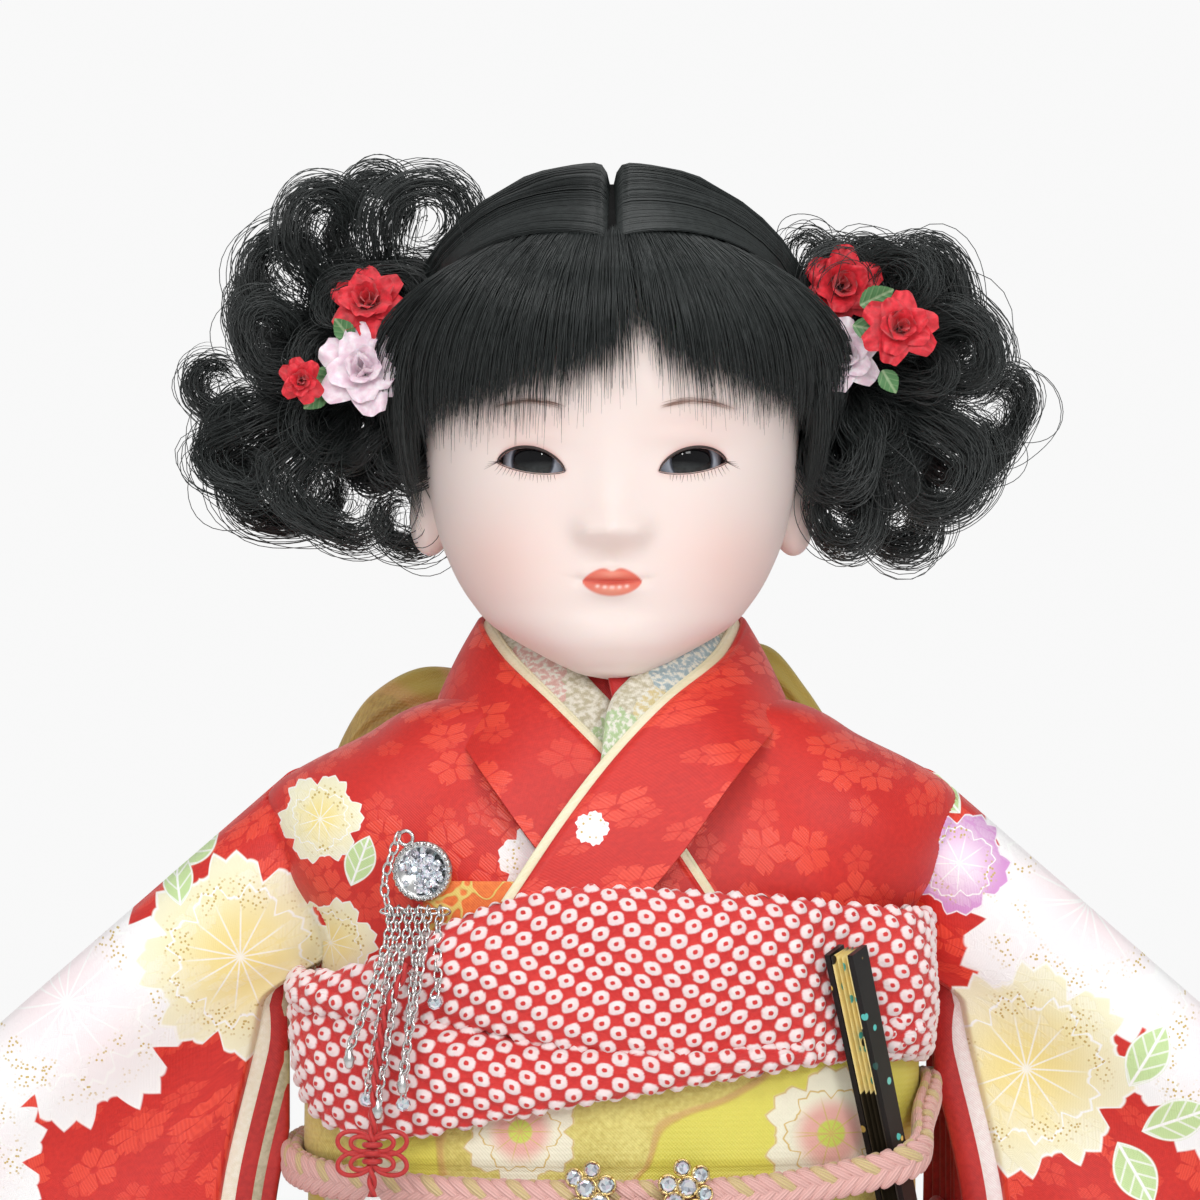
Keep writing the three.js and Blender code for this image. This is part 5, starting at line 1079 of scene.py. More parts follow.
def blossom_group():
    """A printed double flower with notched petals, drawn rims, veins and gold stamen dots."""
    wires = Effect("printed flower", across=0.0, up=0.0, radius=0.02, petals=7.0, turn=0.0)
    *spot, petals, turn = wires.numbers
    x, y = about(wires, *spot)
    reach = (x**2.0 + y**2.0).math("SQRT")
    around = (y.math("ARCTAN2", x) + turn) * petals * (1 / pi)

    def inside_ring(shift, size):
        place = around + shift
        edge = (place * 3.5).pingpong() * 0.085 + (place.pingpong().smooth(0.0, 0.6) * 0.17 + 0.74)
        return edge * size - reach

    outer, inner = inside_ring(0.0, 1.0), inside_ring(1.0, 0.7)
    petal = outer.smooth(0.0, 0.025)
    rim = petal * outer.smooth(0.06, 0.02)
    inner_rim = inner.smooth(0.0, 0.015) * inner.smooth(0.045, 0.02)
    vein = ((around * 1.7).pingpong() * reach).smooth(0.05, 0.015) * reach.smooth(0.62, 0.3)
    speck, _, _ = cells(wires, wires.place, 900.0)
    band = reach.smooth(0.4, 0.5) * reach.smooth(0.8, 0.66)
    patch = wires.noise(wires.place, 130.0).smooth(0.47, 0.55)
    return wires.result(
        petal=petal,
        reach=reach,
        lines=rim.math("MAXIMUM", inner_rim).math("MAXIMUM", vein * 0.8),
        dots=speck.smooth(0.26, 0.16) * band * patch * petal,
    )


def leaf_print_group():
    """A printed pointed leaf with a pale rim and ribs."""
    wires = Effect("printed leaf", across=0.0, up=0.0, length=0.012, turn=0.0)
    *spot, turn = wires.numbers
    x, y = about(wires, *spot)
    cosine, sine = turn.math("COSINE"), turn.math("SINE")
    along = x * cosine + y * sine
    off = abs(y * cosine - x * sine)
    inside = (along * 2.0) ** 2.0 * -0.3 + 0.3 - off
    leaf = inside.smooth(0.0, 0.03)
    side_ribs = ((along - off) * 9.0).pingpong().smooth(0.25, 0.1) * 0.7
    lines = off.smooth(0.03, 0.01).math("MAXIMUM", side_ribs).math("MAXIMUM", inside.smooth(0.06, 0.03))
    return wires.result(leaf=leaf, lines=lines * leaf)


damask_tree = damask_group()
blossom_tree = blossom_group()
leaf_tree = leaf_print_group()
RED_DARK = (0.55, 0.013, 0.009)
RED = (0.67, 0.021, 0.012)
RED_LIGHT = (0.86, 0.075, 0.036)
CREAM = ((0.9, 0.75, 0.3), (0.88, 0.84, 0.6))  # colours at the heart and at the edge
WHITE = ((0.93, 0.8, 0.82), (0.92, 0.92, 0.92))
LILAC = ((0.9, 0.74, 0.86), (0.66, 0.3, 0.62))
GOLD_DOT = (0.58, 0.42, 0.12)
LEAF_GREEN = (0.55, 0.72, 0.34)
PAPER_WHITE = (0.95, 0.95, 0.93)


def flower_print(wires, place, across, up, radius, petals, turn=0.0):
    """One printed or woven flower; its place and radius are in millimetres."""
    sizes = {"across": across * MM, "up": up * MM, "radius": radius * MM}
    return wires.group(blossom_tree, place=place, petals=petals, turn=turn, **sizes)


def kimono_material(name, flowers, leaves):
    """Red figured silk printed with flowers (across, up, radius, petals, turn, colours) and leaves."""
    wires = Finish(name, sheen_weight=0.12, sheen_roughness=0.35)
    cloth, place = wires.uv("cloth"), wires.uv("print")
    weave = wires.group(weave_tree, place=cloth)
    figure = wires.group(damask_tree, place=cloth)["Figure"]
    colour = (figure * 0.8).mix(weave["Shade"].mix(RED_DARK, RED), RED_LIGHT)
    for *drawn, shades in flowers:
        flower = flower_print(wires, place, *drawn)
        inside = (figure * 0.2).mix(flower["Reach"].smooth(0.1, 0.9).mix(*shades), PAPER_WHITE)
        inside = flower["Dots"].mix(flower["Lines"].mix(inside, PAPER_WHITE), GOLD_DOT)
        colour = flower["Petal"].mix(colour, inside)
    for across, up, length, turn in leaves:
        sizes = {"across": across * MM, "up": up * MM, "length": length * MM}
        leaf = wires.group(leaf_tree, place=place, turn=radians(turn), **sizes)
        colour = leaf["Leaf"].mix(colour, leaf["Lines"].mix(LEAF_GREEN, PAPER_WHITE))
    return wires.show(
        base_color=colour,
        roughness=figure * -0.14 + 0.5,
        normal=wires.bump(figure * 0.8 + weave["Height"] * 0.5, 0.3, 0.0003),
    )


skirt_flowers = [
    (-22, 60, 20, 7, 0.3, CREAM), (22, 96, 18, 7, 1.0, WHITE),
    (24, 42, 15, 6, 0.1, LILAC), (-8, 130, 17, 7, 2.0, CREAM),
]
skirt_leaves = [(-2, 62, 16, 20), (2, 74, 14, 75), (-32, 92, 15, 120), (34, 66, 13, 60)]
skirt_silk = kimono_material("red figured silk, skirt", skirt_flowers, skirt_leaves)


def skirt_fold(turn, z):
    """Hanging folds at the back and sides and shallow ripples in front."""
    behind = soft_step(sin(turn), -0.3, 0.4)
    fall = 1 - soft_step(z, 30.0, OBI_LOW)
    return behind * fall * 3.0 * (0.5 + 0.5 * cos(8 * turn)) + 0.5 * fall * sin(5 * turn + 0.01 * z)


def pushed(points, reach):
    """Points moved away from the body's upright middle line."""
    x, y = np.moveaxis(unit(points[..., :2]), -1, 0)
    return points + xyz(x * reach, y * reach, 0.0)


SILK_DRESS = ("dressed_body", "red_silk")
skirt_heights = linspace(SKIRT_LOW, OBI_LOW + 20, 110)[:, None]
skirt = pushed(body_point(whole_turn, skirt_heights, KIMONO_OUT - 0.8), skirt_fold(whole_turn, skirt_heights))
skirt[..., 2] += hem_lift(whole_turn, skirt_heights)
skirt_piece = cloth_piece("kimono_skirt_silk", skirt, skirt_silk, *SILK_DRESS, "kimono_skirt", thick=1.6)

overlap_turn = linspace(radians(-128), radians(-16), 120)
overlap_heights = linspace(SKIRT_LOW + 0.5, OBI_LOW - 13, 100)[:, None]
ripple = 0.7 * sin(6 * overlap_turn + 0.012 * overlap_heights) * (1 - soft_step(overlap_heights, 60, 200))
edge_roll = 1.2 * bell(overlap_turn, overlap_turn[0], 0.05)
overlap = pushed(body_point(overlap_turn, overlap_heights, KIMONO_OUT + 1.6), ripple + edge_roll)
overlap[..., 2] += hem_lift(overlap_turn, overlap_heights)
overlap_piece = cloth_piece(
    "kimono_overlap_silk", overlap, skirt_silk, *SILK_DRESS, "kimono_overlap", thick=1.5
)

hem_cloth = cloth_material("red crepe hem", (0.48, 0.012, 0.012), (0.62, 0.022, 0.018), 0.5)
HEM_RADIUS = 4.4
roll = linspace(0, 2 * pi, 25)[:, None]
hem_line = pushed(body_point(whole_turn, HEM_RADIUS, KIMONO_OUT - 2.0), skirt_fold(whole_turn, SKIRT_LOW))
hem_line[:, 2] += hem_lift(whole_turn, SKIRT_LOW)
quilt = HEM_RADIUS * (1 + 0.03 * sin(60 * whole_turn))
hem = pushed(np.tile(hem_line, (25, 1, 1)), cos(roll) * quilt)
hem[..., 2] = np.maximum(hem[..., 2] + sin(roll) * quilt, 0.0)
cloth_piece("wadded_hem", hem, hem_cloth, *SILK_DRESS, "hem_roll")


def quarter_round(share):
    """Rises like a quarter of a circle, from 0 at an edge to 1."""
    return sqrt(clip(1 - (1 - clip(share, 0, 1)) ** 2, 0, 1))


fold_share = linspace(0, 1, 16)[:, None]
fold_puff = 2.6 * quarter_round(fold_share * 5) + 0.25 * sin(9 * whole_turn)
waist = pushed(body_point(whole_turn, OBI_LOW - 12.5 + 16 * fold_share, KIMONO_OUT + 0.2), fold_puff)
waist_piece = cloth_piece("waist_fold_silk", waist, hem_cloth, *SILK_DRESS, "waist_fold", thick=1.2)

chest_flowers = [(-58, 308, 9, 6, 0.4, CREAM), (-56, 283, 10, 6, 1.4, CREAM), (-15, 300, 8, 5, 0.2, WHITE)]
chest_silk = kimono_material("red figured silk, chest", chest_flowers, [(-50, 300, 11, 70)])
# height, half width, depth in front and behind of the shoulders under the cloth
CHEST_ROWS = [
    (OBI_HIGH - 30, 57.4, 37.2, 37.4), (OBI_HIGH, 57.4, 37.0, 37.0), (NECK_BASE - 46, 59.0, 36.4, 36.8),
    (NECK_BASE - 32, 66, 35.6, 36), (NECK_BASE - 22, 70, 33.4, 34), (NECK_BASE - 16, 68, 31.2, 32),
    (NECK_BASE - 11, 60.5, 29.2, 30), (NECK_BASE - 6, 50.5, 27.4, 28.4), (NECK_BASE, 39, 25.6, 26.8),
    (NECK_BASE + 2.5, 30.0, 24.0, 25.6),
]
chest_heights = linspace(OBI_HIGH - 30, NECK_BASE + 2.5, 120)[:, None]
half, front, back = between(CHEST_ROWS, chest_heights)
chest_turn = linspace(0, 2 * pi, 321) + pi / 2
depth = np.where(sin(chest_turn) < 0, front, back)
chest = xyz(half * rounded(cos(chest_turn)), depth * rounded(sin(chest_turn)), chest_heights)
aside = np.abs(chest[..., 0])
chest = pushed(chest, 0.7 * sin(0.21 * (aside * 1.1 + chest[..., 2])) * soft_step(aside, 20, 45))
chest_piece = cloth_piece("kimono_chest_silk", chest, chest_silk, *SILK_DRESS, "kimono_chest", thick=1.4)

# Collars: straight bands folded lengthwise and laid one inside the other round the neck.
# From the body out: red, silver brocade, a pale piping band and the kimono's own collar, left over right.

# across, depth (None lies on the chest) and height above the neck's foot of a band's edge, nape to left end
COLLAR_IN = [
    (0, 22, 14), (16, 15, 15.5), (22.8, 1, 15.5), (19.5, -13, 8),
    (10, None, -3), (0, None, -13), (-9, None, -24), (-19, None, -39),
]
COLLAR_OUT = [
    (0, 31, 1), (23, 24, 1), (30.5, 3, 0.5), (29.5, -12, -5),
    (24, None, -16), (16, None, -27), (8, None, -36), (-2, None, -45),
]
COLLAR_STEP = 1.1
COLLAR_LIFT = 4.5  # of the left side over the right


def collar_edge(half, share):
    """The band's edge from its right end, round the nape, to its left end."""
    raised = [(x, y, NECK_BASE + up) for x, y, up in half]
    spots = [(x, front_at(x, z, KIMONO_OUT) if y is None else y, z) for x, y, z in raised]
    spots = [(-x, y, z) for x, y, z in spots[:0:-1]] + spots
    return xyz(*between(np.column_stack([linspace(0, 1, len(spots)), spots]), share))


def shown_width(place, least, swell=0.0, rise=0.2, full=0.45, fade=0.6, end=0.76):
    """How far a band stands out of the next one, at a place from the nape (0) to its ends (1)."""
    return least + swell * soft_step(place, rise, full) * (1 - soft_step(place, fade, end))


def collar_points(show, hidden, low, thick):
    """A folded band: the rounded fold faces the neck and the raw edge lies under the next band."""
    share = linspace(0, 1, 181)
    inner, outer = collar_edge(COLLAR_IN, share), collar_edge(COLLAR_OUT, share)
    along = unit(np.gradient(inner, axis=0))
    width = np.linalg.norm(outer - inner, axis=1)
    across = (outer - inner) / width[:, None]
    out = unit(np.cross(along, across))
    near = -shown_width(np.abs(2 * share - 1), *show)
    far = np.minimum(hidden, width)
    base = low + COLLAR_LIFT * soft_step(share, 0.66, 0.8)
    side = linspace(0, 1, 20)
    turn = linspace(pi / 2, 3 * pi / 2, 9)
    reach = concatenate([side[::-1], 0 * turn, side])
    bulge = concatenate([0 * side, cos(turn), 0 * side])
    depth = concatenate([np.ones(20), sin(turn), -np.ones(20)])
    flow = near[:, None] + (far - near)[:, None] * reach + thick / 2 * bulge
    puff = 0.35 * sin(pi * reach) * (depth > 0)
    rise = base[:, None] + thick / 2 * (1 + depth) + puff
    return inner[:, None] + across[:, None] * flow[..., None] + out[:, None] * rise[..., None]


# across, up, radius and colour of the flowers woven into the brocade
BROCADE_PATCHES = [
    (16, 338, 9, (0.2, 0.4, 0.55)), (2, 324, 7, (0.35, 0.6, 0.25)), (-16, 336, 8, (0.75, 0.35, 0.36)),
    (9, 330, 5, (0.75, 0.6, 0.25)), (0, 345, 8, (0.4, 0.55, 0.3)),
]


def brocade_collar_material():
    wires = Finish("silver brocade", sheen_weight=0.2)
    cloth, place = wires.uv("cloth"), wires.uv("print")
    weave = wires.group(weave_tree, place=cloth, thread=0.0005)
    leafy = wires.noise(cloth, 900.0, 4.0)
    colour = leafy.smooth(0.35, 0.65).mix((0.5, 0.45, 0.3), (0.8, 0.77, 0.66))
    for across, up, radius, shade in BROCADE_PATCHES:
        flower = flower_print(wires, place, across, up, radius, 5)
        woven = leafy.smooth(0.45, 0.6).mix(shade, (0.8, 0.8, 0.72))
        colour = (flower["Petal"] * 0.6).mix(colour, woven)
    return wires.show(
        base_color=colour,
        roughness=leafy * -0.3 + 0.62,
        metallic=leafy.smooth(0.5, 0.9),
        normal=wires.bump(leafy * 1.2 + weave["Height"] * 0.5, 0.5, 0.0004),
    )


collar_silk = kimono_material("red figured silk, collar", [(-4, 307, 3.6, 5, 0.6, WHITE)], [])
pale_silk = cloth_material("pale yellow silk", (0.84, 0.78, 0.5), (0.92, 0.88, 0.66), 0.5)
inner_silk = cloth_material("red inner silk", (0.4, 0.008, 0.01), (0.55, 0.02, 0.018), 0.5)
# name, how far it shows, greatest width under the next band, thickness, material, finish
COLLARS = [
    ("inner_collar", (1.5, 15, 0.25, 0.5, 0.56, 0.68), 4, 0.8, inner_silk, "red_silk"),
    ("brocade_collar", (1.4, 8.4), 5, 0.9, brocade_collar_material(), "brocade_silk"),
    ("pale_collar", (2.2,), 6, 1.0, pale_silk, "cream_silk"),
    ("kimono_collar", (0.0,), np.inf, 1.5, collar_silk, "red_silk"),
]
for number, (node, show, hidden, thick, material, slot) in enumerate(COLLARS):
    grid = collar_points(show, hidden, 0.3 + number * COLLAR_STEP, thick)
    piece = cloth_piece(f"{node}_band", grid, material, "dressed_body", slot, node)
    length = run_along(grid[:, 25])[-1] * MM
    width = run_along(grid[90])[-1] * MM

# Arms and hands: paper-covered wire arms wound with wadding and white crepe.
# The hands are moulded of wood paste and finished in shell white like the face, rosier at the fingertips.

SHOULDER = array([52.0, 0.0, NECK_BASE - 24])
ARM_DOWN = radians(41)
ARM_LENGTH = 124.0
arm_way = array([cos(ARM_DOWN), 0.0, -sin(ARM_DOWN)])
arm_up = array([sin(ARM_DOWN), 0.0, cos(ARM_DOWN)])
TO_FRONT = array([0.0, -1.0, 0.0])
WRIST = SHOULDER + arm_way * ARM_LENGTH
arm_cloth = cloth_material("wound white crepe", (0.74, 0.71, 0.64), (0.86, 0.84, 0.78), 0.8)


def remeshed(piece, voxel, soften):
    """Joins a piece's overlapping shapes into one skin and softens it."""
    piece.modifiers.new("one skin", "REMESH").voxel_size = voxel * MM
    piece.modifiers.new("soften", "SMOOTH").iterations = soften
    graph = bpy.context.evaluated_depsgraph_get()
    mesh = bpy.data.meshes.new_from_object(piece.evaluated_get(graph))
    piece.modifiers.clear()
    mesh.polygons.foreach_set("use_smooth", np.ones(len(mesh.polygons), bool))
    piece.data = mesh
    return piece


def rounded_bar(points, radius):
    """A round bar with domed ends along points; radius per point."""
    points, radius = np.asarray(points, float), np.asarray(radius, float)
    dome = array([0.95, 0.7, 0.35])
    shrink = sqrt(1 - dome * dome)
    start = points[0] - unit(points[1] - points[0]) * (radius[0] * dome)[:, None]
    end = points[-1] + unit(points[-1] - points[-2]) * (radius[-1] * dome[::-1])[:, None]
    sizes = concatenate([radius[0] * shrink, radius, radius[-1] * shrink[::-1]])
    return tubes(concatenate([start, points, end]), sizes, 14)


# finger roots across the palm, reach and radius
FINGERS = [(-3.3, 11.0, 1.35), (-1.1, 12.4, 1.4), (1.1, 11.8, 1.4), (3.1, 9.6, 1.25)]
PALM_RADIUS = [3.6, 3.6, 3.7, 3.8, 3.7, 3.2]


def hand_parts(side):
    """A small soft hand, fingers together and a little bent, thumb to the front."""
    t = linspace(0, 1, 6)[:, None]
    palm = WRIST + arm_way * (-6 + 15 * t)
    bars = [(palm + arm_up * offset, PALM_RADIUS) for offset in (-1.8, 0, 1.8)]
    for across, reach, radius in FINGERS:
        line = WRIST + arm_way * (8 + reach * t) + arm_up * across + TO_FRONT * (2.2 * t**2)
        bars.append((line, radius * (1 - 0.25 * t[:, 0])))
    thumb = WRIST + arm_way * (3 + 7.5 * t) + TO_FRONT * (2.5 + 3.2 * t) + arm_up * (2.6 + 1.0 * t)
    bars.append((thumb, 1.6 * (1 - 0.2 * t[:, 0])))
    return together(*(rounded_bar(mirrored(line, side), radius) for line, radius in bars))


def paint_hand(hand):
    """The skin's ground shade, deepened towards the fingertips."""
    points = np.empty(len(hand.data.vertices) * 3)
    hand.data.vertices.foreach_get("co", points)
    x = np.abs(points[::3])
    tip = soft_step(x, x.min() + 0.6 * np.ptp(x), x.max())[:, None] * 0.35
    lay_paint(hand.data, SKIN * (1 - tip) + BLUSH * tip)


arm_share = linspace(-0.03, 0.98, 60)[:, None]
arm_line = SHOULDER + arm_way * ARM_LENGTH * arm_share
winding = (9.0 - 3.0 * clip(arm_share, 0, 1)) * (1 + 0.03 * sin(90 * arm_share))
rim = linspace(0, 2 * pi, 33)[:, None]
for side, name in SIDES:
    body = f"{name}_arm_and_sleeve"
    hand = remeshed(add_mesh(f"{name}_moulded_hand", hand_parts(side), gofun), voxel=0.45, soften=4)
    paint_hand(hand)
    dress(hand, body, "gofun_skin", f"{name}_hand")
    ring = sin(rim) * mirrored(arm_up, side) - cos(rim) * TO_FRONT
    arm = mirrored(arm_line, side)[:, None] + ring * winding[..., None]
    cloth_piece(f"{name}_wound_arm", arm, arm_cloth, body, "white_cotton", f"{name}_arm")

# Sleeves: long swinging sleeves of the printed silk, lined, open along the body side.
# The under-robe's sleeves show inside the opening as narrow bands.

SLEEVE_IN = 75.0
SLEEVE_OUT = 152.0
SLEEVE_TOP = NECK_BASE - 11.5
SLEEVE_LOW = 66.0
CORNER = 24.0
TUBE = 12.5  # reach of the cloth round the arm
HANG = 3.2  # and below it
ARM_START = 64.0
SLEEVE_SEAM = array([(60, 0, 306), (80, 0, 292)])  # two places at the sleeve's top; the sleeve's shape does not use them
sleeve_prints = {
    1: (
        [
            (97, 291, 30, 9, 0.2, WHITE), (128, 262, 26, 8, 0.9, WHITE), (70, 299, 11, 5, 0.9, LILAC),
            (84, 257, 23, 8, 0.5, CREAM), (128, 205, 27, 8, 0.1, CREAM), (96, 172, 22, 7, 1.2, WHITE),
            (126, 118, 26, 8, 0.7, LILAC), (92, 92, 22, 7, 0.2, CREAM),
        ],
        [
            (108, 260, 15, 60), (114, 247, 15, 20), (106, 236, 15, -60),
            (67, 313, 11, 130), (110, 150, 16, 40), (104, 122, 15, 100),
        ],
    ),
    -1: (
        [
            (-110, 271, 27, 9, 0.5, WHITE), (-135, 240, 22, 8, 0.1, WHITE), (-75, 280, 22, 8, 0.3, CREAM),
            (-118, 195, 26, 8, 1.1, WHITE), (-92, 160, 22, 7, 0.4, CREAM), (-130, 120, 26, 8, 0.7, LILAC),
            (-94, 92, 20, 7, 0.3, CREAM),
        ],
        [
            (-84, 303, 13, 55), (-88, 296, 12, 100), (-104, 222, 15, 30),
            (-112, 150, 16, 140), (-108, 108, 15, 80),
        ],
    ),
}


def sleeve_inner(z):
    """The body-side edge of a sleeve: tucked in at the armpit, then hanging a little outwards."""
    drop = NECK_BASE - z
    return 52 + 17.5 * soft_step(drop, 45.5, 60) + (SLEEVE_IN - 64.5) * soft_step(drop, 48, 110)


def sleeve_fold(side, x, fall):
    return 4.0 * fall * sin((x - SLEEVE_IN) / 75 * 9 + 1 + side * 0.6)


def chest_depth(x, z):
    """Depth of the chest's cloth in front at a place across it, nothing past the shoulder."""
    half, front, _ = between(CHEST_ROWS, z)
    return front * round_off(clip(x / half, 0, 1))


def sleeve_points(side):
    """Front from the opening to the outer edge, then the back, row by row from the top down."""
    z = concatenate([linspace(SLEEVE_TOP, 240, 100), linspace(240, SLEEVE_LOW, 90)[1:]])[:, None]
    slope = np.tan(ARM_DOWN)
    outer = np.minimum(SLEEVE_OUT, ARM_START + (SLEEVE_TOP - z) / slope)
    low = clip(SLEEVE_LOW + CORNER - z, 0, CORNER)
    outer = np.minimum(outer, SLEEVE_OUT - CORNER + sqrt(np.maximum(CORNER**2 - low**2, 0)))
    inner = sleeve_inner(z)
    x = inner + (outer - inner) * (1 - cos(pi * linspace(0, 1, 90))) / 2
    below = np.maximum((SLEEVE_TOP - z - (x - ARM_START) * slope) * cos(ARM_DOWN), 0)  # under the upper fold
    near = sqrt(np.maximum(TUBE**2 - np.maximum(TUBE - below, 0) ** 2, 0))
    half = np.where(below < TUBE, near, HANG + (TUBE - HANG) * bell(np.maximum(below - TUBE, 0), 0, 16))
    chest_at = chest_depth(x, z)
    sewn = soft_step(x - 56.8 - 0.46 * (z - 285), -1.0, 0.8)  # past the armhole seam it lies over the chest
    half = np.maximum(half, chest_at + 1.3) * sewn + np.maximum(chest_at - 2.0, 0.3) * (1 - sewn)
    edge = np.minimum(np.minimum(x - inner, outer - x), z - SLEEVE_LOW)
    half = half * quarter_round(edge / 1.6)
    fall = soft_step(NECK_BASE - z, 30, 200)
    fold = sleeve_fold(side, x, fall)
    drag = 1.3 * sin(0.16 * (below + 0.6 * x)) * soft_step(below, 10, 30)
    drag = drag * (1 - 0.6 * fall) * soft_step(x - inner, 2, 16)
    ridge = np.interp(-x, [-70.0, -68.0, -60.5, -50.5], NECK_BASE - array([22.0, 16.0, 11.0, 6.0]))
    held = np.where(x < 66, np.minimum(z, ridge + 1.5 * soft_step(x, 60, 66)), z)
    front = xyz(side * x, fold + drag - half, held)
    back = xyz(side * x, fold - 0.4 * drag + half, held)
    return concatenate([front, back[:, ::-1]], axis=1)


pale_strip = cloth_material("pale green under-sleeve", (0.72, 0.78, 0.52), (0.9, 0.9, 0.82))
cream_strip = cloth_material("cream under-sleeve", (0.84, 0.78, 0.6), (0.93, 0.9, 0.78))
red_strip = cloth_material("red under-sleeve", (0.42, 0.012, 0.012), (0.58, 0.025, 0.02))
gold_strip = cloth_material("grey-gold under-sleeve", (0.4, 0.35, 0.22), (0.62, 0.56, 0.4))
pink_strip = cloth_material("pale pink under-sleeve", (0.86, 0.72, 0.72), (0.93, 0.88, 0.87))
# how far each strip stands out of the sleeve, outermost first
STRIPS = {
    1: [(pink_strip, 5.5), (red_strip, 8.0)],
    -1: [(pale_strip, 2.4), (cream_strip, 4.6), (red_strip, 7.4), (gold_strip, 8.8), (red_strip, 11.0)],
}
STRIP_NEAREST = 65.5  # beside the sash


def strip_points(side, reach, gap):
    """One under-sleeve as a folded strip inside the opening, from the armpit down."""
    z = linspace(NECK_BASE - 51, SLEEVE_LOW + 6 + gap, 90)[:, None]
    turn = linspace(-1, 1, 29)
    edge = np.maximum(sleeve_inner(z) - reach * soft_step(NECK_BASE - z, 46, 70), STRIP_NEAREST)
    x = edge + 16 * np.abs(turn) ** 1.4
    fold = sleeve_fold(side, x, soft_step(NECK_BASE - z, 30, 200))
    half = np.sign(turn) * np.minimum(1.9 - 0.3 * gap, 6 * np.abs(turn)) + 0.4 * sin(0.06 * z)
    return xyz(side * x, fold + half, z)


for side, name in SIDES:
    body, silk_name = f"{name}_arm_and_sleeve", f"{name}_sleeve_silk"
    silk = kimono_material(f"red figured silk, {name} sleeve", *sleeve_prints[side])
    piece = cloth_piece(silk_name, sleeve_points(side), silk, None, "red_silk", f"{name}_sleeve")
    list(to_frame(mirrored(SLEEVE_SEAM, side)))
    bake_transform(piece)
    for number, (silk, reach) in enumerate(STRIPS[side]):
        points, lining = strip_points(side, reach, number), f"{name}_sleeve_lining"
        strip_name = f"{name}_under_sleeve_{number + 1}"
        strip = cloth_piece(strip_name, points, silk, body, "white_silk", lining, thick=0.2)

# Sash: a stiff gold brocade obi wound round the waist and tucked into itself.
# Clouds with a raised outline and single flowers are woven into its ribbed gold ground.

# across, up and radius of the flowers woven into the sash
OBI_FLOWERS = [
    (43, 246, 14), (-18, 247, 12), (12, 226, 13), (-44, 228, 14),
    (0, 268, 14), (30, 300, 15), (-30, 296, 15), (14, 178, 14),
]


def obi_material(name, dark, light, ground):
    wires = Finish(name, sheen_weight=0.1)
    cloth, place = wires.uv("cloth"), wires.uv("print")
    weave = wires.group(weave_tree, place=cloth, thread=0.0007)
    rib = (cloth.split()[1] * (2 * pi / 0.0011)).math("SINE")
    cloud = wires.noise(place, 34.0, 1.0)
    outline = cloud.smooth(0.495, 0.515) * cloud.smooth(0.55, 0.53)
    colour = cloud.smooth(0.52, 0.535).mix(weave["Shade"].mix(dark, light), ground)
    colour = (outline * 0.75).mix(colour, (0.62, 0.36, 0.12))
    for spot in OBI_FLOWERS:
        flower = flower_print(wires, place, *spot, 6)
        inside = flower["Reach"].smooth(0.3, 0.6).mix((0.8, 0.42, 0.36), (0.86, 0.82, 0.64))
        inside = flower["Reach"].smooth(0.22, 0.17).mix(inside, (0.6, 0.66, 0.1))
        colour = flower["Petal"].mix(colour, flower["Lines"].mix(inside, (0.66, 0.46, 0.14)))
    return wires.show(
        base_color=colour,
        roughness=rib * 0.06 + 0.42,
        normal=wires.bump(rib * 0.12 + weave["Height"] * 0.7 + outline, 0.45, 0.0004),
    )


gold_brocade = obi_material("gold brocade", (0.58, 0.47, 0.1), (0.78, 0.7, 0.22), (0.72, 0.66, 0.1))
BROCADE_DRESS = (gold_brocade, "dressed_body", "obi_brocade")
obi_heights = linspace(OBI_LOW, OBI_HIGH, 60)[:, None]
obi_turn = linspace(0, 2 * pi, 301) + pi / 2
tuck = 0.9 * soft_step(obi_heights, OBI_LOW + 26.0, OBI_LOW + 27.0) - 0.4
obi = pushed(body_point(obi_turn, obi_heights, OBI_OUT - 1.2), tuck + 0.2 * sin(7 * obi_turn))
obi_piece = cloth_piece("obi_wrap_brocade", obi, *BROCADE_DRESS, "obi_wrap", thick=2.2)

# Scarf over the sash: red silk tied up in hundreds of tiny knots before dyeing.
# Each knot leaves a raised white ring with a red middle; the scarf is wrapped in two puffed folds.

SCARF_OUT = OBI_OUT + 0.3
FAN_SPOT = radians(-49)  # way round from the doll's left side to the fan's upper half
DOT_PITCH = array([6.0, 4.9])
# degrees from the doll's left side over its front, rise over the sash, half height
UPPER_FOLD = [
    (-180, 5, 4), (-90, 6, 8), (0, 7, 13.5), (45, 8, 15), (78, 9.5, 16.5),
    (98, 11.5, 15), (116, 10, 9.5), (132, 6.5, 5.5), (155, 5, 4), (180, 5, 4),
]
LOWER_FOLD = [
    (-180, 2, 7), (-90, 1, 8), (0, 0, 8), (60, -5, 3), (84, -8.5, 3.8),
    (104, -10, 7.5), (128, -9, 13), (150, -6, 13.5), (165, -2, 11), (180, 2, 7),
]
# with its puff and the slant of its dots
FOLDS = {"upper": (UPPER_FOLD, 4.2, 0.2), "lower": (LOWER_FOLD, 3.78, -0.16)}


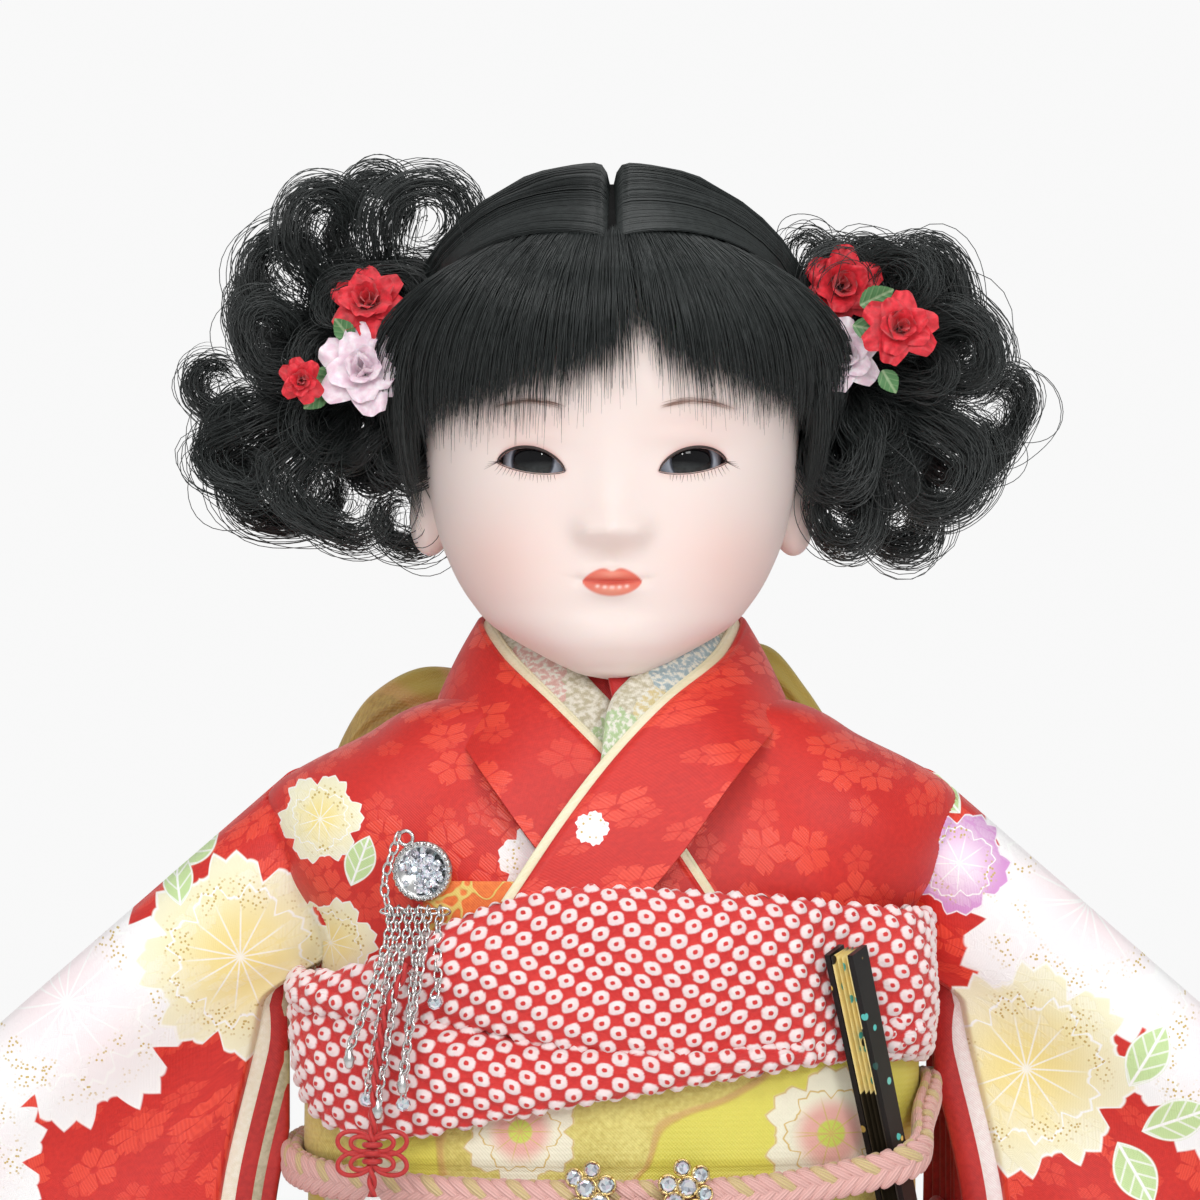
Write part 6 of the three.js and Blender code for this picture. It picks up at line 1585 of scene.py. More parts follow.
def scarf_fold(rows, puff, lean):
    """One puffed fold with its knots raised, and the map of its dots."""
    even = linspace(0, 2 * pi, 661)[:, None] + pi / 2
    turn = even - 0.3 * cos(even)
    rise, tall = between(rows, (180 - np.degrees(turn)) % 360 - 180)
    around = linspace(0, 2 * pi, 140)
    around = around - 0.35 * sin(around)
    pressed = 0.55 * exp(2 * (cos(turn - FAN_SPOT) - 1) / 0.18**2)  # under the fan
    thick = puff * (0.14 + 0.86 * soft_step(-sin(turn), 0.0, 0.6)) * (1 - pressed)
    sag = 0.5 * sin(9 * turn + 3 * sin(around)) * (cos(around) > 0)
    height = OBI_HIGH + rise + tall * sin(around)
    points = body_point(turn, height, SCARF_OUT + thick * (1 + cos(around)) + sag)
    along = run_along(points[:, 0])[:, None]
    over = run_along(points, 1)
    over = np.where(around > pi, over - over[:, -1:], over)
    v, u = swung(over, along, lean)
    maps = np.stack([u + 0.5 * sin(over * 0.4), v + 0.5 * sin(along * 0.23)], axis=-1) / DOT_PITCH
    offsets = [((maps + shift) % 1.0 - 0.5) * DOT_PITCH for shift in (0.0, 0.5)]
    nearest = np.minimum(*(np.linalg.norm(offset, axis=-1) for offset in offsets))
    normal = unit(np.cross(np.gradient(points, axis=0), np.gradient(points, axis=1)) + TINY)
    outward = np.sign((normal * (points - points.mean(axis=1, keepdims=True))).sum(axis=-1, keepdims=True))
    knots = 1.2 * (1 - soft_step(nearest, 0.4, 2.3))
    return points + normal * outward * knots[..., None], maps


def shibori_material():
    wires = Finish("tie-dyed silk", roughness=0.6, sheen_weight=0.2)
    cloth, dots = wires.uv("cloth"), wires.uv("dots")
    weave = wires.group(weave_tree, place=cloth)
    far = []
    for shift in (0.0, 0.5):
        moved = wires.outputs("VectorMath", dots, (shift, shift, 0), operation="ADD")[0]
        x, y, _ = wires.outputs("VectorMath", moved, operation="FRACTION")[0].split()
        far.append((abs(x - 0.5) ** 2.6 + abs(y - 0.5) ** 2.6) ** (1 / 2.6))
    ragged = wires.noise(cloth, 700.0) * 0.08 - 0.04
    nearest = far[0].math("MINIMUM", far[1]) + ragged
    white = nearest.smooth(0.06, 0.11) * nearest.smooth(0.31, 0.23)
    ground = weave["Shade"].mix((0.6, 0.012, 0.012), (0.74, 0.035, 0.028))
    paler = wires.noise(cloth, 260.0).mix((0.93, 0.66, 0.66), (0.93, 0.9, 0.88))
    raised = nearest.smooth(0.33, 0.12) * 1.5 + weave["Height"]
    return wires.show(base_color=white.mix(ground, paler), normal=wires.bump(raised, 0.4, 0.0005))


shibori = shibori_material()
for name, fold in FOLDS.items():
    points, dots = scarf_fold(*fold)
    label = f"obiage_{name}_fold"
    piece = cloth_piece(label, points, shibori, "dressed_body", "shibori_silk", "obiage", uv={"dots": dots})
    section = run_along(points[::20], 1)[:, -1].mean() * MM

# Braid: a flat plait of pink and gold silk cords tied over the sash.
# The cords cross in two slanting rows of fat stitches on each face; in one row every third is gold.

BRAID_Z = OBI_LOW + 20.0
BRAID_RADIUS = 2.5
LOBE_PITCH = 2.9
PLAIT_SLANT = radians(36)
STITCH = (3.7, 1.5, 1.45)  # half length, width and depth
PLAIT_PINK = (0.8, 0.46, 0.42)
PLAIT_GOLD = (0.66, 0.53, 0.24)


def braid_line():
    """The plait's middle round the body, higher in the back and at the left, and out over the fan."""
    turn = linspace(-pi, pi, 1441)
    over_fan = 7.4 * bell(turn, FAN_SPOT + 0.2, 0.22)
    z = BRAID_Z + 10.0 * (0.5 + 0.5 * sin(turn)) + 14.0 * bell(turn, 0, 0.65)
    return body_point(turn, z, OBI_OUT + 0.3 + BRAID_RADIUS + over_fan)


def plait_material():
    wires = Finish("plaited silk", roughness=0.42, sheen_weight=0.25)
    thread = (wires.uv("cloth").split()[0] * (2 * pi / 0.0007)).math("SINE")
    colour = (thread * 0.18 + 0.2).mix(wires.painted()[0], (0.5, 0.24, 0.2))
    return wires.show(base_color=colour, normal=wires.bump(thread, 0.4, 0.0003))


def even_spots(line, count, endpoint=True):
    """Points at even steps along a line."""
    run = run_along(line)
    spots = linspace(0, run[-1], count, endpoint=endpoint)
    return xyz(*(np.interp(spots, run, axis) for axis in line.T))


def plait_lobes(line):
    """Fat stitches in two slanting rows on each face of the plait, with their maps and colours."""
    count = int(run_along(line)[-1] / LOBE_PITCH / 3) * 3
    at = even_spots(line, count, endpoint=False)
    way = unit(np.roll(at, -1, axis=0) - np.roll(at, 1, axis=0))
    out = unit(np.cross(way, array([0, 0, 1.0])))
    up = np.cross(out, way)
    around, down = np.meshgrid(linspace(0, 2 * pi, 13), linspace(0, pi, 10))
    lobe = xyz(cos(down), sin(down) * cos(around), sin(down) * sin(around)) * STITCH
    parts, colours = [], []
    for number in range(count):
        for row, face in ((1, 1), (1, -1), (-1, 1), (-1, -1)):
            slant = way[number] * cos(PLAIT_SLANT) - up[number] * (row * face * sin(PLAIT_SLANT))
            axes = array([slant, np.cross(out[number], slant), out[number]])
            middle = at[number] + up[number] * (row * 1.25) + out[number] * (face * 0.85)
            middle = middle + way[number] * (LOBE_PITCH * 0.5 * (row > 0))
            parts.append(quads(middle + lobe @ axes, False))
            colours.append(PLAIT_GOLD if number % 3 == 0 and row > 0 else PLAIT_PINK)
    maps = np.stack([STITCH[1] * around, STITCH[0] * down], axis=-1) * MM
    return together(*parts), [maps] * len(parts), np.repeat(colours, around.size, axis=0)


lobes, lobe_maps, lobe_paint = plait_lobes(braid_line())
braid_look = {"uv": {"cloth": lobe_maps}, "paint": lobe_paint}
add_piece("obi_plait", lobes, plait_material(), "dressed_body", "braid_silk", "obi_braid", **braid_look)

# Brooch on the braid: cut glass stones in two sprays, joined by a gilt bar.
# Each stone sits in a ring of gilt wire and is held by four bent claws.


def metal_material(name, colour, rough):
    dull = array(colour) * 0.7
    return mottled(name, dull, colour, 500.0, 4.0, rough=(0.2, rough - 0.08), metallic=1.0)


def crystal_material():
    wires = Finish("cut glass", roughness=0.03, metallic=0.75, coat_weight=0.6)
    # painted sparkle: noise lightens the glass towards white
    painted_sparkle = wires.noise(wires.own_place(), 900.0) * 0.5
    return wires.show(base_color=painted_sparkle.mix(wires.painted()[0], (0.95, 0.97, 1.0)))


gilt = metal_material("gilt wire", (0.83, 0.62, 0.28), 0.25)
silver = metal_material("white metal", (0.78, 0.78, 0.77), 0.22)
cut_glass = crystal_material()
# shares of a stone's size: reach and height of its cut, from the flat top down
STONE_CUT = array([(0.0, 0.5), (0.55, 0.5), (0.8, 0.34), (1.0, 0.08), (1.0, -0.05), (0.5, -0.5)])
CLAW = array([(1.1, -0.5), (1.1, 0.1), (0.88, 0.34)])
# light, dark and coloured painted reflections, one picked at random for each facet
FACET_REFLECTIONS = array(
    [(0.95, 0.95, 0.97), (0.55, 0.62, 0.72), (0.2, 0.22, 0.28), (0.85, 0.75, 0.9), (0.7, 0.9, 0.95)]
)


def stone_parts(middle, size, facing):
    """A stone with eight sides; every facet has its own corners, so that it takes a painted reflection of its
    own.
    """
    grid, faces = turned(STONE_CUT * size, (0, 0), 8)
    corners = grid.reshape(-1, 3)[faces].reshape(-1, 3)
    return aimed(corners, facing) + middle, np.arange(len(corners)).reshape(-1, 4)


def add_stones(name, stones, body, node):
    """Flat-faced stones as one piece, each facet in its own painted reflection colour."""
    shape = together(*stones)
    tint = FACET_REFLECTIONS[rng.integers(0, len(FACET_REFLECTIONS), len(shape[1]))]
    look = {"paint": np.repeat(tint, 4, axis=0), "smooth": False}
    add_piece(name, shape, cut_glass, body, "crystal_gold", node, **look)


def ring_line(middle, reach_x, reach_y, count=40):
    """A level oval about a middle."""
    t = linspace(0, 2 * pi, count)
    return array(middle) + xyz(reach_x * cos(t), reach_y * sin(t), 0.0)


def claw_parts(middle, size, facing):
    """A ring and four claws that hold one stone."""
    lines = [(ring_line((0, 0, -0.1 * size), size * 1.06, size * 1.06, 25), 0.16)]
    reach, height = CLAW.T * size
    for angle in pi / 4 + pi / 2 * np.arange(4):
        lines.append((xyz(reach * cos(angle), reach * sin(angle), height), 0.13))
    bent = (tubes(line, thick * size, 6) for line, thick in lines)
    return [(aimed(points, facing) + middle, faces) for points, faces in bent]


BROOCH_X = 5.0
brooch_y = front_at(BROOCH_X, BRAID_Z, OBI_OUT + 5.8) - 1.6
# across from the brooch's middle, up, size
STONES = [
    (-12.5, 4.4, 1.6), (-9, 6, 1.5), (-10.2, 2.4, 1.9), (-6.2, 3, 1.7), (-7.6, -0.6, 1.9), (-12, -1.2, 1.5),
    (-4, -1.6, 1.5), (0, -2.4, 1.4), (3.8, -1.7, 1.5), (7.2, -0.4, 1.9), (6, 3.2, 1.7), (9.8, 2.6, 1.9),
    (8.8, 6.4, 1.5), (12.4, 5.0, 1.6), (13.2, 1.2, 1.5), (11.4, -1.6, 1.6),
]
stones, claws = [], []
for across, up, size in STONES:
    middle = array([BROOCH_X + across, brooch_y + 0.012 * across**2, BRAID_Z + up])
    facing = unit(array([0.02 * across, -1.0, 0.06 * rng.normal()]))
    stones.append(stone_parts(middle, size, facing))
    claws += claw_parts(middle, size, facing)
t = linspace(-1, 1, 40)
bar_line = xyz(BROOCH_X + 11 * t, brooch_y + 0.9 + 1.4 * t * t, BRAID_Z - 3.4 + 3.2 * t * t)
setting = together(*claws, tubes(bar_line, 0.7, 8))
add_stones("brooch_stones", stones, "dressed_body", "obi_brooch")
add_piece("brooch_setting", setting, gilt, "dressed_body", "crystal_gold", "obi_brooch")

# Under-sash: soft red silk crepe wound low on the obi.
# It is knotted at the left hip, and its gathered tails hang in pleats.

SHIGOKI_Z = OBI_LOW + 7.0
HIP_Y = 16.0
crepe = cloth_material("red crepe sash", (0.36, 0.008, 0.012), (0.56, 0.02, 0.024), 0.55)
SASH_DRESS = (crepe, "dressed_body", "red_silk", "shigoki_sash")
wrap_rows = linspace(0, 2 * pi, 41)[:, None]
wrap_turn = linspace(0, 2 * pi, 361) + pi / 2
gather = 0.35 * sin(5 * wrap_rows + 2 * sin(3 * wrap_turn)) * (cos(wrap_rows) > 0)
wrap_out = OBI_OUT + 0.4 + 1.4 * (1 + cos(wrap_rows)) + gather
wrap = body_point(wrap_turn, SHIGOKI_Z + 6.8 * sin(wrap_rows), wrap_out)
wrap_piece = cloth_piece("shigoki_wrap", wrap, *SASH_DRESS)


def side_at(y, grow):
    """Reach of the body's left side at a depth."""
    return (BODY_WIDE + grow) * round_off(np.minimum(0.98, np.abs(y) / (1.03 * BODY_DEEP + grow)))


tail_z = linspace(OBI_HIGH + 14, 113, 100)[:, None]
gathered = soft_step(tail_z, SHIGOKI_Z + 20, OBI_HIGH + 14)
tail_share = linspace(-1, 1, 161)
tail_y = HIP_Y - 6 * gathered + tail_share * (9 + 3.6 * soft_step(-tail_z, -260, -120) - 3 * gathered)
pleats = 2.3 * sin(tail_share * 19) * (0.75 + 0.25 * sin(0.02 * tail_z))
tail_x = side_at(tail_y, OBI_OUT + 8.4) + 1.6 - 4.5 * gathered + pleats * (1 - 0.5 * gathered)
tail_piece = cloth_piece("shigoki_tail", xyz(tail_x, tail_y, tail_z), *SASH_DRESS, thick=0.9)

knot_row = linspace(0, pi, 40)[:, None]
knot_turn = linspace(0, 2 * pi, 81)
crush = 1 + 0.12 * sin(6 * knot_turn + 3 * knot_row) * sin(knot_row)
knot_x = side_at(HIP_Y, OBI_OUT + 7.0) + 4.8 * crush * sin(knot_row) * cos(knot_turn)
knot_z = SHIGOKI_Z + 7.8 * crush * sin(knot_row) * sin(knot_turn)
cloth_piece("shigoki_knot", xyz(knot_x, HIP_Y + 8.4 * crush * cos(knot_row), knot_z), *SASH_DRESS)

# Obi knot at the back: a square drum with its tail, a rolled hand band and two puffed wings.
# All are folded from the sash's own brocade; the wings use the same brocade in darker colours.

DRUM_DEPTH = 20.0
DRUM_TALL = 70.0
DRUM_HALF = 36.0
TAIL_HALF = 33.0
TAIL_DROP = 36.0
drum_high = solid_box("obi_drum")[1]
drum_middle = drum_high[1] - DRUM_DEPTH / 2
drum_top = drum_high[2]
corner_turn = linspace(0, 2 * pi, 161)[:, None]
drum_x = linspace(-DRUM_HALF, DRUM_HALF, 90)
drum_half_depth = DRUM_DEPTH / 2 - 1.2 + 0.6 * cos(drum_x / DRUM_HALF * 1.4)
drum_y = drum_middle + rounded(cos(corner_turn), 0.45) * drum_half_depth
drum_z = drum_top - DRUM_TALL / 2 + rounded(sin(corner_turn), 0.3) * (DRUM_TALL / 2 - 1.2)
drum = xyz(drum_x, drum_y, drum_z)
drum_piece = cloth_piece("obi_drum_brocade", drum, *BROCADE_DRESS, "obi_drum", thick=2.0)
drop = linspace(0, 1, 50)[:, None]
tail_x = linspace(-TAIL_HALF, TAIL_HALF, 80)
tail_z = drum_top - DRUM_TALL + 2 - TAIL_DROP * drop
tail = xyz(tail_x, drum_middle + 0.5 * sin(0.12 * tail_x) * drop, tail_z)
drum_tail_piece = cloth_piece("obi_tail_brocade", tail, *BROCADE_DRESS, "obi_drum", thick=2.0)

band_low, band_high, band_middle = solid_box("obi_hand_band")
band_row = linspace(0, 2 * pi, 61)[:, None]
band_x = linspace(-1, 1, 120)
slim = quarter_round((1 - np.abs(band_x)) / 0.06) * (1 - 0.05 * (0.5 + 0.5 * sin(4 * band_row + 3 * band_x)))
roll = xyz(band_x, rounded(cos(band_row), 0.6) * slim, rounded(sin(band_row), 0.6) * slim)
band = band_middle + roll * (band_high - band_low) / 2
cloth_piece("obi_hand_band_brocade", band, *BROCADE_DRESS, "obi_hand_band")

# share out from the middle, height of each loop's top above the neck's foot; the right loop stands lower
WING_TOP = {
    1: [(0, -8), (0.25, 8), (0.45, 13), (0.58, 11.5), (0.7, 3), (0.82, -7), (1, -13)],
    -1: [(0, -8), (0.3, 3), (0.5, 7), (0.7, 7.5), (0.88, 1), (1, -7)],
}


def wing_points(side):
    """A puffed loop of the bow, gathered at the middle and full towards its end."""
    share = linspace(0, 1, 90)
    around = linspace(0, 2 * pi, 181)[:, None]
    low, high = drum_top + 0.8 + 10 * share, NECK_BASE + between(WING_TOP[side], share)[0]
    close = quarter_round((1 - share) / 0.14)
    pleat = 0.5 - 0.5 * cos(7 * pi * sin(around) + 4 * share)
    puff = (4.6 + 3.6 * sin(pi * share**0.8)) * (1 - (0.42 - 0.3 * share) * pleat)
    z = (low + high) / 2 + (high - low) / 2 * sin(around) * (0.35 + 0.65 * close)
    y = drum_middle - DRUM_DEPTH / 2 + 6 - 8 * share + puff * cos(around) * close
    return xyz(side * (0.8 + 57.7 * share), y, z)


bow_brocade = obi_material("bow brocade", (0.34, 0.2, 0.05), (0.56, 0.38, 0.1), (0.5, 0.36, 0.06))
for side, name in SIDES:
    node, points = f"obi_{name}_wing", wing_points(side)
    cloth_piece(f"{node}_brocade", points, bow_brocade, "dressed_body", "obi_brocade", node)

# Chest case: a flat purse of stiff card, padded and covered with orange brocade.
# It is tucked into the front of the kimono, its flap outwards.


def case_material():
    wires = Finish("orange brocade", roughness=0.45, sheen_weight=0.1)
    x, _, z = wires.own_place().split()
    flat = wires.outputs("CombineXYZ", x, z)[0]
    weave = wires.group(weave_tree, place=flat, thread=0.0006)
    swirl = wires.noise(flat, 170.0, 1.0)
    line = swirl.smooth(0.5, 0.52) * swirl.smooth(0.57, 0.545)
    ground = weave["Shade"].mix((0.68, 0.1, 0.012), (0.84, 0.2, 0.03))
    normal = wires.bump(line + weave["Height"] * 0.5, 0.5, 0.0003)
    return wires.show(base_color=line.mix(ground, (0.75, 0.55, 0.14)), normal=normal)


CASE = array([26.0, 5.0, 28.0])
FLAP = array([26.2, 1.0, 11.0])
FLAP_SPOT = array([0, -2.7, 8.6])
CASE_YAW = radians(-12)


def yawed(points):
    """Points turned with the case about its upright middle."""
    x, y, z = np.moveaxis(points, -1, 0)
    return xyz(*swung(x, y, CASE_YAW), z)


def purse(size, puff):
    """A flat padded purse: a rounded outline, bulging faces and soft edges."""
    share = concatenate([linspace(0, 0.93, 16), np.ones(5), linspace(0.93, 0, 16)])[:, None]
    depth = concatenate([-np.ones(16), linspace(-0.8, 0.8, 5), np.ones(16)])[:, None]
    depth = depth * (1 + puff * (1 - share**2) * (np.abs(depth) > 0.9))
    turn = linspace(0, 2 * pi, 121)
    return xyz(share * rounded(cos(turn), 0.22), depth, share * rounded(sin(turn), 0.22)) * size / 2


case_grids = (purse(CASE - 0.3, 0.15), purse(FLAP, 0.5) + FLAP_SPOT)
case_middle = solid_box("chest_case")[2]
case_shape = together(*(quads(yawed(grid) + case_middle, False) for grid in case_grids))
add_piece("chest_case_brocade", case_shape, case_material(), "case", "orange_brocade", "chest_case")

# Silver ornament: a white-metal disc with a beaded rim, filled with loose glass chips.
# It is pinned to the upper corner of the case, and a chain hangs from its rim.

disc_middle = solid_box("silver_medallion")[2]
DISC_ROWS = [(0, -1.0), (5.4, -1.0), (6, -0.6), (6, 0.4), (5.4, 0.9), (4.8, 0.7), (4.6, 0.1), (0, 0.1)]
BEAD_HALF = array([0, 0, 0.05])
CHIPS = 44
disc_parts = [turned(DISC_ROWS, (0, 0), 60)]
for bead in ring_line((0, 0, 0.95), 5.5, 5.5, 27)[:-1]:
    disc_parts.append(rounded_bar([bead - BEAD_HALF, bead + BEAD_HALF], [0.5, 0.5]))
disc_parts.append(tubes(ring_line((-3.4, 6.6, 0), 1.4, 1.4, 30), 0.4, 6))
points, faces = together(*disc_parts)
forward = array([[1, 0, 0], [0, 0, 1], [0, -1, 0]])  # turns the disc's face to the front
disc_shape = yawed(points @ forward) + disc_middle, faces
add_piece("silver_disc", disc_shape, silver, "case", "silver", "silver_medallion")
chips = []
for _ in range(CHIPS):
    spot = unit(rng.normal(size=2)) * 4.1 * sqrt(rng.random())
    middle = yawed(array([spot[0], -0.5, spot[1]])) + disc_middle
    facing = unit(yawed(TO_FRONT) + 0.5 * rng.normal(size=3))
    chips.append(stone_parts(middle, rng.uniform(0.6, 1.05), facing))
add_stones("disc_glass_chips", chips, "case", "silver_medallion")

# Chain drops: oval links of white-metal wire, closed one through the other.
# They hang from a chained bar under the ornament, and each ends in a metal bead or a glass drop.

chain_low, chain_high, _ = solid_box("silver_chains")
BAR = array([disc_middle[0], chain_high[1] - 1.4, chain_high[2] - 1.2])
FRONT_Y = chain_low[1] + 1.6 - BAR[1]
LINK_PITCH = 1.75
END_DROP = array([0, 0, 1.6])


def smooth_line(points):
    """A fine smooth line through a few points."""
    rows = np.column_stack([np.arange(len(points)), points])
    return xyz(*between(rows, linspace(0, len(points) - 1, 400)))


def chain_parts(points):
    """Oval links along a line, every other one turned a quarter."""
    line = smooth_line(points)
    spots = even_spots(line, max(2, int(run_along(line)[-1] / LINK_PITCH)))
    t = linspace(0, 2 * pi, 19)[:, None]
    parts = []
    for number, (spot, way) in enumerate(zip(spots, unit(np.gradient(spots, axis=0)))):
        aside = unit(np.cross(way, array([0.2, -1.0, 0.1])))
        lean = radians(40 if number % 2 else -50)
        flat = aside * cos(lean) + np.cross(way, aside) * sin(lean)
        parts.append(tubes(spot + 1.3 * cos(t) * way + 0.85 * sin(t) * flat, 0.27, 6))
    return parts


# offset along the bar, drop in millimetres, and sideways drift of the end
DROPS = [(-6.2, 27, -8), (-4.6, 35, -6), (-2.6, 37, -6), (-0.6, 36, -3), (1.2, 32, -5), (3.6, 16, -1)]
chains = chain_parts(BAR + array([(-7, 0, 0), (0, -0.4, 0), (4.2, -1, 0)]))
drops = []
for number, (x, drop, drift) in enumerate(DROPS):
    deep = FRONT_Y + 0.9 * (number % 2)
    line = [(x, -0.6, 0), (x - 0.6, deep / 2 - 0.6, -5), (x + 0.4 * drift, deep, -14)]
    line = BAR + array([*line, (x + drift, deep - 0.3, -drop)])
    chains += chain_parts(line)
    end = line[-1]
    if number % 2:
        drops.append(stone_parts(end - END_DROP, 1.5, array([0.1, -1.0, 0.1])))
    else:
        chains.append(rounded_bar([end, end - END_DROP, end - 1.75 * END_DROP], [0.5, 1.2, 0.9]))
rim_ring = disc_middle + array([-5.0, -0.6, 6.6])
beside = (rim_ring[0] - 2.5, rim_ring[1] - 1, BAR[2] + 6)
chains += chain_parts([rim_ring, beside, BAR + array([-6.6, -0.6, 0])])
add_piece("silver_link_chains", together(*chains), silver, "chains", "silver", "silver_chains")
add_stones("chain_glass_drops", drops, "chains", "silver_chains")

# Red cord: two strands of silk cord twisted together, with a flat looped knot.
# It hangs from the case and ends in a tassel of white silk threads bound round the neck.

tassel_low, tassel_high, tassel_middle = solid_box("white_tassel")
cord_high, cord_middle = solid_box("red_cord")[1:]
CORD_TOP = array([tassel_middle[0], cord_middle[1], cord_high[2] - 1.0])
CORD_STEPS = array([(7, 0, 0), (2, 0, -12), (0, 0, -34), (0, 0, -46)])
PLY_RADIUS = 0.52
fine_line = smooth_line(CORD_TOP + CORD_STEPS)
cord_line = even_spots(fine_line, 160)
twist = linspace(0, 2 * pi * 7, 160)[:, None]
cord_side = unit(np.cross(unit(np.gradient(cord_line, axis=0)), -TO_FRONT))
ply = 0.5 * (cos(twist) * cord_side - sin(twist) * TO_FRONT)
plies = array([cord_line + ply, cord_line - ply])
CORD_SHADES = ((0.34, 0.006, 0.01), (0.6, 0.025, 0.02))
CORD_FEEL = {"raised": (0.5, 0.0003), "roughness": 0.5, "sheen_weight": 0.2}
red_cord_silk = mottled("red silk cord", *CORD_SHADES, 1500.0, 3.0, **CORD_FEEL)
CORD_DRESS = (red_cord_silk, "tassel", "red_silk", "red_cord")
cord_piece = add_piece("red_twisted_cord", tubes(plies, PLY_RADIUS, 8), *CORD_DRESS)

KNOT = CORD_TOP - array([0, 0, 37])
knot_parts = []
t = linspace(0, 2 * pi, 40)
for side in (1, -1):
    for row in (1, -1):
        for inset in (1.0, 0.62):
            out = (3.4 - 3.4 * cos(t)) * inset
            loop = xyz(side * out, 0.5 * cos(t) - 0.7, row * (1.6 + 2.3 * inset * sin(t) + 0.12 * out))
            knot_parts.append(tubes(KNOT + loop, 0.5, 8))
for height in (-1.6, 0.0, 1.6):
    knot_parts.append(tubes(ring_line(KNOT + array([0, 0, height]), 1.5, 1.3), 0.6, 8))
knot_piece = add_piece("red_looped_knot", together(*knot_parts), *CORD_DRESS)

THREADS = 260
TASSEL_TOP = tassel_high[2]
TASSEL_TALL = TASSEL_TOP - tassel_low[2]
angle = 2 * pi * rng.random((THREADS, 1))
depth = sqrt(rng.random((THREADS, 1)))
fall = linspace(0, 1, 14)
reach = depth * (1.2 + 1.9 * soft_step(fall, 0.0, 0.1) + 0.9 * fall) * (1 - 0.25 * bell(fall, 0.2, 0.05))
length = TASSEL_TALL * (0.96 + 0.04 * rng.random((THREADS, 1)))
middle_x, middle_y, _ = CORD_TOP
threads = xyz(middle_x + reach * cos(angle), middle_y + reach * sin(angle), TASSEL_TOP - length * fall)
HEAD_DROPS = array([(0.2, 0), (1.6, -0.8), (2.7, -2.6), (2.9, -4.6), (2.3, -6.6)])
tassel_head = turned(HEAD_DROPS + array([0, TASSEL_TOP]), CORD_TOP, 32)
binding = tubes(ring_line((middle_x, middle_y, TASSEL_TOP - 0.2 * TASSEL_TALL), 2.4, 2.4), 0.45, 8)
TASSEL_SHADES = ((0.74, 0.72, 0.7), (0.92, 0.91, 0.89))
white_silk = mottled("white silk threads", *TASSEL_SHADES, 1200.0, 3.0, roughness=0.45, sheen_weight=0.3)
tassel_shape = together(tubes(threads, 0.2), tassel_head, binding)
TASSEL_DRESS = (white_silk, "tassel", "white_silk", "white_tassel")
tassel_piece = add_piece("white_silk_tassel", tassel_shape, *TASSEL_DRESS)
run_along(fine_line)[-1] * MM

# Folding fan: lacquered wooden guards sprinkled with shell and gold, held by one rivet.
# A gold paper leaf with painted specks is folded between them; below it run only the dark sticks.

FAN_X = 46.0
FAN_TOP = array([FAN_X, front_at(FAN_X, OBI_HIGH + 6, OBI_OUT + 8.4) - 3.4, OBI_HIGH + 15])
FAN_LENGTH = 72.0
ABOUT_Z, ABOUT_X, ABOUT_Y = radians([54, 16, -12])
PLEATS = 7


def fan_place(x, y, z):
    """Points of an upright fan, laid aslant into the sash."""
    x, y = swung(x, y, ABOUT_Z)
    y, z = swung(y, z, ABOUT_X)
    z, x = swung(z, x, ABOUT_Y)
    return xyz(x, y, z) + FAN_TOP


def lacquer_material():
    wires = Finish("sprinkled black lacquer", roughness=0.3, specular_ior_level=0.25)
    place = wires.own_place()
    far, colour, _ = cells(wires, place, 420.0, dimensions="3D")
    chance, kind, _ = wires.outputs("SeparateColor", colour)
    dot = far.smooth(0.36, 0.28) * chance.smooth(0.9, 0.93)
    shell = kind.smooth(0.4, 0.6).mix((0.75, 0.5, 0.12), (0.1, 0.55, 0.5))
    black = wires.noise(place, 200.0).mix((0.004, 0.004, 0.004), (0.014, 0.012, 0.012))
    return wires.show(base_color=dot.mix(black, shell))


def gold_paper_material():
    wires = Finish("gold paper")
    place = wires.own_place()
    foil = wires.noise(place, 600.0, 4.0)
    # painted brightness of the leaf: 1 on the outer folds, 0.25 on the inner folds as painted shadow, 0 on the
    # black sticks
    fold = wires.painted()[1]
    gold = foil.mix((0.86, 0.64, 0.16), (0.95, 0.85, 0.45))
    gold = fold.smooth(0.25, 0.6).mix((0.03, 0.022, 0.012), gold)
    far, colour, _ = cells(wires, place, 480.0, dimensions="3D")
    chance, kind, _ = wires.outputs("SeparateColor", colour)
    ink = kind.smooth(0.6, 0.7).mix((0.02, 0.02, 0.02), (0.08, 0.45, 0.4))
    mark = chance.smooth(0.7, 0.75) * far.smooth(0.5, 0.4) * fold.smooth(0.05, 0.2)
    return wires.show(base_color=mark.mix(gold, ink), roughness=foil * -0.2 + 0.5)


lacquer = lacquer_material()
for node in ("fan_front_guard", "fan_back_guard"):
    finish_node(node, lacquer, bevel=0.3)
finish_node("fan_rivet", silver)
leaf_z = linspace(-0.4, 1 - FAN_LENGTH, 60)[:, None]
inner_fold = np.arange(PLEATS) % 2
zigzag = np.where(inner_fold, 2.7, -2.7) * (1 + 0.28 * leaf_z / FAN_LENGTH)
leaf_shape = quads(fan_place(zigzag, linspace(-1.7, 1.7, PLEATS), leaf_z), False)
paper = leaf_z > -0.42 * FAN_LENGTH
# painted shadow darkens every inner fold to near black; below the paper the sticks are black
fold_shadow_and_sticks = np.repeat((np.where(inner_fold, 0.25, 1.0) * paper).reshape(-1, 1), 3, axis=1)
LEAF_DRESS = (gold_paper_material(), "fan", "gold_paper", "fan_leaf")
leaf = add_piece("fan_folded_leaf", leaf_shape, *LEAF_DRESS, paint=fold_shadow_and_sticks, smooth=False)
thicken(leaf, 0.2, offset=-1.0)

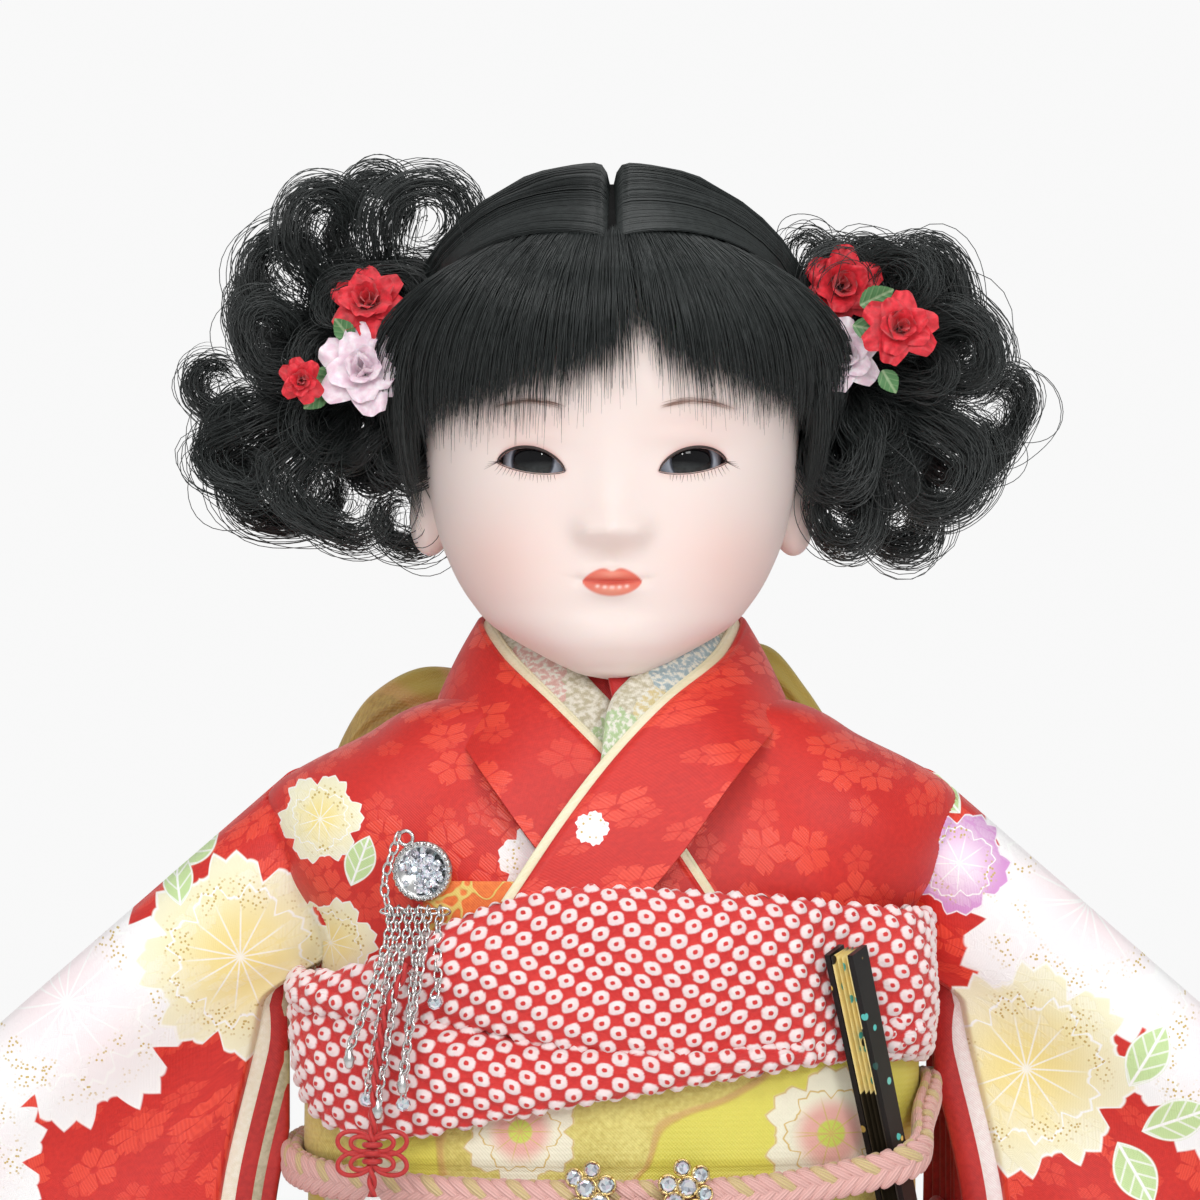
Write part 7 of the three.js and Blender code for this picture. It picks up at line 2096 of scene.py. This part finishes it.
# Feet: white cotton split-toed socks, cut and sewn from flat pieces.
# They stand on wooden sandals lacquered red.


def soft_copy(node, name, material, voxel, soften):
    """A smooth soft version of a solid of the frame."""
    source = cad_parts[node]
    mesh = source.data.copy()
    mesh.transform(source.matrix_world)
    mesh.materials.clear()
    mesh.materials.append(material)
    piece = bpy.data.objects.new(name, mesh)
    bpy.context.scene.collection.objects.link(piece)
    return remeshed(piece, voxel, soften)


def sock_material():
    wires = Finish("white cotton sock", roughness=0.85)
    weave = wires.group(weave_tree, place=wires.own_place(), thread=0.0005)
    colour = weave["Shade"].mix((0.8, 0.79, 0.76), (0.9, 0.9, 0.88))
    return wires.show(base_color=colour, normal=wires.bump(weave["Height"], 0.4, 0.0003))


cotton = sock_material()
SANDAL_SHADES = ((0.4, 0.012, 0.012), (0.6, 0.03, 0.022))
SANDAL_FEEL = {"raised": (0.25, 0.0003), "roughness": 0.3, "coat_weight": 0.3}
sandal = mottled("red lacquered sandal", *SANDAL_SHADES, 260.0, 4.0, **SANDAL_FEEL)
for _, name in SIDES:
    sock = soft_copy(f"{name}_tabi", f"{name}_sock", cotton, voxel=0.7, soften=6)
    dress(sock, "dressed_body", "white_cotton", f"{name}_tabi")
    finish_node(f"{name}_zori", sandal, bevel=0.6, segments=3)

# Stage: a white paper sweep, two large soft boxes and an even room light.
# Two small lamps spark in the eyes, and one from above lights the hair.

FLOOR = 2500.0
edge = linspace(-FLOOR, FLOOR, 12)
floor_shape = quads(xyz(edge, edge[:, None], -0.2), False)
white_paper = mottled("white paper", (0.82, 0.82, 0.82), (0.86, 0.86, 0.86), 60.0, roughness=0.9)
add_mesh("floor", floor_shape, white_paper)

ROOM_LIGHT = 0.5
ROOM_SEEN = 0.945  # how bright the room looks to the camera
world = bpy.data.worlds.new("studio")
bpy.context.scene.world = world
world.use_nodes = True
room = Wires(world.node_tree)
background = world.node_tree.nodes["Background"]
room.feed((1.0, 1.0, 1.0), background.inputs["Color"])
rays = {ray.socket.name: ray for ray in room.outputs("LightPath")}
seen = rays["Is Camera Ray"].math("MAXIMUM", rays["Is Transmission Ray"])
room.feed(seen * (ROOM_SEEN - ROOM_LIGHT) + ROOM_LIGHT, background.inputs["Strength"])

LOOK_AT = Vector((-0.0024, -0.03, 0.352))
# place in metres, width and height, watts
LAMPS = {
    "key_box": ((-0.5, -1.6, 1.3), (0.45, 0.45), 9.0),
    "fill_box": ((0.75, -1.5, 1.0), (0.45, 0.45), 7.4),
    "spark_1": ((-0.2, -1.4, 0.68), (0.1, 0.1), 1.2),
    "spark_2": ((0.2, -1.4, 0.68), (0.1, 0.1), 1.2),
    "top_box": ((0.0, -0.2, 1.7), (1.2, 0.8), 6.0),
}
for name, (place, size, watts) in LAMPS.items():
    light = bpy.data.lights.new(name, "AREA")
    light.shape = "RECTANGLE"
    light.size, light.size_y = size
    light.energy = watts
    lamp = bpy.data.objects.new(name, light)
    lamp.location = place
    lamp.rotation_euler = (LOOK_AT - Vector(place)).to_track_quat("-Z", "Y").to_euler()
    bpy.context.scene.collection.objects.link(lamp)

CAMERA_FAR = 1.45
FRAME_WIDTH = 0.24  # what the picture takes in at the doll
camera_data = bpy.data.cameras.new("camera")
camera_data.sensor_width = 36.0
camera_data.lens = camera_data.sensor_width * CAMERA_FAR / FRAME_WIDTH
camera_data.clip_start, camera_data.clip_end = 0.05, 50.0
camera = bpy.data.objects.new("camera", camera_data)
camera.location = LOOK_AT + Vector((0, -CAMERA_FAR, 0))
camera.rotation_euler = (radians(90), 0, 0)
bpy.context.scene.collection.objects.link(camera)
bpy.context.scene.camera = camera
bpy.context.scene.view_settings.view_transform = "Standard"
